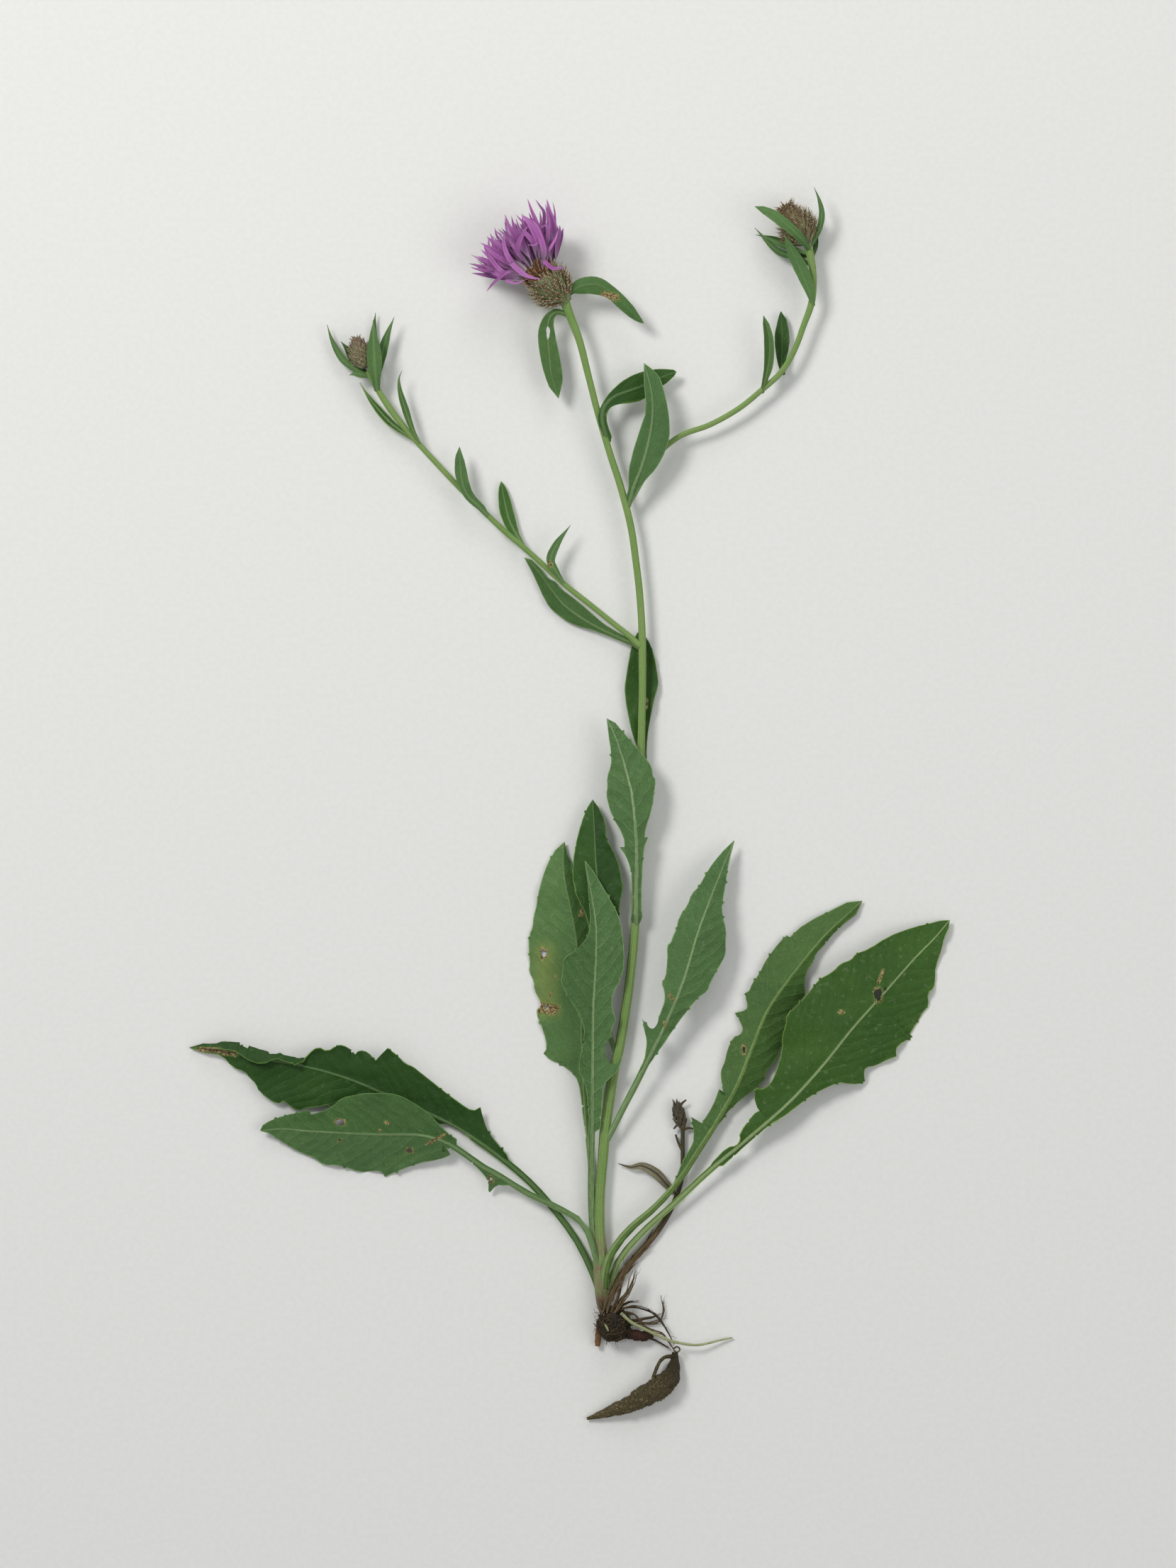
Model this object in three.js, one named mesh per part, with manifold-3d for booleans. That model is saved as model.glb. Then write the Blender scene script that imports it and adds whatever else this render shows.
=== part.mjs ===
// Brown knapweed, a whole uprooted plant laid on a flat surface: one flower head, two side branches
// with a bud each, stem leaves, long-stalked basal leaves, the crown and its roots.
// Units are millimetres. X runs across the plant, Y along it towards the flower, Z up from the surface.
import * as THREE from "three";
import { mergeVertices } from "three/addons/utils/BufferGeometryUtils.js";
import Module from "manifold-3d";

const wasm = await Module();
wasm.setup();

// Driving dimensions.
const PLANT_LENGTH = 486; // floret tips to the end of the dead rhizome
const BLADE = 0.7; // thickness of a leaf blade
const SMALL_BLADE = 0.62; // thickness of a small leaf
const RIB_RISE = 1.0; // extra thickness of a leaf over its midrib at the stalk
const GAP = 0.3; // clearance between a leaf and the stem that carries it
const RING_STEP = 14; // spacing of the sections along a stem
const RIB_STEP = 12; // spacing of the sections along a leaf
const FLORET_LENGTH = 32; // root to lobe tip
const LOBE_WIDTH = 2.5;
const SMALLEST_EDGE = 0.01; // slivers left by cutting are closed up to this size
const PUNCH_DEPTH = 40; // of the prisms that cut insect holes

// Places are read from the photograph in pixels, from its top left corner, and scaled to the plant.
const PHOTO_TOP = 268;
const PHOTO_BOTTOM = 2004;
const PHOTO_MIDDLE_X = 803.5;
const PHOTO_MIDDLE_Y = 1135.3;
const SCALE = PLANT_LENGTH / (PHOTO_BOTTOM - PHOTO_TOP);

const UP = new THREE.Vector3(0, 0, 1);

const LEAF_BACK = { color: 0x7f9c72, roughness: 0.85, metalness: 0 };
const LEAF_FACE = { color: 0x3f6a35, roughness: 0.7, metalness: 0 };
const STEM = { color: 0x9db26a, roughness: 0.75, metalness: 0 };
const PETAL = { color: 0xb072b4, roughness: 0.7, metalness: 0 };
const SCALES = { color: 0x8a8450, roughness: 0.75, metalness: 0 };
const SHAGGY = { color: 0x8a6a40, roughness: 0.85, metalness: 0 };
const BARK = { color: 0x54483a, roughness: 0.9, metalness: 0 };
const CORK = { color: 0xa89f78, roughness: 0.9, metalness: 0 };
const STRAW = { color: 0x9c9a68, roughness: 0.85, metalness: 0 };
const WHITE_ROOT = { color: 0xd2d6b4, roughness: 0.6, metalness: 0 };
const RED_ROOT = { color: 0x6a3a26, roughness: 0.85, metalness: 0 };

const group = new THREE.Group();

function place([x, y, z = 0]) {
  return new THREE.Vector3((x - PHOTO_MIDDLE_X) * SCALE, (PHOTO_MIDDLE_Y - y) * SCALE, z);
}

function smoothCurve(points) {
  return new THREE.CatmullRomCurve3(points.map(place), false, "centripetal");
}

function lerp(a, b, t) {
  return a + (b - a) * t;
}

// A closed triangle mesh. Its faces are turned round if they point inwards.
function closedGeometry(vertices, faces) {
  let volume = 0;
  for (const [a, b, c] of faces) {
    volume += vertices[a].dot(vertices[b].clone().cross(vertices[c])) / 6;
  }
  const turned = volume < 0 ? faces.map(([a, b, c]) => [a, c, b]) : faces;
  const geometry = new THREE.BufferGeometry();
  geometry.setAttribute(
    "position",
    new THREE.Float32BufferAttribute(vertices.flatMap((v) => [v.x, v.y, v.z]), 3)
  );
  geometry.setIndex(turned.flat());
  return geometry;
}

function solidOf(geometry) {
  const bare = geometry.clone();
  bare.deleteAttribute("normal");
  bare.deleteAttribute("uv");
  const merged = mergeVertices(bare, 1e-5);
  return new wasm.Manifold(
    new wasm.Mesh({
      numProp: 3,
      vertProperties: new Float32Array(merged.getAttribute("position").array),
      triVerts: new Uint32Array(merged.getIndex().array),
    })
  );
}

function geometryOf(solid) {
  const mesh = solid.simplify(SMALLEST_EDGE).getMesh();
  const geometry = new THREE.BufferGeometry();
  geometry.setAttribute("position", new THREE.BufferAttribute(new Float32Array(mesh.vertProperties), 3));
  geometry.setIndex(new THREE.BufferAttribute(new Uint32Array(mesh.triVerts), 1));
  return geometry;
}

function addPiece(name, solid, look) {
  const material = new THREE.MeshStandardMaterial({ ...look, flatShading: true });
  const mesh = new THREE.Mesh(geometryOf(solid), material);
  mesh.name = name;
  group.add(mesh);
}

function joined(solids) {
  return solids.reduce((whole, solid) => whole.add(solid));
}

// What is left of a piece once its neighbours' clearance is cut away, without loose scraps.
function seated(solid, clearances) {
  let cut = solid;
  for (const clearance of clearances) {
    cut = cut.subtract(clearance);
  }
  const parts = cut.decompose();
  return parts.reduce((best, part) => (part.volume() > best.volume() ? part : best));
}

// A piece with everything below the surface cut off flat.
function rested(solid) {
  const slab = new THREE.BoxGeometry(PLANT_LENGTH * 2, PLANT_LENGTH * 2, 20).translate(0, 0, -10);
  return solid.subtract(solidOf(slab));
}

// A tapering stem through points of [x, y, height, radius], with every second edge set in as a groove.
function tube(points, { sides = 8, groove = 0, step = RING_STEP, clearance = 0, bumps = null } = {}) {
  const curve = smoothCurve(points);
  const count = Math.max(2, Math.round(curve.getLength() / step));
  const vertices = [];
  const faces = [];
  for (let ring = 0; ring <= count; ring += 1) {
    const u = ring / count;
    const along = curve.getUtoTmapping(u) * (points.length - 1);
    const index = Math.min(Math.floor(along), points.length - 2);
    const radius = lerp(points[index][3], points[index + 1][3], along - index) + clearance;
    const centre = curve.getPointAt(u);
    const tangent = curve.getTangentAt(u);
    const side = tangent.clone().cross(UP).normalize();
    const top = side.clone().cross(tangent);
    for (let k = 0; k < sides; k += 1) {
      const angle = (2 * Math.PI * k) / sides;
      const inset = k % 2 === 1 && clearance === 0 ? 1 - groove : 1;
      const reach = radius * inset * (bumps ? bumps(u, angle) : 1);
      vertices.push(
        centre
          .clone()
          .addScaledVector(side, Math.cos(angle) * reach)
          .addScaledVector(top, Math.sin(angle) * reach)
      );
    }
  }
  for (let ring = 0; ring < count; ring += 1) {
    for (let k = 0; k < sides; k += 1) {
      const a = ring * sides + k;
      const b = ring * sides + ((k + 1) % sides);
      faces.push([a, b, b + sides], [a, b + sides, a + sides]);
    }
  }
  const last = count * sides;
  for (let k = 1; k < sides - 1; k += 1) {
    faces.push([0, k + 1, k], [last, last + k, last + k + 1]);
  }
  return solidOf(closedGeometry(vertices, faces));
}

// A sheet of triangles thickened along its own normals, split alike on both faces.
function thickSheet(points, faces, thickness) {
  const normals = points.map(() => new THREE.Vector3());
  for (const [a, b, c] of faces) {
    const ab = points[b].clone().sub(points[a]);
    const ac = points[c].clone().sub(points[a]);
    const normal = ab.cross(ac);
    normals[a].add(normal);
    normals[b].add(normal);
    normals[c].add(normal);
  }
  const upper = points.map((p, i) => p.clone().addScaledVector(normals[i].normalize(), thickness[i] / 2));
  const lower = points.map((p, i) => p.clone().addScaledVector(normals[i], -thickness[i] / 2));
  const count = points.length;
  const solidFaces = [];
  const edges = new Map();
  for (const [a, b, c] of faces) {
    solidFaces.push([a, b, c], [a + count, c + count, b + count]);
    for (const [from, to] of [[a, b], [b, c], [c, a]]) {
      const back = `${to},${from}`;
      if (edges.has(back)) {
        edges.delete(back);
      } else {
        edges.set(`${from},${to}`, [from, to]);
      }
    }
  }
  for (const [from, to] of edges.values()) {
    solidFaces.push([from, from + count, to + count], [from, to + count, to]);
  }
  return solidOf(closedGeometry([...upper, ...lower], solidFaces));
}

// Triangles between two rows of vertices that share one measure of place along the leaf.
function strip(rowA, rowB, outward) {
  const faces = [];
  let i = 0;
  let j = 0;
  while (i < rowA.length - 1 || j < rowB.length - 1) {
    const stepA = i < rowA.length - 1 ? rowA[i + 1].u : Infinity;
    const stepB = j < rowB.length - 1 ? rowB[j + 1].u : Infinity;
    const face =
      stepA <= stepB
        ? [rowA[i].index, rowA[i + 1].index, rowB[j].index]
        : [rowA[i].index, rowB[j + 1].index, rowB[j].index];
    if (new Set(face).size === 3) {
      faces.push(outward ? face : [face[0], face[2], face[1]]);
    }
    if (stepA <= stepB) {
      i += 1;
    } else {
      j += 1;
    }
  }
  return faces;
}

// Where on the rib a margin point belongs: its nearest place, never behind the point before it.
function placeOnRib(samples, point, floor) {
  let best = samples[0];
  let bestDistance = Infinity;
  for (const sample of samples) {
    const distance = Math.hypot(sample.point.x - point.x, sample.point.y - point.y);
    if (distance < bestDistance && sample.u > floor) {
      best = sample;
      bestDistance = distance;
    }
  }
  return best.u;
}

// A leaf from its midrib [x, y, height] and its two margins [x, y, optional lift over the rib].
// Each side has a tilt (rise for each mm from the rib), a curl (rise at the margin) and a wave.
function leaf({ rib, sides, stalk = [1.2, 1.1], holes = [], wave = 0, waves = 3, thickness = BLADE }) {
  const curve = smoothCurve(rib);
  const length = curve.getLength();
  const sampleCount = 240;
  const samples = [];
  for (let i = 1; i < sampleCount; i += 1) {
    samples.push({ u: i / sampleCount, point: curve.getPointAt(i / sampleCount) });
  }
  const points = [];
  const thicknesses = [];
  const addPoint = (point, u, fromRib) => {
    const nearRib = Math.max(0, 1 - fromRib / (stalk[0] * 1.6));
    points.push(point);
    thicknesses.push(thickness + RIB_RISE * nearRib * (1 - u) ** 1.5);
    return { u, index: points.length - 1 };
  };
  const ribCount = Math.max(5, Math.round(length / RIB_STEP));
  const ribRow = [];
  for (let i = 0; i <= ribCount; i += 1) {
    ribRow.push(addPoint(curve.getPointAt(i / ribCount), i / ribCount, 0));
  }
  const tip = ribRow[ribCount];
  const faces = [];
  for (const side of sides) {
    const { edge, tilt = 0, curl = 0, fold = [], phase = 0 } = side;
    const margin = edge.map(place);
    const us = [];
    for (const point of margin) {
      us.push(placeOnRib(samples, point, us.length > 0 ? us[us.length - 1] : 0));
    }
    const middle = Math.floor(margin.length / 2);
    const heading = curve.getTangentAt(us[middle]);
    const away = margin[middle].clone().sub(curve.getPointAt(us[middle]));
    const turn = Math.sign(heading.x * away.y - heading.y * away.x);
    const height = (u, distance, share) =>
      curve.getPointAt(u).z +
      tilt * distance +
      curl * share ** 2 +
      wave * share ** 2 * Math.sin(2 * Math.PI * (waves * u + phase));
    const marginRow = [];
    const laneRow = [];
    for (const ribPoint of ribRow) {
      if (ribPoint.u >= us[0] - 0.4 / ribCount) {
        break;
      }
      const half = lerp(stalk[0], stalk[1], ribPoint.u / us[0]);
      const tangent = curve.getTangentAt(ribPoint.u);
      const across = new THREE.Vector3(-tangent.y, tangent.x, 0).normalize().multiplyScalar(turn * half);
      const centre = points[ribPoint.index];
      marginRow.push(addPoint(centre.clone().add(across), ribPoint.u, half));
      laneRow.push(addPoint(centre.clone().addScaledVector(across, 0.55), ribPoint.u, half * 0.55));
    }
    const foldStart = fold.length > 0 ? placeOnRib(samples, place(fold[0]), 0) : 2;
    margin.forEach((point, i) => {
      const centre = curve.getPointAt(us[i]);
      const distance = Math.hypot(point.x - centre.x, point.y - centre.y);
      const lifted = edge[i].length > 2;
      const z = lifted ? centre.z + edge[i][2] : height(us[i], distance, 1);
      const flat = new THREE.Vector3(point.x, point.y, Math.max(z, thickness / 2));
      marginRow.push(addPoint(flat, us[i], distance));
      const laneNeeded = i % 2 === 0 || i === margin.length - 1;
      if (laneNeeded && us[i] < foldStart) {
        const lane = centre.clone().lerp(flat, 0.5);
        lane.z = Math.max(height(us[i], distance / 2, 0.5), thickness / 2);
        laneRow.push(addPoint(lane, us[i], distance / 2));
      }
    });
    let foldU = foldStart;
    for (const [x, y, lift] of fold) {
      const point = place([x, y]);
      foldU = placeOnRib(samples, point, foldU - 0.5 / sampleCount);
      point.z = curve.getPointAt(foldU).z + lift;
      laneRow.push(addPoint(point, foldU, 10));
    }
    marginRow.push(tip);
    laneRow.push(tip);
    faces.push(...strip(ribRow, laneRow, turn > 0), ...strip(laneRow, marginRow, turn > 0));
  }
  let solid = thickSheet(points, faces, thicknesses);
  for (const hole of holes) {
    solid = solid.subtract(holePunch(hole));
  }
  return solid;
}

// A ragged six-cornered prism that cuts an insect hole through a blade.
function holePunch([x, y, width, height]) {
  const centre = place([x, y]);
  const outline = new THREE.Shape();
  for (let k = 0; k < 6; k += 1) {
    const angle = (Math.PI * k) / 3;
    const ragged = k % 2 === 0 ? 1 : 0.85;
    const px = centre.x + (Math.cos(angle) * width * SCALE * ragged) / 2;
    const py = centre.y + (Math.sin(angle) * height * SCALE * ragged) / 2;
    if (k === 0) {
      outline.moveTo(px, py);
    } else {
      outline.lineTo(px, py);
    }
  }
  outline.closePath();
  const punch = new THREE.ExtrudeGeometry(outline, { depth: PUNCH_DEPTH, bevelEnabled: false });
  return solidOf(punch.translate(0, 0, -PUNCH_DEPTH / 4));
}

// A narrow leaf given by its midrib and its greatest width in pixels, widest a third of the way up.
function smallLeaf(rib, width, { thickness = SMALL_BLADE, cup = 0.15 } = {}) {
  const curve = smoothCurve(rib);
  const count = Math.max(4, Math.round(curve.getLength() / 5));
  const points = [];
  const faces = [];
  for (let i = 0; i <= count; i += 1) {
    const u = i / count;
    const centre = curve.getPointAt(u);
    if (i === count) {
      points.push(centre);
      break;
    }
    const tangent = curve.getTangentAt(u);
    const half = (width * SCALE * (0.45 + 1.25 * u - 1.7 * u * u + 0.55 * Math.sin(Math.PI * u) ** 2)) / 2;
    const across = new THREE.Vector3(-tangent.y, tangent.x, 0).normalize();
    const rise = new THREE.Vector3(0, 0, cup * half);
    points.push(centre.clone().addScaledVector(across, half).add(rise));
    points.push(centre);
    points.push(centre.clone().addScaledVector(across, -half).add(rise));
  }
  const tip = points.length - 1;
  for (let i = 0; i < count - 1; i += 1) {
    const a = i * 3;
    faces.push([a, a + 1, a + 4], [a, a + 4, a + 3], [a + 1, a + 2, a + 5], [a + 1, a + 5, a + 4]);
  }
  faces.push([tip - 3, tip - 2, tip], [tip - 2, tip - 1, tip]);
  const thicknesses = points.map((_, i) => (i % 3 === 1 && i !== tip ? thickness * 1.3 : thickness));
  return thickSheet(points, faces, thicknesses);
}

// Stems. Each row is [x, y, height of the centre, radius].
const MAIN_STEM = [
  [795, 423, 12.0, 2.0],
  [803, 445, 11.6, 1.7],
  [818, 485, 10.8, 1.45],
  [832, 540, 9.8, 1.3],
  [845, 590, 9.0, 1.3],
  [860, 640, 8.4, 1.35],
  [876, 690, 8.0, 1.4],
  [889, 740, 7.6, 1.4],
  [898, 800, 7.2, 1.4],
  [904, 860, 6.8, 1.4],
  [906, 910, 6.6, 1.5],
  [906, 980, 6.4, 1.45],
  [904, 1060, 6.2, 1.5],
  [900, 1150, 5.8, 1.55],
  [897, 1220, 5.4, 1.6],
  [896, 1300, 5.0, 1.75],
  [886, 1400, 4.6, 1.85],
  [873, 1480, 4.4, 1.95],
  [866, 1510, 4.3, 2.0],
  [858, 1560, 4.3, 2.1],
  [853, 1600, 4.3, 2.1],
  [850, 1640, 4.2, 2.0],
  [846, 1690, 4.2, 1.95],
  [846, 1740, 4.2, 2.2],
  [848, 1780, 4.3, 3.1],
  [849, 1806, 4.4, 3.1],
  [851, 1838, 4.9, 2.6],
  [854, 1849, 5.2, 2.2],
];

const LEFT_BRANCH = [
  [903, 912, 6.6, 1.25],
  [890, 900, 6.4, 1.15],
  [870, 884, 6.3, 1.1],
  [830, 852, 6.2, 1.1],
  [795, 824, 6.0, 1.1],
  [750, 783, 5.8, 1.1],
  [715, 753, 5.6, 1.1],
  [680, 720, 5.4, 1.1],
  [640, 680, 5.2, 1.1],
  [600, 637, 5.2, 1.1],
  [570, 603, 5.4, 1.15],
  [550, 577, 5.6, 1.3],
  [533, 550, 5.9, 1.2],
  [520, 525, 6.3, 1.3],
];

const RIGHT_BRANCH = [
  [886, 712, 7.8, 1.2],
  [905, 680, 7.2, 1.1],
  [930, 640, 6.9, 1.1],
  [960, 616, 6.8, 1.1],
  [1000, 601, 6.8, 1.1],
  [1040, 579, 6.9, 1.1],
  [1070, 555, 7.1, 1.1],
  [1100, 528, 7.3, 1.15],
  [1120, 495, 7.5, 1.15],
  [1133, 460, 7.7, 1.2],
  [1144, 428, 7.9, 1.35],
  [1146, 395, 8.0, 1.4],
  [1143, 370, 8.1, 1.5],
  [1138, 347, 8.2, 1.7],
];

const STEM_LOOK = { sides: 10, groove: 0.14 };
const mainStem = tube(MAIN_STEM, STEM_LOOK);
const mainStemClearance = tube(MAIN_STEM, { sides: 10, clearance: GAP });
const leftBranchClearance = tube(LEFT_BRANCH, { sides: 8, clearance: GAP });
const rightBranchClearance = tube(RIGHT_BRANCH, { sides: 8, clearance: GAP });
addPiece("main_stem", mainStem, STEM);
addPiece("left_branch", seated(tube(LEFT_BRANCH, { sides: 8, groove: 0.14 }), [mainStemClearance]), STEM);
addPiece("right_branch", seated(tube(RIGHT_BRANCH, { sides: 8, groove: 0.14 }), [mainStemClearance]), STEM);

// Large leaves, from the ground up. Each margin runs from the base to the tip.
const BASAL_AND_STEM_LEAVES = {
  leaf_far_left_back: {
    look: LEAF_FACE,
    stalk: [1.3, 1.3],
    wave: 0.8,
    waves: 7,
    rib: [
      [846, 1822, 3.6], [838, 1800, 2.2], [815, 1752, 1.6], [785, 1710, 1.6], [745, 1665, 2.0],
      [690, 1620, 2.6], [645, 1590, 3.0], [600, 1567, 3.4], [550, 1545, 3.8], [490, 1520, 4.4],
      [430, 1503, 5.0], [350, 1490, 4.2], [300, 1480, 2.4], [268, 1478, 1.2],
    ],
    sides: [
      {
        tilt: 0.15,
        fold: [
          [432, 1490, 1.0], [405, 1485, 1.4], [380, 1482, 1.6], [360, 1476, 1.8],
          [340, 1469, 1.8], [320, 1468, 1.8], [295, 1470, 1.0],
        ],
        edge: [
          [715, 1628], [700, 1610], [690, 1597], [684, 1585], [680, 1570], [678, 1561], [667, 1567],
          [650, 1556], [620, 1533], [595, 1513], [583, 1503], [573, 1500], [563, 1489], [548, 1477],
          [537, 1488], [531, 1495], [520, 1483], [508, 1480], [502, 1487], [492, 1476], [478, 1472],
          [463, 1483], [450, 1475], [437, 1485, 2.2], [425, 1501, 3.4], [405, 1497, 3.8],
          [390, 1491, 3.8], [372, 1501, 3.8], [350, 1494, 3.8], [335, 1482, 3.6], [312, 1479, 2.6],
        ],
      },
      {
        tilt: -0.12,
        phase: 0.5,
        edge: [
          [662, 1603], [655, 1597], [640, 1588], [625, 1583], [600, 1590], [570, 1588], [540, 1585],
          [510, 1575], [485, 1565], [465, 1557], [450, 1561], [432, 1562], [422, 1567], [410, 1560],
          [400, 1552], [392, 1558], [375, 1546], [366, 1540], [362, 1528], [353, 1520], [347, 1511],
          [328, 1505], [315, 1488], [290, 1485],
        ],
      },
    ],
  },
  leaf_far_left_front: {
    look: LEAF_BACK,
    stalk: [1.2, 1.2],
    wave: 0.7,
    waves: 6,
    rib: [
      [845, 1784, 6.2], [838, 1764, 7.2], [832, 1742, 7.6], [820, 1722, 7.0], [785, 1701, 6.0],
      [745, 1682, 6.2], [705, 1657, 6.8], [680, 1643, 7.2], [655, 1625, 7.8], [635, 1612, 8.2],
      [600, 1600, 8.8], [530, 1598, 9.0], [440, 1594, 7.0], [400, 1591, 5.4], [368, 1594, 3.8],
    ],
    sides: [
      {
        tilt: 0.05,
        edge: [
          [645, 1605], [630, 1595], [622, 1585], [605, 1567], [590, 1557], [575, 1548], [563, 1543],
          [550, 1540], [515, 1540], [500, 1544], [483, 1547], [470, 1560], [450, 1568], [440, 1570],
          [437, 1564], [420, 1568], [400, 1573], [382, 1580], [372, 1586],
        ],
      },
      {
        tilt: -0.5,
        phase: 0.4,
        edge: [
          [712, 1671], [700, 1670], [689, 1684], [690, 1664], [685, 1658], [675, 1646], [660, 1634],
          [645, 1624], [634, 1617], [625, 1618], [623, 1624], [636, 1628], [623, 1634], [600, 1638],
          [585, 1641], [570, 1648], [555, 1655], [543, 1660], [540, 1652], [525, 1651], [508, 1654],
          [487, 1645], [475, 1643], [456, 1643], [445, 1633], [430, 1628], [410, 1617], [395, 1607],
          [380, 1598],
        ],
      },
    ],
    holes: [[481, 1582, 12, 9], [578, 1621, 7, 7]],
  },
  leaf_basal_left_back: {
    look: LEAF_BACK,
    stalk: [1.2, 1.1],
    wave: 0.6,
    waves: 6,
    rib: [
      [846, 1756, 3.0], [838, 1724, 1.7], [834, 1650, 1.5], [826, 1560, 1.6], [822, 1480, 2.2],
      [820, 1400, 2.8], [814, 1328, 3.2], [803, 1270, 3.2], [797, 1240, 3.0], [795, 1210, 2.4],
      [796, 1188, 1.8],
    ],
    sides: [
      {
        tilt: -0.2,
        edge: [
          [828, 1600], [823, 1580], [819, 1540], [815, 1525], [810, 1515], [800, 1507], [790, 1500],
          [775, 1495], [767, 1486], [772, 1478], [767, 1455], [760, 1440], [755, 1427], [764, 1419],
          [762, 1412], [753, 1395], [754, 1385], [746, 1370], [748, 1360], [746, 1345], [746, 1320],
          [752, 1307], [753, 1292], [757, 1278], [758, 1265], [766, 1235], [773, 1218], [783, 1200],
        ],
      },
      {
        tilt: -0.05,
        edge: [
          [836, 1580], [840, 1540], [844, 1500], [845, 1440], [842, 1400], [836, 1360], [830, 1330],
          [832, 1315], [827, 1290], [820, 1280], [812, 1265], [808, 1235], [807, 1220], [800, 1205],
        ],
      },
    ],
    holes: [[767, 1345, 9, 10]],
  },
  leaf_stem_left: {
    look: LEAF_FACE,
    stalk: [1.0, 0.9],
    wave: 0.5,
    waves: 5,
    rib: [
      [872, 1492, 4.4], [863, 1470, 4.8], [857, 1440, 5.2], [852, 1400, 5.6], [848, 1340, 6.2],
      [845, 1260, 6.6], [841, 1220, 6.4], [838, 1160, 5.2], [836, 1128, 4.4],
    ],
    sides: [
      {
        tilt: -0.02,
        edge: [
          [842, 1365], [836, 1330], [830, 1300], [827, 1288], [820, 1275], [812, 1262], [811, 1250],
          [807, 1238], [809, 1215], [810, 1198], [815, 1180], [820, 1160], [828, 1140],
        ],
      },
      {
        tilt: 0.05,
        edge: [
          [856, 1375], [862, 1345], [869, 1320], [873, 1300], [874, 1275], [877, 1260], [880, 1247],
          [876, 1240], [875, 1225], [870, 1212], [865, 1200], [858, 1188], [854, 1180], [856, 1170],
          [852, 1155], [845, 1140],
        ],
      },
    ],
  },
  leaf_basal_left_front: {
    look: LEAF_BACK,
    stalk: [1.15, 1.3],
    wave: 0.7,
    waves: 5,
    rib: [
      [843, 1772, 4.8], [837, 1744, 4.6], [834, 1700, 4.8], [834, 1650, 5.8], [835, 1600, 7.6],
      [836, 1500, 10.2], [837, 1420, 11.6], [841, 1340, 12.0], [840, 1300, 11.6], [834, 1260, 10.8],
      [825, 1214, 9.6],
    ],
    sides: [
      {
        tilt: -0.08,
        edge: [
          [847, 1590], [849, 1570], [850, 1545], [852, 1530], [860, 1520], [868, 1512], [875, 1500],
          [877, 1492], [868, 1500], [858, 1506], [855, 1497], [857, 1480], [860, 1460], [864, 1445],
          [869, 1436], [866, 1430], [863, 1415], [864, 1400], [870, 1390], [876, 1380], [881, 1360],
          [880, 1345], [879, 1325], [876, 1305], [872, 1290], [862, 1270], [850, 1250], [838, 1230],
        ],
      },
      {
        tilt: -0.22,
        phase: 0.3,
        edge: [
          [830, 1570], [828, 1540], [823, 1520], [815, 1507], [818, 1495], [821, 1480], [825, 1460],
          [822, 1440], [812, 1420], [800, 1400], [791, 1387], [794, 1370], [795, 1350], [808, 1343],
          [822, 1330], [830, 1318], [833, 1300], [832, 1275], [829, 1245],
        ],
      },
    ],
  },
  leaf_stem_right: {
    look: LEAF_BACK,
    stalk: [1.2, 1.3],
    wave: 0.8,
    waves: 5,
    rib: [
      [853, 1612, 4.4], [861, 1598, 5.4], [870, 1580, 6.2], [880, 1560, 7.0], [893, 1535, 8.0],
      [908, 1505, 9.2], [935, 1450, 12.0], [962, 1385, 14.0], [985, 1310, 13.6], [1000, 1270, 11.6],
      [1018, 1225, 8.0], [1035, 1186, 4.6],
    ],
    sides: [
      {
        tilt: 0.12,
        edge: [
          [903, 1505], [908, 1495], [911, 1480], [912, 1465], [908, 1450], [906, 1435], [915, 1447],
          [920, 1450], [927, 1440], [933, 1425], [937, 1410], [937, 1397], [932, 1383], [938, 1378],
          [941, 1355], [940, 1332], [946, 1328], [948, 1320], [953, 1310], [957, 1292], [970, 1275],
          [974, 1261], [985, 1250], [995, 1232], [1005, 1217], [1020, 1200],
        ],
      },
      {
        tilt: -0.3,
        phase: 0.5,
        edge: [
          [918, 1496], [925, 1485], [938, 1468], [948, 1452], [960, 1437], [972, 1420], [985, 1405],
          [998, 1396], [1001, 1385], [1010, 1370], [1018, 1355], [1023, 1343], [1022, 1330],
          [1024, 1313], [1018, 1290], [1018, 1275], [1022, 1255], [1026, 1230], [1030, 1205],
        ],
      },
    ],
  },
  leaf_basal_right_back: {
    look: LEAF_BACK,
    stalk: [1.7, 1.1],
    wave: 0.6,
    waves: 7,
    rib: [
      [852, 1816, 6.2], [854, 1790, 7.8], [861, 1768, 7.6], [885, 1735, 7.0], [925, 1700, 6.4],
      [960, 1660, 5.6], [985, 1622, 4.8], [1015, 1575, 4.0], [1040, 1530, 3.6], [1060, 1480, 3.4],
      [1083, 1425, 3.4], [1120, 1372, 3.4], [1165, 1318, 3.0], [1190, 1295, 2.2], [1216, 1271, 1.2],
    ],
    sides: [
      {
        tilt: -0.14,
        edge: [
          [950, 1668], [956, 1652], [963, 1635], [973, 1620], [980, 1605], [978, 1590], [975, 1575],
          [984, 1584], [990, 1584], [998, 1572], [1005, 1560], [1010, 1545], [1014, 1536],
          [1017, 1552], [1020, 1540], [1017, 1522], [1017, 1510], [1023, 1495], [1026, 1480],
          [1034, 1462], [1043, 1460], [1048, 1453], [1046, 1445], [1037, 1429], [1052, 1425],
          [1055, 1418], [1050, 1401], [1057, 1398], [1060, 1388], [1072, 1372], [1077, 1360],
          [1083, 1350], [1100, 1328], [1110, 1319], [1114, 1322], [1135, 1302], [1165, 1288],
          [1195, 1273],
        ],
      },
      {
        tilt: -0.08,
        phase: 0.5,
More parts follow.
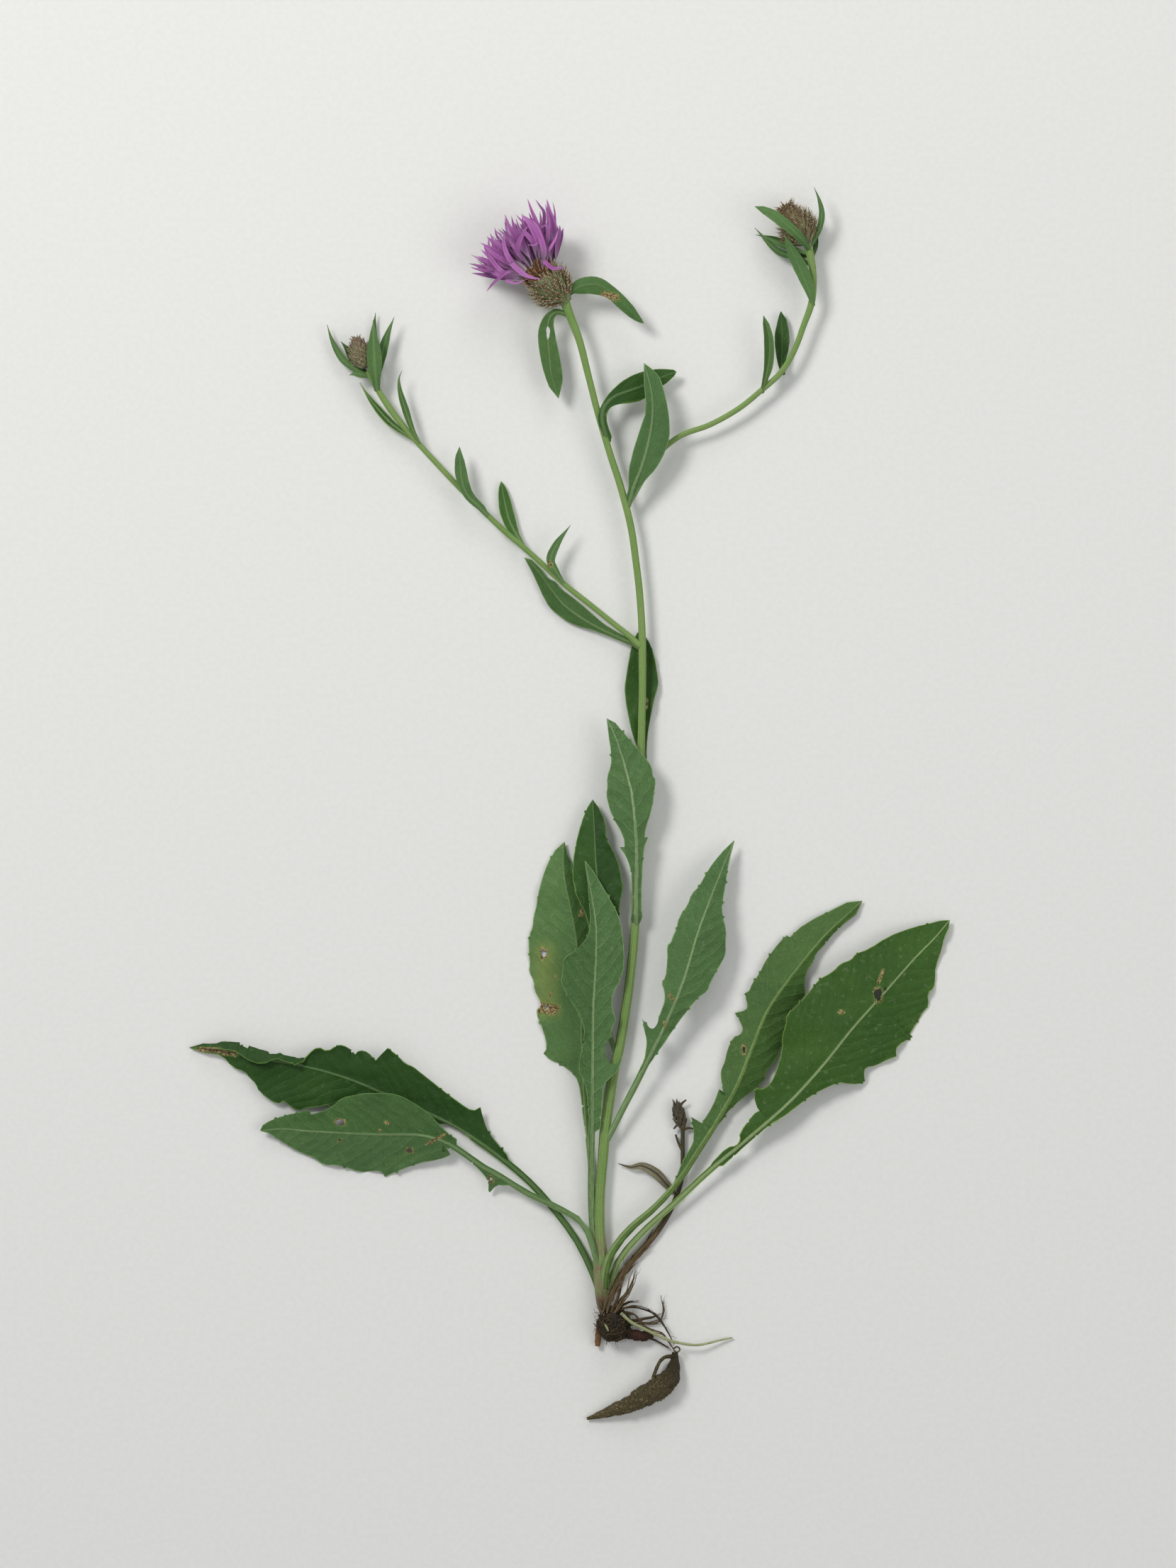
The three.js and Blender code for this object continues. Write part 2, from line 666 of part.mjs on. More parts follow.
        edge: [
          [1018, 1580], [1030, 1562], [1040, 1555], [1050, 1547], [1065, 1535], [1079, 1525],
          [1078, 1512], [1085, 1505], [1095, 1495], [1100, 1480], [1107, 1455], [1108, 1435],
          [1118, 1420], [1130, 1410], [1137, 1402], [1133, 1385], [1140, 1365], [1148, 1355],
          [1150, 1345], [1165, 1330], [1172, 1320], [1190, 1303], [1207, 1290],
        ],
      },
    ],
  },
  leaf_basal_right_front: {
    look: LEAF_FACE,
    stalk: [1.2, 1.2],
    wave: 1.0,
    waves: 8,
    rib: [
      [857, 1818, 4.2], [864, 1798, 4.8], [873, 1776, 4.8], [905, 1738, 4.8], [950, 1697, 5.2],
      [1000, 1650, 6.2], [1045, 1612, 7.4], [1110, 1555, 9.2], [1160, 1500, 10.2], [1200, 1450, 10.4],
      [1245, 1400, 9.2], [1290, 1350, 6.4], [1318, 1322, 4.2], [1339, 1298, 2.2],
    ],
    sides: [
      {
        tilt: -0.06,
        edge: [
          [1005, 1638], [1015, 1628], [1026, 1616], [1038, 1615], [1044, 1606], [1042, 1597],
          [1055, 1580], [1062, 1570], [1071, 1565], [1066, 1558], [1063, 1545], [1066, 1534],
          [1075, 1535], [1085, 1528], [1092, 1515], [1097, 1500], [1103, 1480], [1102, 1458],
          [1108, 1445], [1108, 1430], [1122, 1418], [1137, 1402], [1155, 1379], [1163, 1376],
          [1175, 1368], [1183, 1359], [1200, 1353], [1205, 1345], [1225, 1338], [1250, 1321],
          [1265, 1315], [1285, 1308], [1305, 1304], [1325, 1299],
        ],
      },
      {
        tilt: -0.48,
        phase: 0.4,
        edge: [
          [1020, 1643], [1040, 1625], [1055, 1610], [1070, 1597], [1085, 1585], [1100, 1577],
          [1120, 1562], [1135, 1550], [1150, 1540], [1170, 1530], [1182, 1525], [1195, 1528],
          [1210, 1529], [1220, 1525], [1218, 1515], [1220, 1505], [1235, 1503], [1250, 1495],
          [1265, 1490], [1263, 1485], [1266, 1474], [1287, 1463], [1282, 1460], [1295, 1440],
          [1303, 1425], [1310, 1420], [1308, 1400], [1317, 1395], [1319, 1380], [1319, 1365],
          [1329, 1335], [1330, 1325], [1338, 1310],
        ],
      },
    ],
    holes: [[1237, 1402, 11, 17]],
  },
  leaf_mid_front: {
    look: LEAF_BACK,
    stalk: [1.2, 1.2],
    wave: 0.5,
    waves: 5,
    rib: [
      [897, 1304, 5.6], [897, 1290, 7.8], [897, 1260, 8.6], [898, 1220, 9.6], [897, 1180, 10.8],
      [891, 1120, 12.6], [885, 1095, 13.0], [878, 1070, 12.8], [868, 1040, 11.8], [856, 1014, 10.4],
    ],
    sides: [
      {
        tilt: -0.2,
        edge: [
          [889, 1297], [891, 1286], [891, 1240], [888, 1220], [883, 1207], [874, 1195], [881, 1195],
          [880, 1180], [872, 1165], [863, 1150], [858, 1135], [855, 1120], [857, 1110], [856, 1097],
          [862, 1080], [862, 1065], [859, 1040],
        ],
      },
      {
        tilt: -0.1,
        phase: 0.5,
        edge: [
          [904, 1298], [906, 1291], [904, 1280], [905, 1250], [906, 1220], [907, 1200], [910, 1192],
          [914, 1181], [909, 1182], [910, 1170], [914, 1155], [921, 1135], [922, 1120], [925, 1100],
          [920, 1095], [920, 1085], [913, 1072], [900, 1056], [880, 1033], [868, 1020],
        ],
      },
    ],
  },
  leaf_mid_back: {
    look: LEAF_FACE,
    stalk: [1.0, 1.0],
    rib: [
      [909, 1076, 5.4], [908, 1050, 3.6], [906, 1010, 2.6], [905, 970, 2.0], [904, 930, 1.6],
      [904, 890, 1.2],
    ],
    sides: [
      {
        tilt: 0.1,
        edge: [
          [901, 1060], [893, 1040], [888, 1020], [884, 1000], [881, 980], [882, 960], [885, 940],
          [889, 920], [892, 905], [899, 893],
        ],
      },
      {
        tilt: 0.1,
        edge: [
          [912, 1060], [913, 1040], [916, 1020], [920, 1000], [923, 985], [928, 970], [929, 960],
          [926, 940], [922, 920], [915, 905],
        ],
      },
    ],
  },
};

// Smaller leaves of the branches and the top of the stem.
const UPPER_LEAVES = {
  leaf_branch_axil: {
    look: LEAF_BACK,
    stalk: [1.0, 1.2],
    rib: [
      [905, 916, 5.8], [892, 908, 4.2], [880, 903, 3.6], [850, 889, 3.0], [820, 872, 2.6],
      [795, 853, 2.2], [780, 835, 2.0], [765, 814, 1.7], [752, 798, 1.5], [740, 787, 1.2],
    ],
    sides: [
      {
        tilt: -0.05,
        edge: [
          [892, 912], [880, 907], [860, 899], [840, 890], [820, 885], [800, 877], [790, 870],
          [778, 860], [770, 850], [765, 840], [758, 825], [752, 810], [745, 797],
        ],
      },
      {
        tilt: 0.05,
        edge: [
          [895, 905], [880, 897], [860, 886], [845, 875], [830, 862], [815, 848], [800, 838],
          [790, 830], [786, 822], [775, 817], [768, 810], [766, 805], [760, 800], [750, 790],
        ],
      },
    ],
  },
  leaf_upper_dark: {
    look: LEAF_FACE,
    stalk: [1.2, 1.2],
    rib: [
      [858, 626, 8.6], [852, 608, 10.2], [849, 590, 10.8], [853, 575, 10.6], [866, 562, 9.8],
      [885, 554, 8.6], [910, 545, 7.2], [935, 533, 6.2], [954, 526, 5.6],
    ],
    sides: [
      {
        tilt: 0.1,
        edge: [
          [849, 612], [843, 600], [843, 585], [849, 572], [855, 562], [868, 548], [885, 535],
          [900, 528], [920, 523], [935, 522], [950, 523],
        ],
      },
      {
        tilt: -0.1,
        edge: [
          [863, 618], [858, 605], [855, 592], [858, 581], [864, 575], [875, 572], [890, 571],
          [908, 566], [930, 548], [940, 542], [951, 532],
        ],
      },
    ],
  },
  leaf_upper_pale: {
    look: LEAF_BACK,
    stalk: [1.0, 1.0],
    rib: [
      [886, 716, 8.0], [893, 690, 10.6], [903, 665, 12.2], [912, 635, 13.6], [918, 605, 14.4],
      [920, 580, 14.4], [918, 555, 13.8], [912, 530, 13.0], [908, 516, 12.4],
    ],
    sides: [
      {
        tilt: 0.1,
        edge: [
          [883, 702], [887, 690], [886, 675], [888, 655], [893, 640], [899, 620], [905, 600],
          [911, 585], [909, 560], [908, 540],
        ],
      },
      {
        tilt: -0.15,
        edge: [
          [894, 702], [903, 688], [915, 675], [928, 660], [938, 640], [944, 620], [944, 600],
          [942, 580], [938, 560], [934, 545], [928, 532], [918, 523],
        ],
      },
    ],
  },
  leaf_head_right: {
    look: LEAF_BACK,
    stalk: [0.9, 0.9],
    rib: [
      [797, 424, 12.0], [808, 414, 12.8], [825, 407, 13.2], [845, 407, 13.0], [862, 417, 12.2],
      [880, 433, 11.2], [895, 448, 10.2], [908, 459, 9.2],
    ],
    sides: [
      {
        tilt: -0.1,
        edge: [
          [807, 405], [815, 398], [830, 394], [845, 395], [860, 403], [875, 416], [890, 430],
          [900, 445], [905, 453],
        ],
      },
      {
        tilt: -0.1,
        edge: [
          [810, 418], [825, 418], [840, 419], [857, 423], [865, 431], [873, 439], [884, 447],
          [893, 454], [902, 458],
        ],
      },
    ],
  },
  leaf_head_left: {
    look: LEAF_BACK,
    stalk: [0.8, 0.8],
    rib: [
      [804, 451, 11.2], [794, 445, 11.4], [784, 444, 11.4], [776, 452, 11.2], [773, 470, 10.6],
      [775, 500, 9.8], [778, 530, 9.0], [788, 564, 7.8],
    ],
    sides: [
      {
        tilt: 0,
        edge: [
          [780, 440], [770, 446], [763, 458], [759, 472], [760, 490], [763, 510], [768, 530],
          [775, 548],
        ],
      },
      {
        tilt: -0.1,
        edge: [[782, 453], [781, 465], [784, 480], [788, 500], [793, 520], [794, 540], [791, 553]],
      },
    ],
    holes: [[773.5, 472, 5, 18]],
  },
  leaf_left_c: {
    look: LEAF_BACK,
    stalk: [0.9, 0.9],
    rib: [
      [688, 728, 6.2], [676, 716, 7.6], [660, 700, 8.6], [652, 678, 9.2], [650, 652, 9.0],
      [649, 632, 8.4],
    ],
    sides: [
      {
        tilt: 0.05,
        edge: [[676, 721], [665, 713], [655, 703], [649, 690], [643, 675], [642, 655], [644, 643]],
      },
      {
        tilt: 0.05,
        edge: [[684, 715], [672, 703], [664, 690], [660, 670], [657, 655], [653, 643]],
      },
    ],
  },
  leaf_left_d: {
    look: LEAF_FACE,
    stalk: [0.9, 0.9],
    rib: [
      [738, 771, 5.0], [729, 755, 3.2], [719, 735, 2.6], [713, 712, 2.2], [709, 692, 1.8],
      [707, 679, 1.5],
    ],
    sides: [
      { tilt: 0.05, edge: [[717, 750], [711, 740], [704, 720], [703, 700], [704, 688]] },
      { tilt: 0.05, edge: [[736, 760], [732, 752], [728, 735], [723, 715], [717, 695], [712, 685]] },
    ],
  },
  leaf_right_a: {
    look: LEAF_BACK,
    stalk: [0.8, 0.8],
    rib: [
      [1074, 556, 7.0], [1079, 536, 8.8], [1084, 508, 9.8], [1084, 482, 10.2], [1080, 462, 10.2],
      [1076, 448, 10.0],
    ],
    sides: [
      { tilt: 0.1, edge: [[1075, 535], [1077, 520], [1077, 500], [1077, 480], [1075, 460]] },
      { tilt: 0.1, edge: [[1083, 537], [1088, 525], [1091, 510], [1091, 490], [1089, 475], [1084, 460]] },
    ],
  },
  leaf_right_b: {
    look: LEAF_FACE,
    stalk: [0.8, 0.8],
    rib: [
      [1104, 530, 6.4], [1102, 512, 4.2], [1103, 490, 3.4], [1103, 465, 3.0], [1101, 440, 2.8],
    ],
    sides: [
      { tilt: 0, edge: [[1097, 515], [1094, 500], [1092, 480], [1094, 465], [1098, 448]] },
      { tilt: 0, edge: [[1107, 514], [1110, 502], [1113, 490], [1113, 470], [1109, 452]] },
    ],
  },
  right_bud_leaf_1: {
    look: LEAF_BACK,
    stalk: [0.8, 0.8],
    rib: [
      [1140, 356, 8.8], [1133, 347, 13.4], [1120, 335, 16.8], [1105, 322, 18.0], [1090, 309, 17.6],
      [1063, 297, 15.6],
    ],
    sides: [
      { tilt: 0, edge: [[1128, 333], [1120, 325], [1110, 316], [1100, 308], [1090, 302], [1075, 297]] },
      { tilt: -0.2, edge: [[1132, 352], [1120, 342], [1105, 332], [1090, 320], [1075, 308]] },
    ],
  },
  right_bud_leaf_2: {
    look: LEAF_BACK,
    stalk: [0.8, 0.8],
    rib: [
      [1146, 434, 8.4], [1142, 420, 10.0], [1135, 402, 11.2], [1126, 382, 12.2], [1115, 358, 13.0],
      [1105, 337, 13.4],
    ],
    sides: [
      { tilt: -0.05, edge: [[1137, 420], [1130, 408], [1120, 388], [1111, 370], [1107, 352]] },
      { tilt: 0, edge: [[1147, 408], [1140, 385], [1132, 370], [1120, 353], [1111, 342]] },
    ],
  },
};

// A bud or flower base: an egg from its stalk end to its mouth, [x, y, height] each.
function eggFrame(base, mouth) {
  const start = place(base);
  const axis = place(mouth).sub(start);
  const length = axis.length();
  axis.normalize();
  const side = axis.clone().cross(UP).normalize();
  const top = side.clone().cross(axis);
  return { start, axis, length, side, top };
}

function eggRadius(share, blunt) {
  return Math.sin(Math.PI * Math.min(share, 1) ** blunt) ** 0.62;
}

function eggPoint(frame, share, angle, radius) {
  return frame.start
    .clone()
    .addScaledVector(frame.axis, share * frame.length)
    .addScaledVector(frame.side, Math.cos(angle) * radius)
    .addScaledVector(frame.top, Math.sin(angle) * radius);
}

function egg(frame, radius, blunt, clearance = 0) {
  const profile = [];
  const steps = 6;
  for (let i = 0; i <= steps; i += 1) {
    const share = i / steps;
    const reach = i === 0 || i === steps ? 0 : eggRadius(share, blunt) * radius + clearance;
    const ends = (i === 0 ? -clearance : 0) + (i === steps ? clearance : 0);
    profile.push(new THREE.Vector2(reach, share * frame.length + ends));
  }
  const geometry = new THREE.LatheGeometry(profile, 10);
  const turn = new THREE.Quaternion().setFromUnitVectors(new THREE.Vector3(0, 1, 0), frame.axis);
  geometry.applyQuaternion(turn);
  geometry.translate(frame.start.x, frame.start.y, frame.start.z);
  const bare = mergeVertices(withoutExtras(geometry), 1e-4);
  return solidOf(closedFrom(bare));
}

function withoutExtras(geometry) {
  geometry.deleteAttribute("normal");
  geometry.deleteAttribute("uv");
  return geometry;
}

// The same mesh with its faces checked to point outwards and faces without area dropped.
function closedFrom(geometry) {
  const position = geometry.getAttribute("position");
  const vertices = [];
  for (let i = 0; i < position.count; i += 1) {
    vertices.push(new THREE.Vector3().fromBufferAttribute(position, i));
  }
  const index = geometry.getIndex();
  const faces = [];
  for (let i = 0; i < index.count; i += 3) {
    const face = [index.getX(i), index.getX(i + 1), index.getX(i + 2)];
    if (new Set(face).size === 3) {
      faces.push(face);
    }
  }
  return closedGeometry(vertices, faces);
}

// One scale of a flower base: a wedge rooted in the egg, with a tip and two teeth that stand off it.
function eggScale(frame, radius, blunt, { share, angle, width, length, lift, fringe }) {
  const surface = (s) => eggRadius(Math.min(Math.max(s, 0.05), 0.95), blunt) * radius;
  const at = (s, sideways, proud) => {
    const reach = surface(s) + proud;
    return eggPoint(frame, s, angle + sideways / Math.max(reach, 1.5), reach);
  };
  const rise = length / frame.length;
  const points = [
    at(share, -width / 2, -0.2),
    at(share, width / 2, -0.2),
    at(share + rise * 0.75, width / 2 + fringe, 0.35 + lift * 0.6),
    at(share + rise, 0, 0.45 + lift),
    at(share + rise * 0.75, -width / 2 - fringe, 0.35 + lift * 0.6),
    at(share + rise * 0.5, 0, 0.75),
    at(share + rise * 0.4, 0, -1.4),
  ];
  const faces = [];
  for (let k = 0; k < 5; k += 1) {
    const next = (k + 1) % 5;
    faces.push([5, k, next], [6, next, k]);
  }
  return solidOf(closedGeometry(points, faces));
}

function scalyEgg({ base, mouth, radius, blunt, rows, perRow, scale }) {
  const frame = eggFrame(base, mouth);
  const pieces = [egg(frame, radius, blunt)];
  for (let row = 0; row < rows; row += 1) {
    for (let k = 0; k < perRow; k += 1) {
      const angle = (2 * Math.PI * (k + (row % 2) / 2)) / perRow;
      const share = lerp(scale.first, scale.last, row / (rows - 1));
      pieces.push(eggScale(frame, radius, blunt, { ...scale, share, angle }));
    }
  }
  return joined(pieces);
}

// A seeded draw between 0 and 1.
function seededDraw(seed) {
  let state = seed;
  return () => {
    state = (state * 1664525 + 1013904223) % 4294967296;
    return state / 4294967296;
  };
}

const SCALE_RISE = 1.2; // how far the scales of the flower base stand off it
const HEAD = { base: [801, 430, 12.2], mouth: [753, 384, 11.8], radius: 7.0, blunt: 1.05 };
const headFrame = eggFrame(HEAD.base, HEAD.mouth);
const headClearance = egg(headFrame, HEAD.radius + SCALE_RISE, HEAD.blunt, GAP);
const STEM_CLEARANCES = [mainStemClearance, leftBranchClearance, rightBranchClearance, headClearance];
for (const leaves of [BASAL_AND_STEM_LEAVES, UPPER_LEAVES]) {
  for (const [name, spec] of Object.entries(leaves)) {
    addPiece(name, seated(leaf(spec), STEM_CLEARANCES), spec.look);
  }
}

// Narrow leaves along the branches and round the buds: midrib, then greatest width in pixels.
const NARROW_LEAVES = {
  leaf_left_a: {
    rib: [[586, 623, 5.2], [565, 608, 5.0], [550, 596, 4.8], [525, 567, 4.4], [508, 541, 4.0]],
    width: 9,
  },
  leaf_left_b: {
    rib: [
      [592, 626, 6.4], [582, 606, 7.0], [573, 580, 7.4], [565, 552, 7.6], [564, 535, 7.6],
      [568, 525, 7.4],
    ],
    width: 8,
  },
  leaf_left_e: {
    rib: [[796, 825, 6.6], [785, 808, 7.8], [777, 792, 8.2], [785, 770, 8.4], [805, 742, 8.0]],
    width: 10,
  },
  left_bud_leaf_1: {
    rib: [[533, 553, 6.6], [531, 530, 9.4], [529, 495, 11.2], [528, 455, 11.0]],
    width: 17,
  },
  left_bud_leaf_2: {
    rib: [[529, 538, 4.8], [528, 508, 1.8], [527, 475, 1.6], [530, 442, 2.4]],
    width: 11,
  },
  left_bud_leaf_3: {
    rib: [[531, 546, 5.4], [537, 512, 6.0], [547, 475, 6.4], [557, 449, 6.6]],
    width: 11,
  },
  left_bud_leaf_4: {
    rib: [[522, 533, 5.8], [505, 524, 4.6], [485, 509, 4.2], [469, 481, 3.8], [462, 459, 3.6]],
    width: 8,
  },
  left_bud_leaf_5: {
    rib: [[517, 528, 4.4], [509, 519, 1.8], [499, 506, 1.0], [491, 494, 1.0], [481, 482, 1.4]],
    width: 12,
  },
  left_bud_leaf_6: {
    rib: [[521, 533, 6.2], [510, 530, 7.2], [502, 529, 7.4], [494, 531, 7.2]],
    width: 8,
  },
  right_bud_leaf_3: {
    rib: [
      [1142, 352, 8.6], [1154, 328, 9.0], [1158, 305, 9.4], [1154, 285, 9.8], [1147, 268, 10.0],
    ],
    width: 7,
  },
  right_bud_leaf_4: {
    rib: [[1146, 364, 6.8], [1150, 348, 3.4], [1148, 325, 2.2], [1140, 293, 1.8]],
    width: 7,
  },
  right_bud_leaf_5: {
    rib: [[1142, 377, 7.2], [1128, 366, 6.4], [1110, 362, 6.0], [1095, 355, 5.8], [1064, 323, 5.4]],
    width: 8,
  },
  right_bud_leaf_6: {
    rib: [[1140, 362, 8.0], [1124, 356, 8.6], [1100, 348, 8.8], [1075, 335, 8.6]],
    width: 7,
  },
  right_bud_leaf_7: {
    rib: [[1141, 366, 6.8], [1122, 356, 4.0], [1098, 341, 3.6], [1066, 332, 3.4]],
    width: 9,
  },
};
const NARROW_FACES = [
  "leaf_left_a", "left_bud_leaf_2", "left_bud_leaf_5", "right_bud_leaf_4", "right_bud_leaf_7",
];
for (const [name, { rib, width }] of Object.entries(NARROW_LEAVES)) {
  const look = NARROW_FACES.includes(name) ? LEAF_FACE : LEAF_BACK;
  addPiece(name, seated(smallLeaf(rib, width), STEM_CLEARANCES), look);
}

// Flower head, lying on its side: a scaly green base and the florets that spread from its mouth.
const HEAD_SCALES = { first: 0.06, last: 0.72, width: 4.1, length: 4.65, lift: 0.7, fringe: 0.73 };
const stemTopClearance = tube(MAIN_STEM.slice(0, 3), { sides: 10, clearance: GAP });
const flowerBase = scalyEgg({ ...HEAD, rows: 5, perRow: 6, scale: HEAD_SCALES });
addPiece("flower_base", seated(flowerBase, [stemTopClearance]), SCALES);

// The florets fan out wider along the surface than up from it.
const FAN_ROOT = [766, 401, 11.8];
const FAN_TIP = [741, 342, 12.4];
const FAN_CORE = { base: [769, 408, 11.8], mouth: [747, 366, 12.0], radius: 6.2, blunt: 1 };
const FAN_RINGS = [
  { count: 13, root: [5.4, 4.4], left: 0.82, right: 0.42, up: 0.34, reach: 1, lobes: 3 },
  { count: 7, root: [3.2, 2.2], left: 0.42, right: 0.28, up: 0.18, reach: 0.94, lobes: 2 },
];

// A flat lobe with a diamond section, from its root to its tip.
function lobe(root, heading, facing, length, width) {
  const across = heading.clone().cross(facing).normalize();
  const points = [];
  for (const [share, spread, thick] of [[0, 0.5, 0.6], [0.5, 1, 0.7]]) {
    const centre = root.clone().addScaledVector(heading, share * length);
    points.push(centre.clone().addScaledVector(across, (spread * width) / 2));
    points.push(centre.clone().addScaledVector(facing, thick / 2));
    points.push(centre.clone().addScaledVector(across, (-spread * width) / 2));
    points.push(centre.clone().addScaledVector(facing, -thick / 2));
  }
  points.push(root.clone().addScaledVector(heading, length));
  const faces = [[0, 2, 1], [0, 3, 2]];
  for (let k = 0; k < 4; k += 1) {
    const next = (k + 1) % 4;
    faces.push([k, next, next + 4], [k, next + 4, k + 4], [k + 4, next + 4, 8]);
  }
  return solidOf(closedGeometry(points, faces));
}

function inPhoto(v, radius) {
  return [v.x / SCALE + PHOTO_MIDDLE_X, PHOTO_MIDDLE_Y - v.y / SCALE, v.z, radius];
}

// A floret: a slim tube that bends outwards and splits into narrow lobes.
function floret(fan, { root, across, rise, turn, reach, lobes }) {
  const aim = (share) =>
    fan.axis
      .clone()
      .addScaledVector(fan.side, Math.tan(across * share))
      .addScaledVector(fan.top, Math.tan(rise * share))
      .normalize();
  const heading = aim(1);
  const start = fan.start.clone().addScaledVector(fan.side, root[0]).addScaledVector(fan.top, root[1]);
  const neck = start.clone().addScaledVector(aim(1.1), reach * 0.26);
  const throat = neck.clone().addScaledVector(heading, reach * 0.16);
  const row = [inPhoto(start, 0.55), inPhoto(neck, 0.55), inPhoto(throat, 0.9)];
  const pieces = [tube(row, { sides: 4, step: 7 })];
  const side = heading.clone().cross(fan.top).applyAxisAngle(heading, turn).normalize();
  const facing = side.clone().cross(heading).normalize();
  const split = throat.clone().addScaledVector(heading, -0.8);
  for (let k = 0; k < lobes; k += 1) {
    const share = k / (lobes - 1) - 0.5;
    const open = share * 0.7;
    const direction = heading
      .clone()
      .multiplyScalar(Math.cos(open))
      .addScaledVector(side, Math.sin(open))
      .addScaledVector(facing, 0.14 * Math.cos(k * 2.4))
      .normalize();
    const normal = facing.clone().addScaledVector(direction, -facing.dot(direction)).normalize();
    pieces.push(lobe(split, direction, normal, reach * 0.6 * (1 - 0.2 * Math.abs(share)), LOBE_WIDTH));
  }
  return joined(pieces);
}

// Florets on the underside are bent up until they lie on the surface.
function restingFloret(fan, shape) {
  let rise = shape.rise;
  let piece = floret(fan, shape);
  while (piece.boundingBox().min[2] < 0.02) {
    rise += 0.02;
    piece = floret(fan, { ...shape, rise });
  }
  return piece;
}

function florets() {
  const draw = seededDraw(11);
  const fan = eggFrame(FAN_ROOT, FAN_TIP);
  const core = eggFrame(FAN_CORE.base, FAN_CORE.mouth);
  const pieces = [egg(core, FAN_CORE.radius, FAN_CORE.blunt)];
  for (const ring of FAN_RINGS) {
    for (let k = 0; k < ring.count; k += 1) {
      const spin = (2 * Math.PI * (k + 0.3 + 0.4 * draw())) / ring.count;
      const sideways = Math.cos(spin);
      const root = [ring.root[0] * sideways, ring.root[1] * Math.sin(spin)];
      const uneven = 0.9 + 0.2 * draw();
      const across = (sideways > 0 ? ring.right : ring.left) * sideways * uneven;
      const rise = ring.up * Math.sin(spin) * uneven;
      const shorter = sideways > 0 ? 0.3 : 0.2;
      const longest = FLORET_LENGTH * ring.reach * (0.94 + 0.14 * draw());
      const reach = longest * (1 - shorter * Math.abs(sideways));
      const turn = 1.4 * (draw() - 0.5);
      pieces.push(restingFloret(fan, { root, across, rise, turn, reach, lobes: ring.lobes }));
    }
  }
  return joined(pieces);
}

const baseClearance = egg(headFrame, HEAD.radius, HEAD.blunt, GAP);
const scaleClearance = scalyEgg({
  ...HEAD,
  radius: HEAD.radius + GAP,
  rows: 5,
  perRow: 6,
  scale: { ...HEAD_SCALES, width: HEAD_SCALES.width + 2 * GAP, length: HEAD_SCALES.length + GAP },
});
addPiece("florets", seated(florets(), [baseClearance, scaleClearance, flowerBase, stemTopClearance]), PETAL);

// The bud of the left branch is smooth and green, the one of the right branch brown and shaggy.
const LEFT_BUD = { base: [516, 521, 6.5], mouth: [502, 473, 6.5], radius: 3.9, blunt: 0.85 };
const LEFT_BUD_SCALES = { first: 0.08, last: 0.7, width: 3.4, length: 4.0, lift: 0.3, fringe: 0.3 };
const RIGHT_BUD = { base: [1138, 348, 8.2], mouth: [1106, 292, 8.2], radius: 5.9, blunt: 0.85 };
const RIGHT_BUD_SCALES = { first: 0.08, last: 0.76, width: 2.6, length: 5.0, lift: 1.5, fringe: 1.3 };
const leftBud = scalyEgg({ ...LEFT_BUD, rows: 4, perRow: 4, scale: LEFT_BUD_SCALES });
const rightBud = scalyEgg({ ...RIGHT_BUD, rows: 5, perRow: 5, scale: RIGHT_BUD_SCALES });
addPiece("left_bud", seated(leftBud, [leftBranchClearance]), SCALES);
addPiece("right_bud", seated(rightBud, [rightBranchClearance]), SHAGGY);

// Crown and roots. Root rows are [x, y, height, radius].
const ROOT_BALL = { centre: [866, 1866, 5.4], reach: [6.2, 6.4, 5.8] };
const FIBRES = [
  [
    [872, 1846, 7.0, 0.9], [890, 1840, 7.4, 0.6], [910, 1845, 6.4, 0.5], [925, 1855, 5.2, 0.45],
    [940, 1875, 3.6, 0.45], [951, 1896, 2.6, 0.4],
  ],
  [
    [874, 1850, 5.0, 0.8], [892, 1852, 5.2, 0.6], [910, 1870, 4.4, 0.5], [935, 1881, 3.2, 0.5],
    [953, 1908, 2.4, 0.45],
  ],
  [[872, 1845, 3.6, 0.9], [885, 1837, 3.0, 0.55], [901, 1834, 2.4, 0.4]],
  [[876, 1860, 3.0, 0.9], [900, 1861, 2.4, 0.6], [920, 1858, 2.0, 0.5], [934, 1852, 1.8, 0.4]],
  [
    [876, 1868, 2.0, 0.8], [905, 1866, 1.3, 0.6], [930, 1863, 1.0, 0.5], [936, 1850, 1.0, 0.45],
    [932, 1828, 1.4, 0.35],
  ],
  [[880, 1872, 2.8, 0.9], [915, 1886, 1.6, 0.7], [930, 1893, 1.4, 0.6], [944, 1902, 1.6, 0.5]],
  [[856, 1850, 7.0, 0.9], [850, 1842, 8.6, 0.5], [846, 1828, 9.0, 0.35]],
  [[848, 1862, 5.0, 1.0], [843, 1872, 4.4, 0.6], [838, 1866, 4.2, 0.35]],
];
const ROOT_STUB = [
  [852, 1856, 4.0, 1.5], [846, 1870, 3.2, 1.3], [844, 1884, 2.4, 1.3], [843, 1898, 2.0, 1.0],
];
const FRAYED = [
  [[866, 1850, 8.6, 0.9], [877, 1832, 8.8, 0.6], [889, 1812, 8.4, 0.45], [897, 1790, 8.0, 0.35]],
  [[862, 1848, 9.0, 0.9], [871, 1828, 9.6, 0.5], [877, 1806, 9.4, 0.35]],
];

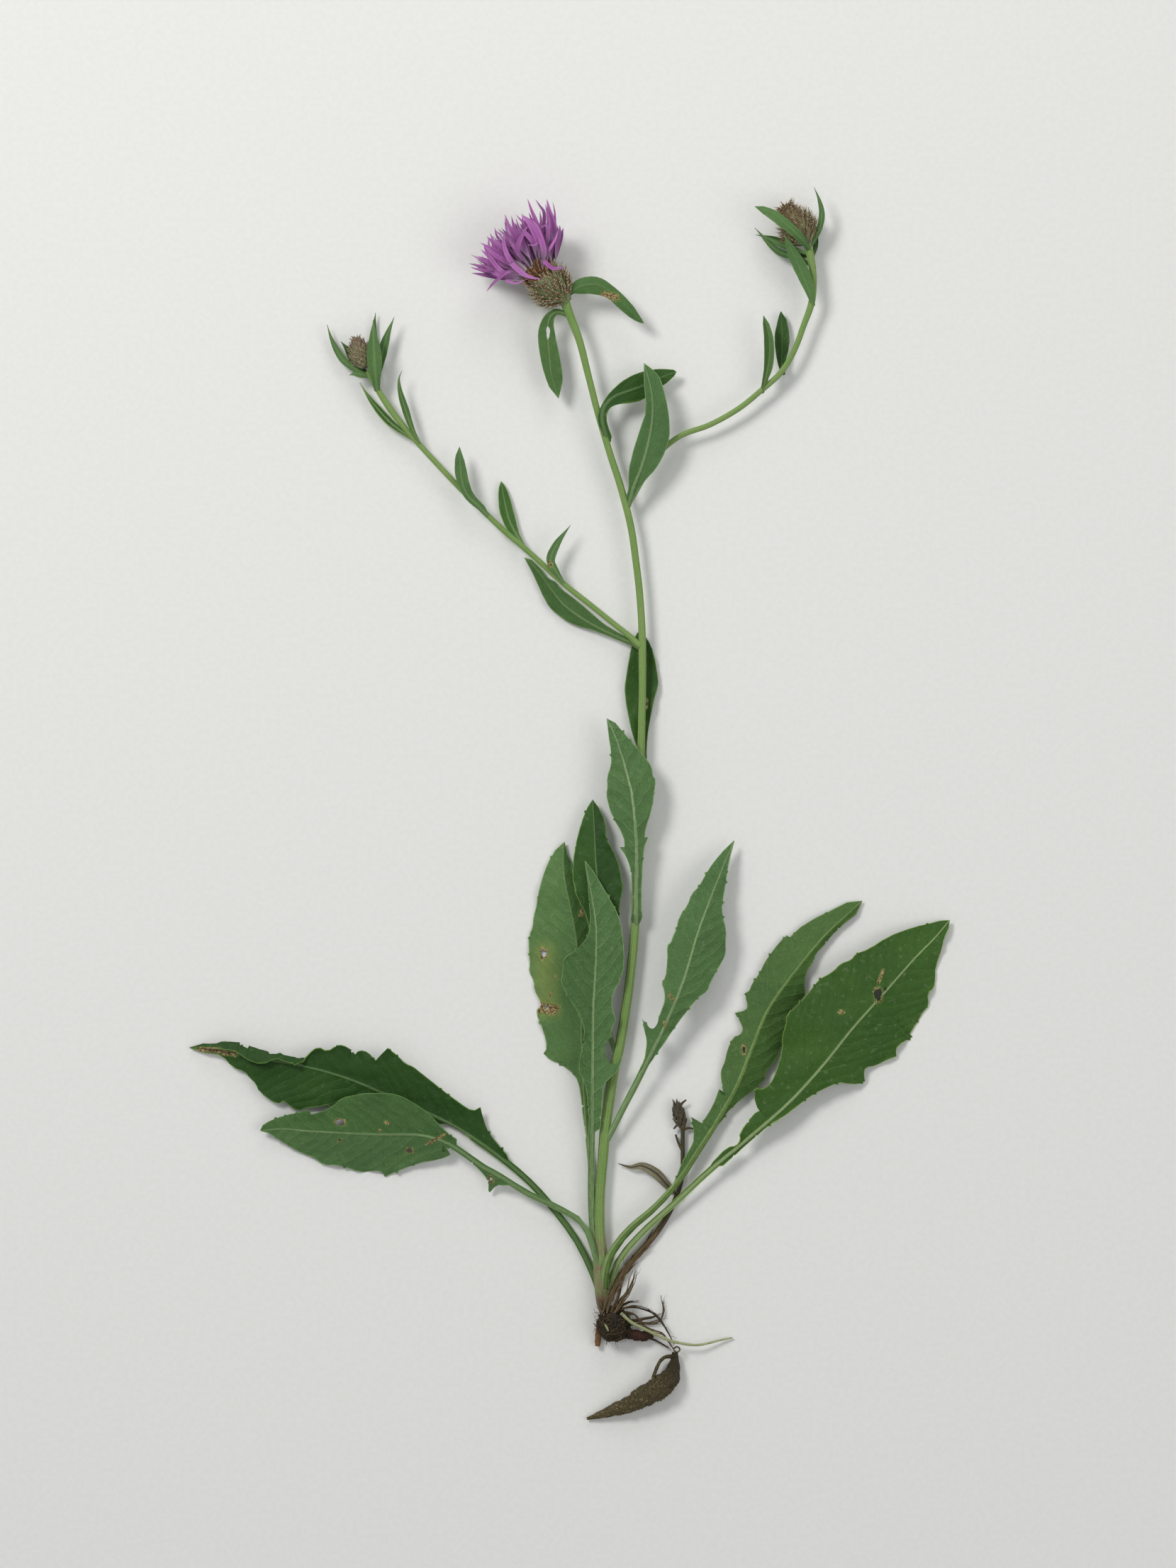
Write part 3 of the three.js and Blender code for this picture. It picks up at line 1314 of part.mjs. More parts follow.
function rootBall() {
  const [rx, ry, rz] = ROOT_BALL.reach;
  const centre = place(ROOT_BALL.centre);
  const geometry = mergeVertices(withoutExtras(new THREE.SphereGeometry(1, 14, 10)), 1e-4);
  const position = geometry.getAttribute("position");
  for (let i = 0; i < position.count; i += 1) {
    const v = new THREE.Vector3().fromBufferAttribute(position, i);
    const bump = 1 + 0.09 * Math.sin(5 * v.x + 3 * v.y) + 0.08 * Math.cos(6 * v.y - 4 * v.z + v.x);
    const reach = new THREE.Vector3(rx, ry, rz).multiplyScalar(bump).multiply(v);
    position.setXYZ(i, centre.x + reach.x, centre.y + reach.y, centre.z + reach.z);
  }
  return solidOf(closedFrom(geometry));
}

const rootTubes = [...FIBRES, ...FRAYED].map((row) => tube(row, { sides: 4, step: 6 }));
const rootMass = joined([rootBall(), tube(ROOT_STUB, { sides: 6, step: 5 }), ...rootTubes]);
addPiece("root_ball", rested(seated(rootMass, STEM_CLEARANCES)), BARK);

const YOUNG_RHIZOME = [
  [884, 1880, 4.4, 1.8], [895, 1882, 3.6, 2.1], [908, 1884, 2.8, 2.0], [921, 1881, 2.6, 1.3],
];
addPiece("red_rhizome", seated(tube(YOUNG_RHIZOME, { sides: 8, step: 4 }), [rootMass]), RED_ROOT);

const WHITE_ROOT_ROUTE = [
  [876, 1849, 10.8, 0.8], [890, 1862, 9.4, 0.8], [905, 1870, 8.4, 0.75], [925, 1880, 7.4, 0.75],
  [945, 1889, 6.2, 0.7], [965, 1894, 5.0, 0.7], [985, 1896, 3.8, 0.65], [1020, 1889, 1.6, 0.55],
  [1033, 1887, 0.9, 0.45],
];
addPiece("white_root", seated(tube(WHITE_ROOT_ROUTE, { sides: 6, step: 6 }), [rootMass]), WHITE_ROOT);

const DEAD_RHIZOME = [
  [952, 1907, 2.4, 1.6], [951, 1922, 3.4, 3.0], [946, 1940, 4.2, 4.0], [930, 1956, 4.4, 4.4],
  [908, 1968, 4.0, 4.1], [888, 1980, 3.2, 3.2], [868, 1987, 2.6, 2.5], [850, 1994, 1.9, 1.6],
  [828, 2001, 1.2, 0.5],
];
const DEAD_STRIP = [
  [951, 1912, 4.0, 0.9], [936, 1914, 4.0, 0.7], [924, 1934, 3.8, 0.7], [921, 1952, 3.8, 1.0],
];
const DEAD_SPIKE = [
  [946, 1948, 2.4, 1.2], [934, 1966, 1.8, 0.8], [918, 1981, 1.2, 0.35],
];
const corky = (u, angle) => 1 + 0.07 * Math.sin(9 * angle + 40 * u) + 0.06 * Math.sin(53 * u + 2 * angle);
const deadRhizome = joined([
  tube(DEAD_RHIZOME, { sides: 10, step: 4, bumps: corky }),
  tube(DEAD_STRIP, { sides: 5, step: 5 }),
  tube(DEAD_SPIKE, { sides: 5, step: 5 }),
]);
addPiece("dead_rhizome", rested(seated(deadRhizome, [rootMass])), CORK);

// Last year's stalk, dry, with what is left of its head, and one dry leaf.
const OLD_STALK = [
  [860, 1834, 2.8, 1.2], [868, 1812, 1.6, 1.2], [880, 1795, 1.4, 1.15], [895, 1775, 1.3, 1.1],
  [925, 1740, 1.3, 1.05], [944, 1710, 1.3, 1.0], [955, 1685, 1.3, 0.9], [962, 1660, 1.3, 0.8],
  [963, 1620, 1.6, 0.75], [963, 1588, 1.9, 0.8],
];
const OLD_HEAD = [
  [963, 1592, 2.0, 0.9], [962, 1580, 2.4, 1.6], [957, 1566, 2.6, 2.2], [953, 1553, 2.8, 1.6],
];
const OLD_BRACTS = [
  [[964, 1600, 1.8, 0.5], [958, 1585, 2.4, 0.5], [950, 1592, 2.6, 0.35]],
  [[963, 1596, 1.8, 0.5], [970, 1591, 2.0, 0.5], [978, 1592, 2.2, 0.35]],
  [[962, 1622, 1.6, 0.6], [957, 1612, 2.0, 0.5], [953, 1600, 2.2, 0.4]],
  [[958, 1560, 2.6, 0.8], [964, 1554, 2.8, 0.4], [968, 1551, 2.8, 0.3]],
];
const oldStalk = joined([
  tube(OLD_STALK, { sides: 6 }),
  tube(OLD_HEAD, { sides: 8, step: 4 }),
  ...OLD_BRACTS.map((row) => tube(row, { sides: 4, step: 4 })),
]);
const baseClearances = [...STEM_CLEARANCES, rootMass];
addPiece("old_stalk", seated(oldStalk, baseClearances), STRAW);

const oldStalkClearance = tube(OLD_STALK, { sides: 6, clearance: GAP });
const DRY_LEAF = [
  [960, 1690, 1.6], [940, 1670, 2.4], [925, 1654, 2.8], [905, 1644, 2.8], [890, 1646, 2.4],
  [872, 1641, 2.0],
];
addPiece("dry_leaf", seated(smallLeaf(DRY_LEAF, 11), [...baseClearances, oldStalkClearance]), STRAW);

export default group;
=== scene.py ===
"""Looks of an uprooted brown knapweed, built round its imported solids.

Tables hold places in photograph pixels and heights in millimetres. Objects are made in metres.
"""

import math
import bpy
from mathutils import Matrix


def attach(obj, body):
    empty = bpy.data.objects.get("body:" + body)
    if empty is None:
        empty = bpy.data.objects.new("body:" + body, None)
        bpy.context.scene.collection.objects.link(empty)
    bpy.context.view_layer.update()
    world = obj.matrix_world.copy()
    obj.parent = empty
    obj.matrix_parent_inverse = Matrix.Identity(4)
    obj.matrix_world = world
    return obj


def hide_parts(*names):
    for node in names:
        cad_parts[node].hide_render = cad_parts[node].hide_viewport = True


bl_info = {
    "name": "Brown knapweed", "version": (1, 0, 0), "blender": (4, 5, 0),
    "location": "3D View > Sidebar > Knapweed",
    "description": "Builds the leaves, stems, flower head and roots of a brown knapweed plant",
    "category": "Add Mesh",
}

import bpy
import numpy as np
from mathutils import Vector

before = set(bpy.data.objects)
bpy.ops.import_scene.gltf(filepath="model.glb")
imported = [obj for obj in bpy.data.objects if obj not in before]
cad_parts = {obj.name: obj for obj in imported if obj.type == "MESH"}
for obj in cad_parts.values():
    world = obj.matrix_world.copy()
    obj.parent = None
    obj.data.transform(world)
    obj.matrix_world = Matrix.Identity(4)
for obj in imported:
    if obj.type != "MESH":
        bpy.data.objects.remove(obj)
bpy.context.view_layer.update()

# The plant's length and the same length in photograph pixels set the scale.
PLANT_LENGTH = 486.0
PHOTO_TOP = 268
PHOTO_BOTTOM = 2004
PHOTO_MIDDLE = (803.5, 1135.3)
PHOTO_SIZE = (1659, 2212)
SCALE = PLANT_LENGTH / (PHOTO_BOTTOM - PHOTO_TOP)
MM = 0.001
UP = np.array([0.0, 0.0, 1.0])
# In millimetres: the least height of a point, and the thickness of the blades in the solids.
LOWEST = 0.02
SOLID_THICKNESS = 0.7


# Stems. Each row is [x, y, height of the centre, radius].
MAIN_STEM = [
    [795, 423, 12, 2], [803, 445, 11.6, 1.7], [818, 485, 10.8, 1.45], [832, 540, 9.8, 1.3],
    [845, 590, 9, 1.3], [860, 640, 8.4, 1.35], [876, 690, 8, 1.4], [889, 740, 7.6, 1.4],
    [898, 800, 7.2, 1.4], [904, 860, 6.8, 1.4], [906, 910, 6.6, 1.5], [906, 980, 6.4, 1.45],
    [904, 1060, 6.2, 1.5], [900, 1150, 5.8, 1.55], [897, 1220, 5.4, 1.6], [896, 1300, 5, 1.75],
    [886, 1400, 4.6, 1.85], [873, 1480, 4.4, 1.95], [866, 1510, 4.3, 2], [858, 1560, 4.3, 2.1],
    [853, 1600, 4.3, 2.1], [850, 1640, 4.2, 2], [846, 1690, 4.2, 1.95], [846, 1740, 4.2, 2.2],
    [848, 1780, 4.3, 3.1], [849, 1806, 4.4, 3.1], [851, 1838, 4.9, 2.6], [854, 1849, 5.2, 2.2],
]
LEFT_BRANCH = [
    [903, 912, 6.6, 1.25], [890, 900, 6.4, 1.15], [870, 884, 6.3, 1.1], [830, 852, 6.2, 1.1],
    [795, 824, 6, 1.1], [750, 783, 5.8, 1.1], [715, 753, 5.6, 1.1], [680, 720, 5.4, 1.1],
    [640, 680, 5.2, 1.1], [600, 637, 5.2, 1.1], [570, 603, 5.4, 1.15], [550, 577, 5.6, 1.3],
    [533, 550, 5.9, 1.2], [520, 525, 6.3, 1.3],
]
RIGHT_BRANCH = [
    [886, 712, 7.8, 1.2], [905, 680, 7.2, 1.1], [930, 640, 6.9, 1.1], [960, 616, 6.8, 1.1],
    [1000, 601, 6.8, 1.1], [1040, 579, 6.9, 1.1], [1070, 555, 7.1, 1.1],
    [1100, 528, 7.3, 1.15], [1120, 495, 7.5, 1.15], [1133, 460, 7.7, 1.2],
    [1144, 428, 7.9, 1.35], [1146, 395, 8, 1.4], [1143, 370, 8.1, 1.5], [1138, 347, 8.2, 1.7],
]

# Leaves by their midrib [x, y, height] and their margins, each from the base to the tip. Stalk is the
# half width at its foot and at the blade. Tilt, wave and waves raise a margin over the midrib, and a
# third number does so for one place of it. Fold is the crease of a margin that is rolled over.
LEAVES = {
    "leaf_far_left_back": {
        "look": "face", "stalk": [1.3, 1.3], "wave": 0.8, "waves": 7,
        "rib": [
            [846, 1822, 3.6], [838, 1800, 2.2], [815, 1752, 1.6], [785, 1710, 1.6], [745, 1665, 2],
            [690, 1620, 2.6], [645, 1590, 3], [600, 1567, 3.4], [550, 1545, 3.8], [490, 1520, 4.4],
            [430, 1503, 5], [350, 1490, 4.2], [300, 1480, 2.4], [268, 1478, 1.2],
        ],
        "sides": [{"tilt": 0.15, "fold": [
            [432, 1490, 1], [405, 1485, 1.4], [380, 1482, 1.6], [360, 1476, 1.8], [340, 1469, 1.8],
            [320, 1468, 1.8], [295, 1470, 1],
        ], "edge": [
            [715, 1628], [700, 1610], [690, 1597], [684, 1585], [680, 1570], [678, 1561], [667, 1567],
            [650, 1556], [620, 1533], [595, 1513], [583, 1503], [573, 1500], [563, 1489], [548, 1477],
            [537, 1488], [531, 1495], [520, 1483], [508, 1480], [502, 1487], [492, 1476], [478, 1472],
            [463, 1483], [450, 1475], [437, 1485, 2.2], [425, 1501, 3.4], [405, 1497, 3.8],
            [390, 1491, 3.8], [372, 1501, 3.8], [350, 1494, 3.8], [335, 1482, 3.6], [312, 1479, 2.6],
        ]}, {"tilt": -0.12, "phase": 0.5, "edge": [
            [662, 1603], [655, 1597], [640, 1588], [625, 1583], [600, 1590], [540, 1585], [510, 1575],
            [465, 1557], [450, 1561], [432, 1562], [422, 1567], [410, 1560], [400, 1552], [392, 1558],
            [366, 1540], [362, 1528], [353, 1520], [347, 1511], [328, 1505], [315, 1488], [290, 1485],
        ]}],
    },
    "leaf_far_left_front": {
        "look": "back", "stalk": [1.2, 1.2], "wave": 0.7, "waves": 6,
        "rib": [
            [845, 1784, 6.2], [838, 1764, 7.2], [832, 1742, 7.6], [820, 1722, 7], [785, 1701, 6],
            [745, 1682, 6.2], [705, 1657, 6.8], [680, 1643, 7.2], [655, 1625, 7.8], [635, 1612, 8.2],
            [600, 1600, 8.8], [530, 1598, 9], [440, 1594, 7], [400, 1591, 5.4], [368, 1594, 3.8],
        ],
        "holes": [[481, 1582, 12, 9], [578, 1621, 7, 7]],
        "sides": [{"tilt": 0.05, "edge": [
            [645, 1605], [630, 1595], [605, 1567], [575, 1548], [563, 1543], [550, 1540], [515, 1540],
            [500, 1544], [483, 1547], [470, 1560], [450, 1568], [440, 1570], [437, 1564], [400, 1573],
            [382, 1580], [372, 1586],
        ]}, {"tilt": -0.5, "phase": 0.4, "edge": [
            [712, 1671], [700, 1670], [689, 1684], [690, 1664], [675, 1646], [660, 1634], [634, 1617],
            [625, 1618], [623, 1624], [636, 1628], [623, 1634], [585, 1641], [543, 1660], [540, 1652],
            [525, 1651], [508, 1654], [487, 1645], [475, 1643], [456, 1643], [445, 1633], [430, 1628],
            [410, 1617], [380, 1598],
        ]}],
    },
    "leaf_basal_left_back": {
        "look": "back", "stalk": [1.2, 1.1], "wave": 0.6, "waves": 6,
        "rib": [
            [846, 1756, 3], [838, 1724, 1.7], [834, 1650, 1.5], [826, 1560, 1.6], [822, 1480, 2.2],
            [820, 1400, 2.8], [814, 1328, 3.2], [803, 1270, 3.2], [797, 1240, 3], [795, 1210, 2.4],
            [796, 1188, 1.8],
        ],
        "holes": [[767, 1345, 9, 10]],
        "sides": [{"tilt": -0.2, "edge": [
            [828, 1600], [823, 1580], [819, 1540], [815, 1525], [810, 1515], [790, 1500], [775, 1495],
            [767, 1486], [772, 1478], [767, 1455], [755, 1427], [764, 1419], [762, 1412], [753, 1395],
            [754, 1385], [746, 1370], [748, 1360], [746, 1345], [746, 1320], [752, 1307], [753, 1292],
            [757, 1278], [758, 1265], [766, 1235], [773, 1218], [783, 1200],
        ]}, {"tilt": -0.05, "edge": [
            [836, 1580], [844, 1500], [845, 1440], [842, 1400], [836, 1360], [830, 1330], [832, 1315],
            [827, 1290], [820, 1280], [812, 1265], [807, 1220], [800, 1205],
        ]}],
    },
    "leaf_stem_left": {
        "look": "face", "stalk": [1, 0.9], "wave": 0.5, "waves": 5,
        "rib": [
            [872, 1492, 4.4], [863, 1470, 4.8], [857, 1440, 5.2], [852, 1400, 5.6], [848, 1340, 6.2],
            [845, 1260, 6.6], [841, 1220, 6.4], [838, 1160, 5.2], [836, 1128, 4.4],
        ],
        "sides": [{"tilt": -0.02, "edge": [
            [842, 1365], [836, 1330], [827, 1288], [812, 1262], [811, 1250], [807, 1238], [810, 1198],
            [820, 1160], [828, 1140],
        ]}, {"tilt": 0.05, "edge": [
            [856, 1375], [862, 1345], [869, 1320], [873, 1300], [874, 1275], [880, 1247], [876, 1240],
            [875, 1225], [870, 1212], [865, 1200], [854, 1180], [856, 1170], [852, 1155], [845, 1140],
        ]}],
    },
    "leaf_basal_left_front": {
        "look": "back", "stalk": [1.15, 1.3], "wave": 0.7, "waves": 5,
        "rib": [
            [843, 1772, 4.8], [837, 1744, 4.6], [834, 1700, 4.8], [834, 1650, 5.8], [835, 1600, 7.6],
            [836, 1500, 10.2], [837, 1420, 11.6], [841, 1340, 12], [840, 1300, 11.6], [834, 1260, 10.8],
            [825, 1214, 9.6],
        ],
        "sides": [{"tilt": -0.08, "edge": [
            [847, 1590], [850, 1545], [852, 1528], [862, 1517], [872, 1508], [876.5, 1496], [878, 1490],
            [861, 1462], [864, 1445], [869, 1436], [866, 1430], [863, 1415], [864, 1400], [876, 1380],
            [881, 1360], [879, 1325], [876, 1305], [872, 1290], [862, 1270], [838, 1230],
        ]}, {"tilt": -0.22, "phase": 0.3, "edge": [
            [830, 1570], [828, 1540], [823, 1520], [815, 1507], [825, 1460], [822, 1440], [812, 1420],
            [791, 1387], [794, 1370], [795, 1350], [808, 1343], [822, 1330], [830, 1318], [833, 1300],
            [832, 1275], [829, 1245],
        ]}],
    },
    "leaf_stem_right": {
        "look": "back", "stalk": [1.2, 1.3], "wave": 0.8, "waves": 5,
        "rib": [
            [853, 1612, 4.4], [861, 1598, 5.4], [870, 1580, 6.2], [880, 1560, 7], [893, 1535, 8],
            [908, 1505, 9.2], [935, 1450, 12], [962, 1385, 14], [985, 1310, 13.6], [1000, 1270, 11.6],
            [1018, 1225, 8], [1035, 1186, 4.6],
        ],
        "sides": [{"tilt": 0.12, "edge": [
            [903, 1505], [908, 1495], [911, 1480], [912, 1465], [908, 1450], [905.5, 1435], [921, 1437],
            [929, 1433], [933.5, 1420], [937, 1410], [937, 1397], [932, 1383], [938, 1378], [941, 1355],
            [940, 1332], [946, 1328], [948, 1320], [953, 1310], [957, 1292], [970, 1275], [974, 1261],
            [985, 1250], [995, 1232], [1005, 1217], [1020, 1200],
        ]}, {"tilt": -0.3, "phase": 0.5, "edge": [
            [918, 1496], [938, 1468], [948, 1452], [972, 1420], [985, 1405], [998, 1396], [1001, 1385],
            [1018, 1355], [1023, 1343], [1022, 1330], [1024, 1313], [1018, 1290], [1018, 1275],
            [1030, 1205],
        ]}],
    },
    "leaf_basal_right_back": {
        "look": "back", "stalk": [1.7, 1.1], "wave": 0.6, "waves": 7,
        "rib": [
            [852, 1816, 6.2], [854, 1790, 7.8], [861, 1768, 7.6], [885, 1735, 7], [925, 1700, 6.4],
            [960, 1660, 5.6], [985, 1622, 4.8], [1015, 1575, 4], [1040, 1530, 3.6], [1060, 1480, 3.4],
            [1083, 1425, 3.4], [1120, 1372, 3.4], [1165, 1318, 3], [1190, 1295, 2.2], [1216, 1271, 1.2],
        ],
        "sides": [{"tilt": -0.14, "edge": [
            [950, 1668], [963, 1635], [973, 1620], [980, 1605], [975, 1575], [984, 1584], [990, 1584],
            [1005, 1560], [1014, 1536], [1017, 1552], [1020, 1540], [1017, 1522], [1017, 1510],
            [1023, 1495], [1026, 1480], [1034, 1462], [1043, 1460], [1048, 1453], [1046, 1445],
            [1037, 1429], [1052, 1425], [1055, 1418], [1050, 1401], [1057, 1398], [1060, 1388],
            [1072, 1372], [1077, 1360], [1083, 1350], [1100, 1328], [1110, 1319], [1114, 1322],
            [1135, 1302], [1195, 1273],
        ]}, {"tilt": -0.08, "phase": 0.5, "edge": [
            [1018, 1580], [1030, 1562], [1079, 1525], [1078, 1512], [1095, 1495], [1100, 1480],
            [1107, 1455], [1108, 1435], [1118, 1420], [1130, 1410], [1137, 1402], [1133, 1385],
            [1140, 1365], [1148, 1355], [1150, 1345], [1165, 1330], [1172, 1320], [1190, 1303],
            [1207, 1290],
        ]}],
    },
    "leaf_basal_right_front": {
        "look": "face", "stalk": [1.2, 1.2], "wave": 1, "waves": 8,
        "rib": [
            [857, 1818, 4.2], [864, 1798, 4.8], [873, 1776, 4.8], [905, 1738, 4.8], [950, 1697, 5.2],
            [1000, 1650, 6.2], [1045, 1612, 7.4], [1110, 1555, 9.2], [1160, 1500, 10.2],
            [1200, 1450, 10.4], [1245, 1400, 9.2], [1290, 1350, 6.4], [1318, 1322, 4.2],
            [1339, 1298, 2.2],
        ],
        "holes": [[1237, 1402, 11, 17]],
        "sides": [{"tilt": -0.06, "edge": [
            [1005, 1638], [1026, 1616], [1038, 1615], [1044, 1606], [1042, 1597], [1062, 1570],
            [1071, 1565], [1066, 1558], [1063, 1545], [1066, 1534], [1075, 1535], [1085, 1528],
            [1092, 1515], [1103, 1480], [1102, 1458], [1108, 1445], [1108, 1430], [1122, 1418],
            [1137, 1402], [1155, 1379], [1163, 1376], [1175, 1368], [1183, 1359], [1200, 1353],
            [1205, 1345], [1225, 1338], [1250, 1321], [1285, 1308], [1325, 1299],
        ]}, {"tilt": -0.48, "phase": 0.4, "edge": [
            [1020, 1643], [1055, 1610], [1085, 1585], [1100, 1577], [1135, 1550], [1150, 1540],
            [1182, 1525], [1195, 1528], [1210, 1529], [1220, 1525], [1218, 1515], [1220, 1505],
            [1235, 1503], [1250, 1495], [1265, 1490], [1263, 1485], [1266, 1474], [1287, 1463],
            [1282, 1460], [1295, 1440], [1303, 1425], [1310, 1420], [1308, 1400], [1317, 1395],
            [1319, 1380], [1319, 1365], [1329, 1335], [1330, 1325], [1338, 1310],
        ]}],
    },
    "leaf_mid_front": {
        "look": "back", "stalk": [1.2, 1.2], "wave": 0.5, "waves": 5,
        "rib": [
            [897, 1304, 5.6], [897, 1290, 7.8], [897, 1260, 8.6], [898, 1220, 9.6], [897, 1180, 10.8],
            [891, 1120, 12.6], [885, 1095, 13], [878, 1070, 12.8], [868, 1040, 11.8], [856, 1014, 10.4],
        ],
        "sides": [{"tilt": -0.2, "edge": [
            [889, 1297], [891, 1286], [891, 1240], [888, 1220], [883, 1207], [874, 1195], [881, 1195],
            [880, 1180], [863, 1150], [858, 1135], [855, 1120], [857, 1110], [856, 1097], [862, 1080],
            [862, 1065], [859, 1040],
        ]}, {"tilt": -0.1, "phase": 0.5, "edge": [
            [904, 1298], [906, 1291], [904, 1280], [907, 1200], [914, 1181], [909, 1182], [910, 1170],
            [921, 1135], [922, 1120], [925, 1100], [920, 1095], [920, 1085], [913, 1072], [868, 1020],
        ]}],
    },
    "leaf_mid_back": {
        "look": "face", "stalk": [1, 1],
        "rib": [
            [909, 1076, 5.4], [908, 1050, 3.6], [906, 1010, 2.6], [905, 970, 2], [904, 930, 1.6],
            [904, 890, 1.2],
        ],
        "sides": [{"tilt": 0.1, "edge": [
            [901, 1060], [893, 1040], [888, 1020], [881, 980], [882, 960], [892, 905], [899, 893],
        ]}, {"tilt": 0.1, "edge": [
            [912, 1060], [913, 1040], [916, 1020], [923, 985], [928, 970], [929, 960], [922, 920],
            [915, 905],
        ]}],
    },
    "leaf_branch_axil": {
        "look": "back", "stalk": [1, 1.2],
        "rib": [
            [905, 916, 5.8], [892, 908, 4.2], [880, 903, 3.6], [850, 889, 3], [820, 872, 2.6],
            [795, 853, 2.2], [780, 835, 2], [765, 814, 1.7], [752, 798, 1.5], [740, 787, 1.2],
        ],
        "sides": [{"tilt": -0.05, "edge": [
            [892, 912], [840, 890], [820, 885], [800, 877], [790, 870], [778, 860], [770, 850],
            [752, 810], [745, 797],
        ]}, {"tilt": 0.05, "edge": [
            [895, 905], [860, 886], [845, 875], [815, 848], [790, 830], [786, 822], [775, 817],
            [768, 810], [766, 805], [750, 790],
        ]}],
    },
    "leaf_upper_dark": {
        "look": "face", "stalk": [1.2, 1.2],
        "rib": [
            [858, 626, 8.6], [852, 608, 10.2], [849, 590, 10.8], [853, 575, 10.6], [866, 562, 9.8],
            [885, 554, 8.6], [910, 545, 7.2], [935, 533, 6.2], [954, 526, 5.6],
        ],
        "sides": [{"tilt": 0.1, "edge": [
            [849, 612], [843, 600], [843, 585], [855, 562], [868, 548], [885, 535], [900, 528],
            [920, 523], [935, 522], [950, 523],
        ]}, {"tilt": -0.1, "edge": [
            [863, 618], [858, 605], [855, 592], [858, 581], [864, 575], [875, 572], [890, 571],
            [908, 566], [930, 548], [940, 542], [951, 532],
        ]}],
    },
    "leaf_upper_pale": {
        "look": "back", "stalk": [1, 1],
        "rib": [
            [886, 716, 8], [893, 690, 10.6], [903, 665, 12.2], [912, 635, 13.6], [918, 605, 14.4],
            [920, 580, 14.4], [918, 555, 13.8], [912, 530, 13], [908, 516, 12.4],
        ],
        "sides": [{"tilt": 0.1, "edge": [
            [883, 702], [887, 690], [886, 675], [888, 655], [905, 600], [911, 585], [908, 540],
        ]}, {"tilt": -0.15, "edge": [
            [894, 702], [903, 688], [928, 660], [938, 640], [944, 620], [944, 600], [942, 580],
            [934, 545], [928, 532], [918, 523],
        ]}],
    },
    "leaf_head_right": {
        "look": "back", "stalk": [0.9, 0.9],
        "rib": [
            [797, 424, 12], [808, 414, 12.8], [825, 407, 13.2], [845, 407, 13], [862, 417, 12.2],
            [880, 433, 11.2], [895, 448, 10.2], [908, 459, 9.2],
        ],
        "sides": [{"tilt": -0.1, "edge": [
            [807, 405], [815, 398], [830, 394], [845, 395], [860, 403], [890, 430], [905, 453],
        ]}, {"tilt": -0.1, "edge": [
            [810, 418], [840, 419], [857, 423], [873, 439], [893, 454], [902, 458],
        ]}],
    },
    "leaf_head_left": {
        "look": "back", "stalk": [0.8, 0.8],
        "rib": [
            [804, 451, 11.2], [794, 445, 11.4], [784, 444, 11.4], [776, 452, 11.2], [773, 470, 10.6],
            [775, 500, 9.8], [778, 530, 9], [788, 564, 7.8],
        ],
        "holes": [[773.5, 472, 5, 18]],
        "sides": [{"tilt": 0, "edge": [
            [780, 440], [770, 446], [763, 458], [759, 472], [760, 490], [763, 510], [768, 530],
            [775, 548],
        ]}, {"tilt": -0.1, "edge": [[782, 453], [781, 465], [793, 520], [794, 540], [791, 553]]}],
    },
    "leaf_left_c": {
        "look": "back", "stalk": [0.9, 0.9],
        "rib": [
            [688, 728, 6.2], [676, 716, 7.6], [660, 700, 8.6], [652, 678, 9.2], [650, 652, 9],
            [649, 632, 8.4],
        ],
        "sides": [{"tilt": 0.05, "edge": [
            [676, 721], [665, 713], [655, 703], [649, 690], [643, 675], [642, 655], [644, 643],
        ]}, {"tilt": 0.05, "edge": [[684, 715], [672, 703], [664, 690], [657, 655], [653, 643]]}],
    },
    "leaf_left_d": {
        "look": "face", "stalk": [0.9, 0.9],
        "rib": [
            [738, 771, 5], [729, 755, 3.2], [719, 735, 2.6], [713, 712, 2.2], [709, 692, 1.8],
            [707, 679, 1.5],
        ],
        "sides": [{"tilt": 0.05, "edge": [[717, 750], [711, 740], [704, 720], [703, 700], [704, 688]]},
         {"tilt": 0.05, "edge": [[736, 760], [732, 752], [723, 715], [717, 695], [712, 685]]}],
    },
    "leaf_right_a": {
        "look": "back", "stalk": [0.8, 0.8],
        "rib": [
            [1074, 556, 7], [1079, 536, 8.8], [1084, 508, 9.8], [1084, 482, 10.2], [1080, 462, 10.2],
            [1076, 448, 10],
        ],
        "sides": [{"tilt": 0.1, "edge": [[1075, 535], [1077, 520], [1077, 480], [1075, 460]]},
         {"tilt": 0.1, "edge": [
            [1083, 537], [1088, 525], [1091, 510], [1091, 490], [1089, 475], [1084, 460],
        ]}],
    },
    "leaf_right_b": {
        "look": "face", "stalk": [0.8, 0.8],
        "rib": [[1104, 530, 6.4], [1102, 512, 4.2], [1103, 490, 3.4], [1103, 465, 3], [1101, 440, 2.8]],
        "sides": [{"tilt": 0, "edge": [[1097, 515], [1094, 500], [1092, 480], [1094, 465], [1098, 448]]},
         {"tilt": 0, "edge": [[1107, 514], [1113, 490], [1113, 470], [1109, 452]]}],
    },
    "right_bud_leaf_1": {
        "look": "back", "stalk": [0.8, 0.8],
        "rib": [
            [1140, 356, 8.8], [1133, 347, 13.4], [1120, 335, 16.8], [1105, 322, 18], [1090, 309, 17.6],
            [1063, 297, 15.6],
        ],
        "sides": [{"tilt": 0, "edge": [[1128, 333], [1100, 308], [1090, 302], [1075, 297]]},
         {"tilt": -0.2, "edge": [[1132, 352], [1075, 308]]}],
    },
    "right_bud_leaf_2": {
        "look": "back", "stalk": [0.8, 0.8],
        "rib": [
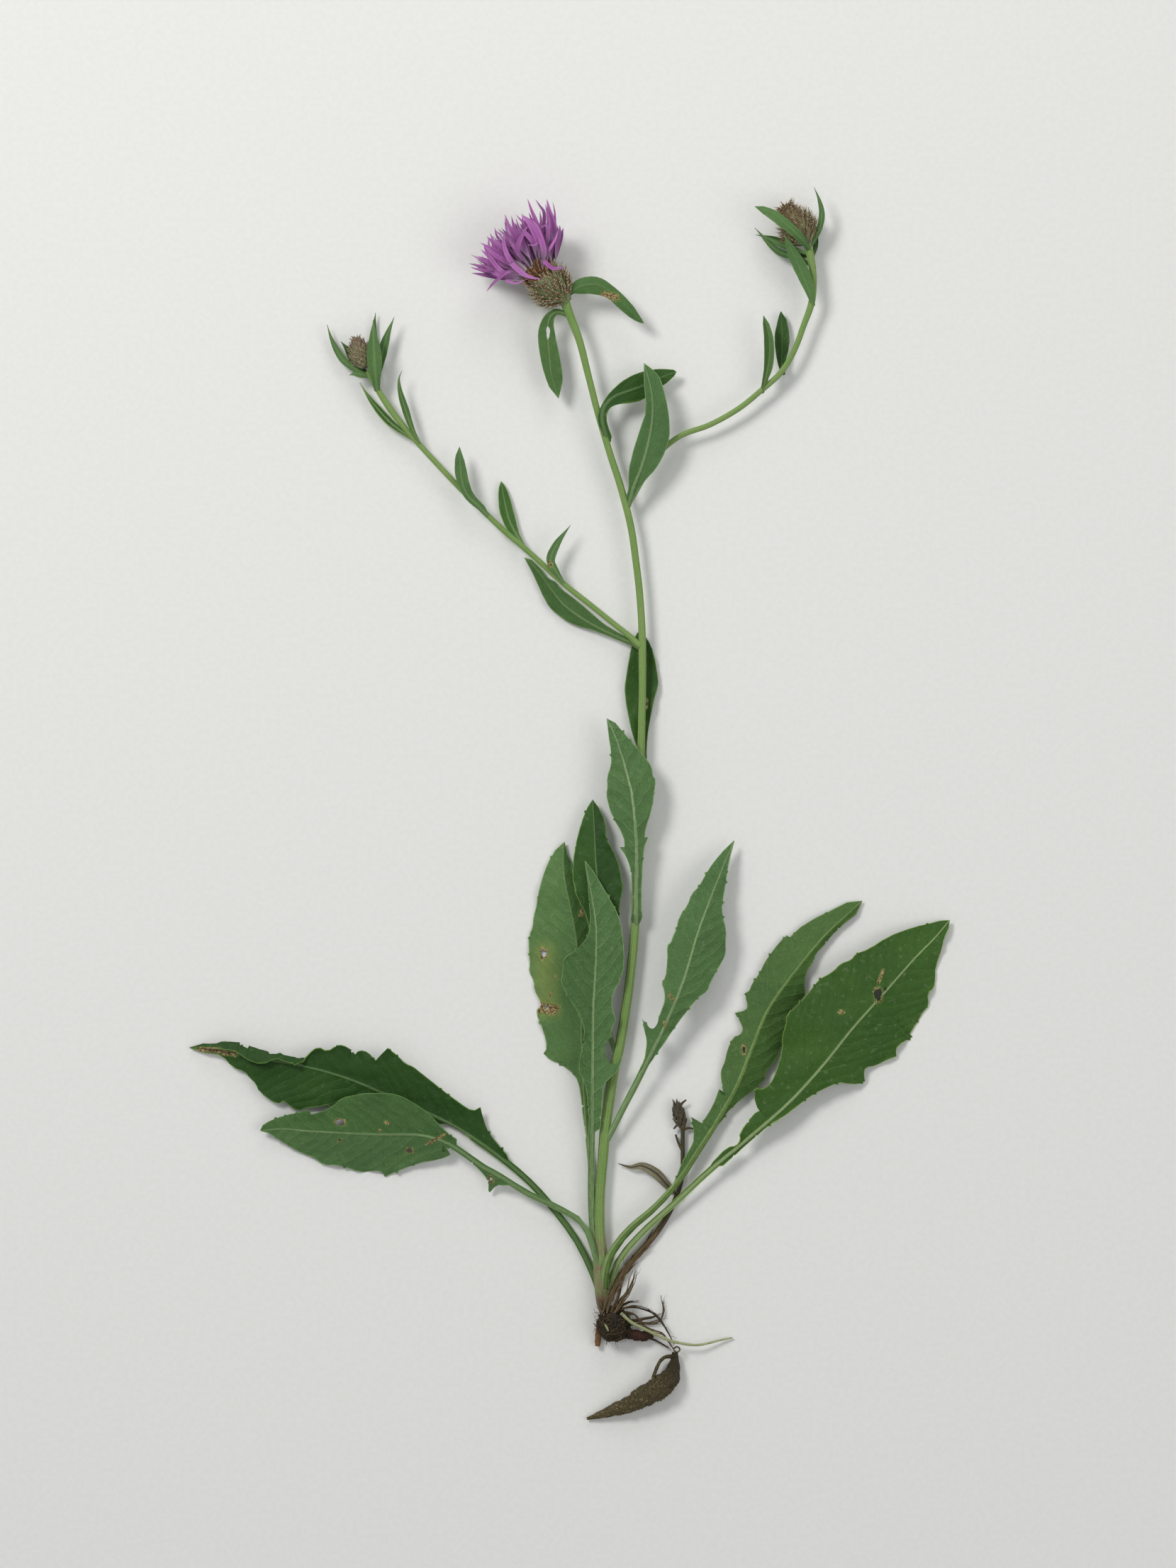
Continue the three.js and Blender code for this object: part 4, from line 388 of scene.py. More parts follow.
            [1146, 434, 8.4], [1142, 420, 10], [1135, 402, 11.2], [1126, 382, 12.2], [1115, 358, 13],
            [1105, 337, 13.4],
        ],
        "sides": [{"tilt": -0.05, "edge": [[1137, 420], [1111, 370], [1107, 352]]}, {"tilt": 0, "edge": [
            [1147, 408], [1140, 385], [1132, 370], [1111, 342],
        ]}],
    },
}

# Narrow leaves by their midrib and greatest width.
NARROW_LEAVES = {
    "leaf_left_a": (9, [[586, 623, 5.2], [565, 608, 5], [550, 596, 4.8], [525, 567, 4.4], [508, 541, 4]]),
    "leaf_left_b": (8, [
        [592, 626, 6.4], [582, 606, 7], [573, 580, 7.4], [565, 552, 7.6], [564, 535, 7.6],
        [568, 525, 7.4],
    ]),
    "leaf_left_e": (10, [
        [796, 825, 6.6], [785, 808, 7.8], [777, 792, 8.2], [785, 770, 8.4], [805, 742, 8],
    ]),
    "left_bud_leaf_1": (17, [[533, 553, 6.6], [531, 530, 9.4], [529, 495, 11.2], [528, 455, 11]]),
    "left_bud_leaf_2": (11, [[529, 538, 4.8], [528, 508, 1.8], [527, 475, 1.6], [530, 442, 2.4]]),
    "left_bud_leaf_3": (11, [[531, 546, 5.4], [537, 512, 6], [547, 475, 6.4], [557, 449, 6.6]]),
    "left_bud_leaf_4": (8, [
        [522, 533, 5.8], [505, 524, 4.6], [485, 509, 4.2], [469, 481, 3.8], [462, 459, 3.6],
    ]),
    "left_bud_leaf_5": (12, [
        [517, 528, 4.4], [509, 519, 1.8], [499, 506, 1], [491, 494, 1], [481, 482, 1.4],
    ]),
    "left_bud_leaf_6": (8, [[521, 533, 6.2], [510, 530, 7.2], [502, 529, 7.4], [494, 531, 7.2]]),
    "right_bud_leaf_3": (7, [
        [1142, 352, 8.6], [1154, 328, 9], [1158, 305, 9.4], [1154, 285, 9.8], [1147, 268, 10],
    ]),
    "right_bud_leaf_4": (7, [[1146, 364, 6.8], [1150, 348, 3.4], [1148, 325, 2.2], [1140, 293, 1.8]]),
    "right_bud_leaf_5": (8, [
        [1142, 377, 7.2], [1128, 366, 6.4], [1110, 362, 6], [1095, 355, 5.8], [1064, 323, 5.4],
    ]),
    "right_bud_leaf_6": (7, [[1140, 362, 8], [1124, 356, 8.6], [1100, 348, 8.8], [1075, 335, 8.6]]),
    "right_bud_leaf_7": (9, [[1141, 366, 6.8], [1122, 356, 4], [1098, 341, 3.6], [1066, 332, 3.4]]),
}

# Roots and last year's stalk. Each row is [x, y, height, radius].
FIBRES = [
    [
        [872, 1846, 7, 0.9], [890, 1840, 7.4, 0.6], [910, 1845, 6.4, 0.5], [925, 1855, 5.2, 0.45],
        [940, 1875, 3.6, 0.45], [951, 1896, 2.6, 0.4],
    ],
    [
        [874, 1850, 5, 0.8], [892, 1852, 5.2, 0.6], [910, 1870, 4.4, 0.5], [935, 1881, 3.2, 0.5],
        [953, 1908, 2.4, 0.45],
    ],
    [[872, 1845, 3.6, 0.9], [885, 1837, 3, 0.55], [901, 1834, 2.4, 0.4]],
    [[876, 1860, 3, 0.9], [900, 1861, 2.4, 0.6], [920, 1858, 2, 0.5], [934, 1852, 1.8, 0.4]],
    [
        [876, 1868, 2, 0.8], [905, 1866, 1.3, 0.6], [930, 1863, 1, 0.5], [936, 1850, 1, 0.45],
        [932, 1828, 1.4, 0.35],
    ],
    [[880, 1872, 2.8, 0.9], [915, 1886, 1.6, 0.7], [930, 1893, 1.4, 0.6], [944, 1902, 1.6, 0.5]],
    [[856, 1850, 7, 0.9], [850, 1842, 8.6, 0.5], [846, 1828, 9, 0.35]],
    [[848, 1862, 5, 1], [843, 1872, 4.4, 0.6], [838, 1866, 4.2, 0.35]],
]
FRAYED = [
    [[866, 1850, 8.6, 0.9], [877, 1832, 8.8, 0.6], [889, 1812, 8.4, 0.45], [897, 1790, 8, 0.35]],
    [[862, 1848, 9, 0.9], [871, 1828, 9.6, 0.5], [877, 1806, 9.4, 0.35]],
]
CROWN_STRIPS = [
    [
        [850, 1850, 9.2, 0.6], [856, 1832, 9.9, 0.55], [866, 1812, 10.1, 0.5], [877, 1793, 10, 0.4],
        [888, 1776, 9.6, 0.3],
    ],
    [[856, 1850, 9.6, 0.5], [863, 1828, 10, 0.5], [874, 1806, 10, 0.4], [884, 1788, 9.6, 0.3]],
]
GRAIN = [[853, 1864, 11.1], [856, 1869, 11.3], [858, 1874, 11.1]]
OLD_BRACTS = [
    [[964, 1600, 1.8, 0.5], [958, 1585, 2.4, 0.5], [950, 1592, 2.6, 0.35]],
    [[963, 1596, 1.8, 0.5], [970, 1591, 2, 0.5], [978, 1592, 2.2, 0.35]],
    [[962, 1622, 1.6, 0.6], [957, 1612, 2, 0.5], [953, 1600, 2.2, 0.4]],
    [[958, 1560, 2.6, 0.8], [964, 1554, 2.8, 0.4], [968, 1551, 2.8, 0.3]],
]
ROOT_STUB = [[852, 1856, 4, 1.5], [846, 1870, 3.2, 1.3], [844, 1884, 2.4, 1.3], [843, 1898, 2, 1]]
YOUNG_RHIZOME = [[884, 1880, 4.4, 1.8], [895, 1882, 3.6, 2.1], [908, 1884, 2.8, 2], [921, 1881, 2.6, 1.3]]
WHITE_ROOT_ROUTE = [
    [876, 1849, 10.8, 0.8], [890, 1862, 9.4, 0.8], [905, 1870, 8.4, 0.75],
    [925, 1880, 7.4, 0.75], [945, 1889, 6.2, 0.7], [965, 1894, 5, 0.7], [985, 1896, 3.8, 0.65],
    [1020, 1889, 1.6, 0.55], [1033, 1887, 0.9, 0.45],
]
DEAD_RHIZOME = [
    [952, 1907, 2.4, 1.6], [951, 1922, 3.4, 3], [946, 1940, 4.2, 4], [930, 1956, 4.4, 4.4],
    [908, 1968, 4, 4.1], [888, 1980, 3.2, 3.2], [868, 1987, 2.6, 2.5], [850, 1994, 1.9, 1.6],
    [828, 2001, 1.2, 0.5],
]
DEAD_STRIP = [[951, 1912, 4, 0.9], [936, 1914, 4, 0.7], [924, 1934, 3.8, 0.7], [921, 1952, 3.8, 1]]
DEAD_SPIKE = [[946, 1948, 2.4, 1.2], [934, 1966, 1.8, 0.8], [918, 1981, 1.2, 0.35]]
OLD_STALK = [
    [860, 1834, 2.8, 1.2], [868, 1812, 1.6, 1.2], [880, 1795, 1.4, 1.15],
    [895, 1775, 1.3, 1.1], [925, 1740, 1.3, 1.05], [944, 1710, 1.3, 1], [955, 1685, 1.3, 0.9],
    [962, 1660, 1.3, 0.8], [963, 1620, 1.6, 0.75], [963, 1588, 1.9, 0.8],
]
OLD_HEAD = [[963, 1592, 2, 0.9], [962, 1580, 2.4, 1.6], [957, 1566, 2.6, 2.1], [954, 1556, 2.8, 0.9]]
# The dry leaf's midrib as [x, y, height].
DRY_LEAF = [
    [960, 1690, 1.6], [940, 1670, 2.4], [925, 1654, 2.8], [905, 1644, 2.8], [890, 1646, 2.4],
    [872, 1641, 2],
]

# Bodies of the flower base and the buds, in millimetres apart from their places. Their scales stand
# between the first and last share of the length. Fringe is the length of a scale's teeth, tooth
# their width, fan their spread in radians and flare how far they stand out.
HEAD = {"base": [801, 430, 12.2], "mouth": [753, 384, 11.8], "radius": 7.0, "blunt": 1.05}
HEAD_SCALES = {
    "first": -0.02, "last": 0.84, "width": 1.8, "length": 3.2, "lift": 1.8,
    "fringe": 1.7, "teeth": 9, "fan": 2.8, "flare": 1.5, "tooth": 0.4,
}
LEFT_BUD = {"base": [517, 522, 6.5], "mouth": [502, 477, 6.5], "radius": 3.9, "blunt": 0.8}
LEFT_BUD_SCALES = {
    "count": 84, "first": 0.02, "last": 0.86, "width": 1.6, "length": 2.3, "lift": 0.8,
    "fringe": 1.0, "teeth": 7, "fan": 2.4, "flare": 1.0, "tooth": 0.24,
}
RIGHT_BUD = {"base": [1138, 348, 8.2], "mouth": [1108, 297, 8.2], "radius": 5.9, "blunt": 0.8}
RIGHT_BUD_SCALES = {
    "count": 168, "first": 0.02, "last": 0.94, "width": 1.8, "length": 3.1, "lift": 1.7,
    "fringe": 1.7, "teeth": 8, "fan": 2.5, "flare": 1.2, "tooth": 0.34,
}
# The florets: their length and lobes in millimetres, the line they fan out round, and their rings
# with the half widths at the root and the lean in radians to the left, to the right and upwards.
FLORET_LENGTH = 32.0
LOBE_WIDTH = 1.75
LOBES = 5
FAN_ROOT = [766, 401, 11.8]
FAN_TIP = [741, 342, 12.4]
FAN_RINGS = [
    {"count": 13, "root": [5.4, 4.4], "left": 0.82, "right": 0.42, "up": 0.34, "reach": 1.0},
    {"count": 7, "root": [3.2, 2.2], "left": 0.42, "right": 0.28, "up": 0.18, "reach": 0.94},
]
# Each row is a lobe's width in photograph pixels, its darkness, partly its own tone and partly painted
# shade, then its places, root to tip.
FRONT_LOBES = [
    [6.0, 0.25, [[760, 330], [751, 307], [745, 290]]],
    [5.0, 0.45, [[768, 308], [763, 301], [756, 291]]],
    [8.0, 0.15, [[782, 327], [776, 308], [772, 290]]],
    [3.5, 0.35, [[783, 326], [783, 308], [780, 293]]],
    [6.0, 0.3, [[774, 339], [774, 318], [770, 297]]],
    [4.0, 0.0, [[775, 362], [785, 343], [788, 331]]],
    [5.0, 0.3, [[745, 327], [738, 322], [729, 312]]],
    [9.0, 0.1, [[759, 348], [747, 324], [736, 311]]],
    [8.5, 0.0, [[768, 362], [764, 346], [756, 327], [741, 314]]],
    [7.0, 0.2, [[752, 350], [743, 339], [731, 331], [723, 319]]],
    [7.0, 0.3, [[731, 361], [738, 340], [747, 326]]],
    [5.5, 0.4, [[731, 365], [718, 339], [713, 320]]],
    [7.5, 0.2, [[722, 376], [712, 353], [713, 334]]],
    [7.0, 0.3, [[708, 378], [702, 357], [707, 340]]],
    [4.5, 0.3, [[704, 343], [701, 337], [699, 327]]],
    [6.0, 0.4, [[700, 365], [696, 343], [692, 335]]],
    [6.0, 0.2, [[706, 373], [692, 355], [690, 339]]],
    [5.5, 0.35, [[698, 373], [686, 357], [683, 347]]],
    [7.0, 0.15, [[709, 389], [691, 368], [679, 356]]],
    [5.5, 0.3, [[709, 397], [687, 380], [681, 364]]],
    [6.0, 0.25, [[713, 395], [698, 388], [685, 374]]],
    [5.0, 0.4, [[720, 390], [698, 405], [687, 416]]],
    [3.0, 0.0, [[714, 402], [729, 408], [745, 402]]],
    [7.5, 0.15, [[722, 378], [738, 394], [750, 400], [764, 402]]],
    [6.0, 0.1, [[767, 376], [779, 386], [798, 384]]],
    [3.5, 0.3, [[761, 331], [770, 327], [774, 320]]],
    [4.0, 0.2, [[763, 349], [754, 355], [745, 354]]],
]
# The front lobes lie highest over the middle of the tuft and lower to its sides.
FRONT_LEVEL = 26.5
FRONT_MIDDLE = 752
FRONT_FALL = 0.0028
# Each row is a pale floret tube's places, from its root to its tip, at about the tube level.
TUBE_LEVEL = 16.4
PALE_TUBES = [
    [[758, 382], [752, 368], [748, 352]], [[764, 380], [762, 364], [761, 350]],
    [[770, 378], [774, 364], [782, 352]], [[750, 384], [740, 370], [733, 360]],
    [[744, 386], [731, 376], [722, 370]], [[768, 381], [768, 366], [770, 352]],
    [[754, 383], [745, 366], [739, 354]], [[742, 388], [727, 382], [715, 380]],
]
# Each row is a white style's root and its tip.
STYLE_LEVEL = 19.5
STYLE_TIPS = [
    [723, 333, 719, 322], [712, 344, 706, 332], [738, 346, 732, 335], [727, 345, 722, 336],
    [764, 336, 762, 325], [751, 338, 747, 329],
]
# Each row is a papery scale's places at the mouth of the flower base, from its root to its tip.
PAPERY_BRACTS = [
    [[762, 404, 17.6], [754, 393, 18.7], [743, 383, 19.3]],
    [[766, 402, 17.9], [758, 389, 19], [751, 378, 19.5]],
    [[769, 400, 18.2], [763, 386, 19.3], [760, 370, 19.8]],
    [[773, 398, 17.9], [769, 385, 19], [767, 371, 19.4]],
    [[777, 396, 17.4], [776, 384, 18.4], [775, 372, 18.8]],
    [[757, 405, 17.2], [747, 397, 18], [738, 391, 18.2]],
    [[752, 408, 16.2], [744, 403, 17], [737, 398, 17.2]],
    [[765, 396, 18.8], [757, 384, 19.6], [755, 373, 20]],
    [[771, 394, 18.6], [768, 380, 19.5], [771, 368, 19.8]],
]
# Leaves whose stalk starts below this line of the photograph have finely toothed margins.
TOOTHED_BELOW = 1100
# Margins: the spacing and size of their teeth in millimetres, the bend in radians from which a corner
# stays sharp, and the share of its sides that a blunter corner loses.
TOOTH_SPACING = 6.5
TOOTH_SIZE = 0.6
SHARP_BEND = 1.25
CORNER_CUT = 0.27
# Blades in millimetres: the size and height of their swells and of the waves near the margin, how
# far these reach in, and the least step between rows of faces. The least step between lanes of
# faces is a share of the blade's half width.
BROAD_SWELL = (14.0, 0.32)
SMALL_SWELL = (6.0, 0.12)
EDGE_WAVE = (7.0, 0.5)
EDGE_REACH = 4.0
LEAST_STEP = 0.22
LEAST_LANE = 0.012
# The leaves with finer, steeper veins have names that start with one of these.
UPPER_LEAVES = (
    "leaf_upper", "leaf_head", "leaf_left", "leaf_right", "leaf_branch", "left_bud", "right_bud",
)
# The narrow leaves that show their upper sides.
UPPER_SIDE_UP = (
    "leaf_left_a", "left_bud_leaf_2", "left_bud_leaf_5", "right_bud_leaf_4", "right_bud_leaf_7",
)

# Last year's seed head, the core of the root ball and a ring of bark on the dead rhizome.
OLD_CUP = {"base": [963, 1594, 2.2], "mouth": [953, 1552, 2.9], "radius": 2.2, "blunt": 0.9}
OLD_SCALES = {
    "count": 26, "first": 0.05, "last": 0.8, "width": 1.9, "length": 3.2, "lift": 0.35,
    "fringe": 0.5, "teeth": 4, "fan": 1.6, "flare": 0.4, "tooth": 0.22,
}
ROOT_BALL = {"centre": [866, 1866, 5.4], "reach": [6.2, 6.4, 5.8]}
ROOT_RING = [
    [950, 1901, 4.4, 0.3], [955, 1898, 4.6, 0.3], [959, 1902, 4.4, 0.3], [955, 1906, 4.6, 0.3],
    [950, 1903, 4.8, 0.3],
]

# How much lighter or darker each leaf is than its look: its two halves, partly the leaf's own tone and
# partly painted shade on a half that lies in shadow, its warmth, its pale rib.
LEAF_TINTS = {
    "leaf_far_left_back": (-0.4, -0.28, 0.0, 0.8), "leaf_far_left_front": (-0.3, 0.0, 0.0, 0.8),
    "leaf_basal_left_back": (0.08, -0.4, 0.1, 0.7), "leaf_stem_left": (0.0, -0.35, 0.0, 0.7),
    "leaf_basal_left_front": (0.05, -0.15, 0.0, 1.0), "leaf_stem_right": (0.05, 0.0, 0.0, 0.9),
    "leaf_basal_right_back": (-0.15, -0.45, 0.2, 1.0), "leaf_basal_right_front": (0.02, 0.25, 0.35, 1.1),
    "leaf_mid_front": (0.05, 0.05, 0.0, 1.0), "leaf_mid_back": (0.0, -0.2, 0.1, 0.5),
    "leaf_branch_axil": (-0.25, -0.1, 0.1, 0.6), "leaf_upper_dark": (-0.1, -0.1, 0.0, 0.5),
    "leaf_upper_pale": (-0.08, 0.0, 0.0, 0.7), "leaf_head_right": (-0.1, -0.15, 0.1, 0.15),
    "leaf_head_left": (-0.12, -0.1, 0.1, 0.5), "leaf_left_c": (-0.02, 0.0, 0.1, 0.4),
    "leaf_left_d": (0.35, 0.3, 0.2, 0.4), "leaf_right_a": (-0.4, -0.1, 0.2, 0.4),
    "leaf_right_b": (-0.25, -0.25, 0.1, 0.3), "leaf_left_a": (0.0, 0.0, 0.2, 0.6),
    "leaf_left_b": (-0.2, 0.0, 0.2, 0.4), "right_bud_leaf_1": (0.1, 0.1, 0.12, 0.12),
    "right_bud_leaf_2": (0.12, 0.12, 0.12, 0.12),
}
# The same for the leaves that the table leaves out.
PLAIN_TINT = (-0.02, 0.0, 0.1, 0.25)

# Marks on the leaves. Each row is [kind, x, y, x, y, half width], all in photograph pixels.
MARKS = {
    "leaf_head_right": [["brown", 852, 420, 868, 423, 6]],
    "leaf_upper_dark": [
        ["turned", 858, 588, 866, 581, 4], ["turned", 866, 581, 880, 575, 4],
        ["turned", 880, 575, 900, 570, 4],
    ],
    "leaf_left_e": [["brown", 776, 797, 776, 799, 4]],
    "leaf_basal_left_back": [
        ["brown", 764, 1421, 782, 1424, 9], ["brown", 784, 1377, 784, 1379, 2.5],
        ["brown", 777, 1401, 777, 1403, 2.5], ["brown", 820, 1287, 820, 1289, 4],
        ["brown", 767, 1341, 767, 1349, 6], ["turned", 768, 1345, 772, 1420, 18],
    ],
    "leaf_basal_left_front": [["brown", 804, 1306, 804, 1308, 2], ["brown", 872, 1392, 874, 1394, 2]],
    "leaf_stem_right": [["brown", 944, 1402, 948, 1408, 3], ["brown", 936, 1440, 938, 1446, 2.5]],
    "leaf_basal_right_back": [["brown", 1049, 1476, 1049, 1484, 4]],
    "leaf_basal_right_front": [
        ["brown", 1237, 1396, 1237, 1408, 6], ["brown", 1238, 1384, 1244, 1368, 2.5],
        ["brown", 1184, 1426, 1187, 1426, 3.5],
    ],
    "leaf_far_left_back": [["brown", 283, 1481, 310, 1481, 4], ["brown", 315, 1484, 333, 1486, 4]],
    "leaf_far_left_front": [
        ["brown", 477, 1581, 485, 1582, 5], ["brown", 480, 1606, 480, 1608, 2.5],
        ["brown", 576, 1621, 580, 1621, 4.5], ["brown", 487, 1650, 496, 1656, 3],
        ["brown", 602, 1612, 628, 1598, 2.2], ["brown", 693, 1660, 694, 1664, 4],
        ["brown", 545, 1580, 549, 1582, 2.5], ["brown", 536, 1592, 538, 1593, 1.8],
    ],
    "leaf_mid_back": [["brown", 912, 987, 912, 999, 2.5]],
}
# Holes from this size in photograph pixels up are smooth notches beside a lobe.
NOTCH_SIZE = 20
# Notches and small insect holes as [x, y, width, height].
FINE_HOLES = {
    "leaf_stem_right": [[919.5, 1431, 18, 37], [911, 1430, 12, 20]],
    "leaf_basal_left_front": [[865.5, 1480, 23, 39]],
    "leaf_basal_right_back": [[1049, 1480, 3.5, 9]],
    "leaf_far_left_front": [[480, 1607, 3.5, 4], [693, 1662, 5, 5]],
    "leaf_basal_right_front": [[1247, 1394, 4.5, 5]],
    "leaf_mid_back": [[912, 988, 3, 3.5], [912, 998, 3, 3.5]],
    "leaf_basal_left_back": [[771, 1421, 6, 5]],
}


# Geometry helpers. All of them work in millimetres.


def photo(rows):
    """Rows of [x pixel, y pixel, height, ...] with the first two turned into millimetres."""
    rows = np.array(rows, float)
    rows[:, 0] = (rows[:, 0] - PHOTO_MIDDLE[0]) * SCALE
    rows[:, 1] = (PHOTO_MIDDLE[1] - rows[:, 1]) * SCALE
    return rows


def unit(v):
    """The same ways with a length of 1."""
    return v / np.maximum(np.linalg.norm(v, axis=-1, keepdims=True), 1e-9)


def mix(a, b, share):
    """The place that lies that share of the way from a to b."""
    return a + (b - a) * share


def smooth(low, high, value):
    """A soft step from 0 where the value is low to 1 where it is high."""
    share = np.clip((np.asarray(value, float) - low) / (high - low), 0, 1)
    return share * share * (3 - 2 * share)


def ripple(points, size, seed):
    """A smooth random height between about -1 and 1 at each point, with hills of that size."""
    draw = np.random.RandomState(seed)
    total = np.zeros(len(points))
    for _ in range(7):
        way = unit(draw.normal(size=3))
        phase = draw.uniform(0, 2 * math.pi)
        stretch = draw.uniform(0.7, 1.6)
        total += np.sin(points @ way * 2 * math.pi * stretch / size + phase)
    return total / 3.5


class Route:
    """A smooth centripetal curve through rows of points, measured along its own length."""

    STEPS = 400

    def __init__(self, rows):
        self.rows = np.array(rows, float)
        count = len(self.rows)
        self.params = np.linspace(0, count - 1, self.STEPS + 1)
        xyz = self.rows[:, :3]
        ends = np.vstack([2 * xyz[0] - xyz[1], xyz, 2 * xyz[-1] - xyz[-2]])
        index = np.minimum(self.params.astype(int), count - 2)
        w = (self.params - index)[:, None]
        a, b, c, d = (ends[index + k] for k in range(4))
        gap = [
            np.maximum(np.sqrt(np.linalg.norm(q - p, axis=1)), 1e-4)[:, None]
            for p, q in ((a, b), (b, c), (c, d))
        ]
        leave = ((b - a) / gap[0] - (c - a) / (gap[0] + gap[1]) + (c - b) / gap[1]) * gap[1]
        reach = ((c - b) / gap[1] - (d - b) / (gap[1] + gap[2]) + (d - c) / gap[2]) * gap[1]
        self.samples = (
            b + leave * w + (3 * (c - b) - 2 * leave - reach) * w**2 + (2 * (b - c) + leave + reach) * w**3
        )
        steps = np.linalg.norm(np.diff(self.samples, axis=0), axis=1)
        self.along = np.concatenate([[0], np.cumsum(steps)])
        self.length = self.along[-1]

    def at(self, share):
        """The place at that share of the length."""
        length = np.asarray(share, float) * self.length
        return np.stack([np.interp(length, self.along, self.samples[:, k]) for k in range(3)], -1)

    def tangent(self, share):
        share = np.asarray(share, float)
        return unit(self.at(np.minimum(share + 0.006, 1)) - self.at(np.maximum(share - 0.006, 0)))

    def column(self, share, k):
        """The rows' number k, such as a radius, at that share of the length."""
        param = np.interp(np.asarray(share, float) * self.length, self.along, self.params)
        return np.interp(param, np.arange(len(self.rows)), self.rows[:, k])

    def nearest(self, xy, floor=0.0):
        """The share of the length nearest to a place seen from above, past the floor."""
        share = np.arange(1, 240) / 240
        share = share[share > floor] if (share > floor).any() else share[-1:]
        away = np.linalg.norm(self.at(share)[:, :2] - np.asarray(xy)[:2], axis=1)
        return float(share[int(np.argmin(away))])


def grid_faces(rows, columns, wrap=False):
    """Quads between the rows of a grid of points, as an array."""
    r = np.arange(rows - 1)[:, None]
    k = np.arange(columns if wrap else columns - 1)[None, :]
    a = r * columns + k
    b = r * columns + (k + 1) % columns
    return np.stack([a, a + columns, b + columns, b], -1).reshape(-1, 4)


class Parts:
    """Collects the points and faces of one piece, then makes it an object on the frame."""

    def __init__(self):
        self.points = []
        self.faces = []
        self.finish = []
        self.place = []
        self.tone = []
        self.look = []
        self.count = 0

    def add(self, points, faces, finish=0, place=0.0, tone=0.0, look=(0.0, 0.0, 1.0)):
        """Adds a form. Finish numbers its material, and place, tone and look guide that material."""
        points = np.asarray(points, float).reshape(-1, 3)
        self.points.append(points)
        for face in faces:
            self.faces.append([int(i) + self.count for i in face])
        self.finish.extend(np.broadcast_to(finish, len(faces)).tolist())
        self.place.append(np.broadcast_to(place, points.shape))
        self.tone.append(np.broadcast_to(tone, points.shape))
        self.look.append(np.broadcast_to(look, points.shape))
        self.count += len(points)

    def make(self, node, materials, sharp):
        """Makes the piece that stands for a node. Edges bent by more than sharp degrees stay hard."""
        points = np.vstack(self.points)
        points[:, 2] = np.maximum(points[:, 2], LOWEST)
        mesh = bpy.data.meshes.new(node + "_detailed")
        mesh.from_pydata((points * MM).tolist(), [], self.faces)
        for title, rows in (("place", self.place), ("tone", self.tone), ("look", self.look)):
            layer = mesh.attributes.new(title, "FLOAT_VECTOR", "POINT")
            layer.data.foreach_set("vector", np.vstack(rows).astype(np.float32).ravel())
        for material in materials:
            mesh.materials.append(material)
        mesh.polygons.foreach_set("material_index", self.finish)
        mesh.polygons.foreach_set("use_smooth", [True] * len(self.faces))
        mesh.update()
        mesh.set_sharp_from_angle(angle=math.radians(sharp))
        piece = bpy.data.objects.new(node + "_detailed", mesh)
        bpy.context.scene.collection.objects.link(piece)
        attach(piece, "root")
        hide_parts(node)


def sweep(parts, rows, sides, step, swell=None, finish=0, tone=0.0, wander=0.0, seed=0):
    """Rings round a route of [x, y, height, radius] rows in pixels, closed at both ends."""
    route = Route(photo(rows))
    count = max(3, int(round(route.length / step)))
    share = np.linspace(0, 1, count + 1)
    centre = route.at(share)
    if wander:
        for k in range(3):
            sway = ripple(centre, 9.0, seed + k) * wander * (0.5 if k == 2 else 1.0)
            centre[:, k] += sway * np.sin(np.pi * np.clip(share, 0, 1)) ** 0.5
    tangent = route.tangent(share)
    radius = route.column(share, 3)
    side = unit(np.cross(tangent, UP))
    top = np.cross(side, tangent)
    angle = np.arange(sides) * 2 * math.pi / sides
    reach = radius[:, None] * np.ones(sides)[None, :]
    if swell is not None:
        reach = reach * swell(share[:, None] * route.length, angle[None, :])
    points = (
        centre[:, None]
        + side[:, None] * (np.cos(angle)[None, :] * reach)[..., None]
        + top[:, None] * (np.sin(angle)[None, :] * reach)[..., None]
    )
    place = np.stack(
        [
            np.broadcast_to(share[:, None] * route.length, reach.shape),
            angle[None, :] * radius[:, None],
            np.broadcast_to(share[:, None], reach.shape),
        ],
        -1,
    ).reshape(-1, 3)
    faces = grid_faces(count + 1, sides, wrap=True).tolist()
    faces.append(list(range(sides))[::-1])
    faces.append([count * sides + k for k in range(sides)])
    tones = tone(share, angle) if callable(tone) else tone
    parts.add(points, faces, finish, place, tones)
    return route


def strap(parts, line, width, facing, cup, twist, finish, shade=0.0, blunt=0.8):
    """A narrow petal or bract along a line of points: three points across, pointed at its tip."""
    route = Route(line)
    count = max(4, int(round(route.length / 1.3)))
    share = np.linspace(0, 1, count + 1)
    centre, tangent = route.at(share), route.tangent(share)
    turn = (twist * share)[:, None]
    flat = unit(np.cross(tangent, facing))
    normal = unit(np.cross(flat, tangent))
    across = flat * np.cos(turn) + normal * np.sin(turn)
    normal = np.cross(across, tangent)
    half = width / 2 * np.sin(np.pi * (0.04 + 0.96 * share) ** 0.95).clip(0.01) ** blunt
    rise = normal * (cup * half)[:, None]
    points = np.stack(
        [centre + across * half[:, None] + rise, centre, centre - across * half[:, None] + rise], 1
    )
    place = np.stack(
        [
            np.repeat(share[:, None], 3, 1),
            np.stack([half, half * 0, -half], 1),
            np.full((count + 1, 3), route.length),
        ],
        -1,
    ).reshape(-1, 3)
    tone = np.stack(
        [
            np.repeat(share[:, None], 3, 1),
            np.full((count + 1, 3), shade),
            np.tile([1.0, 0.0, 1.0], (count + 1, 1)),
        ],
        -1,
    ).reshape(-1, 3)
    parts.add(points, grid_faces(count + 1, 3), finish, place, tone)


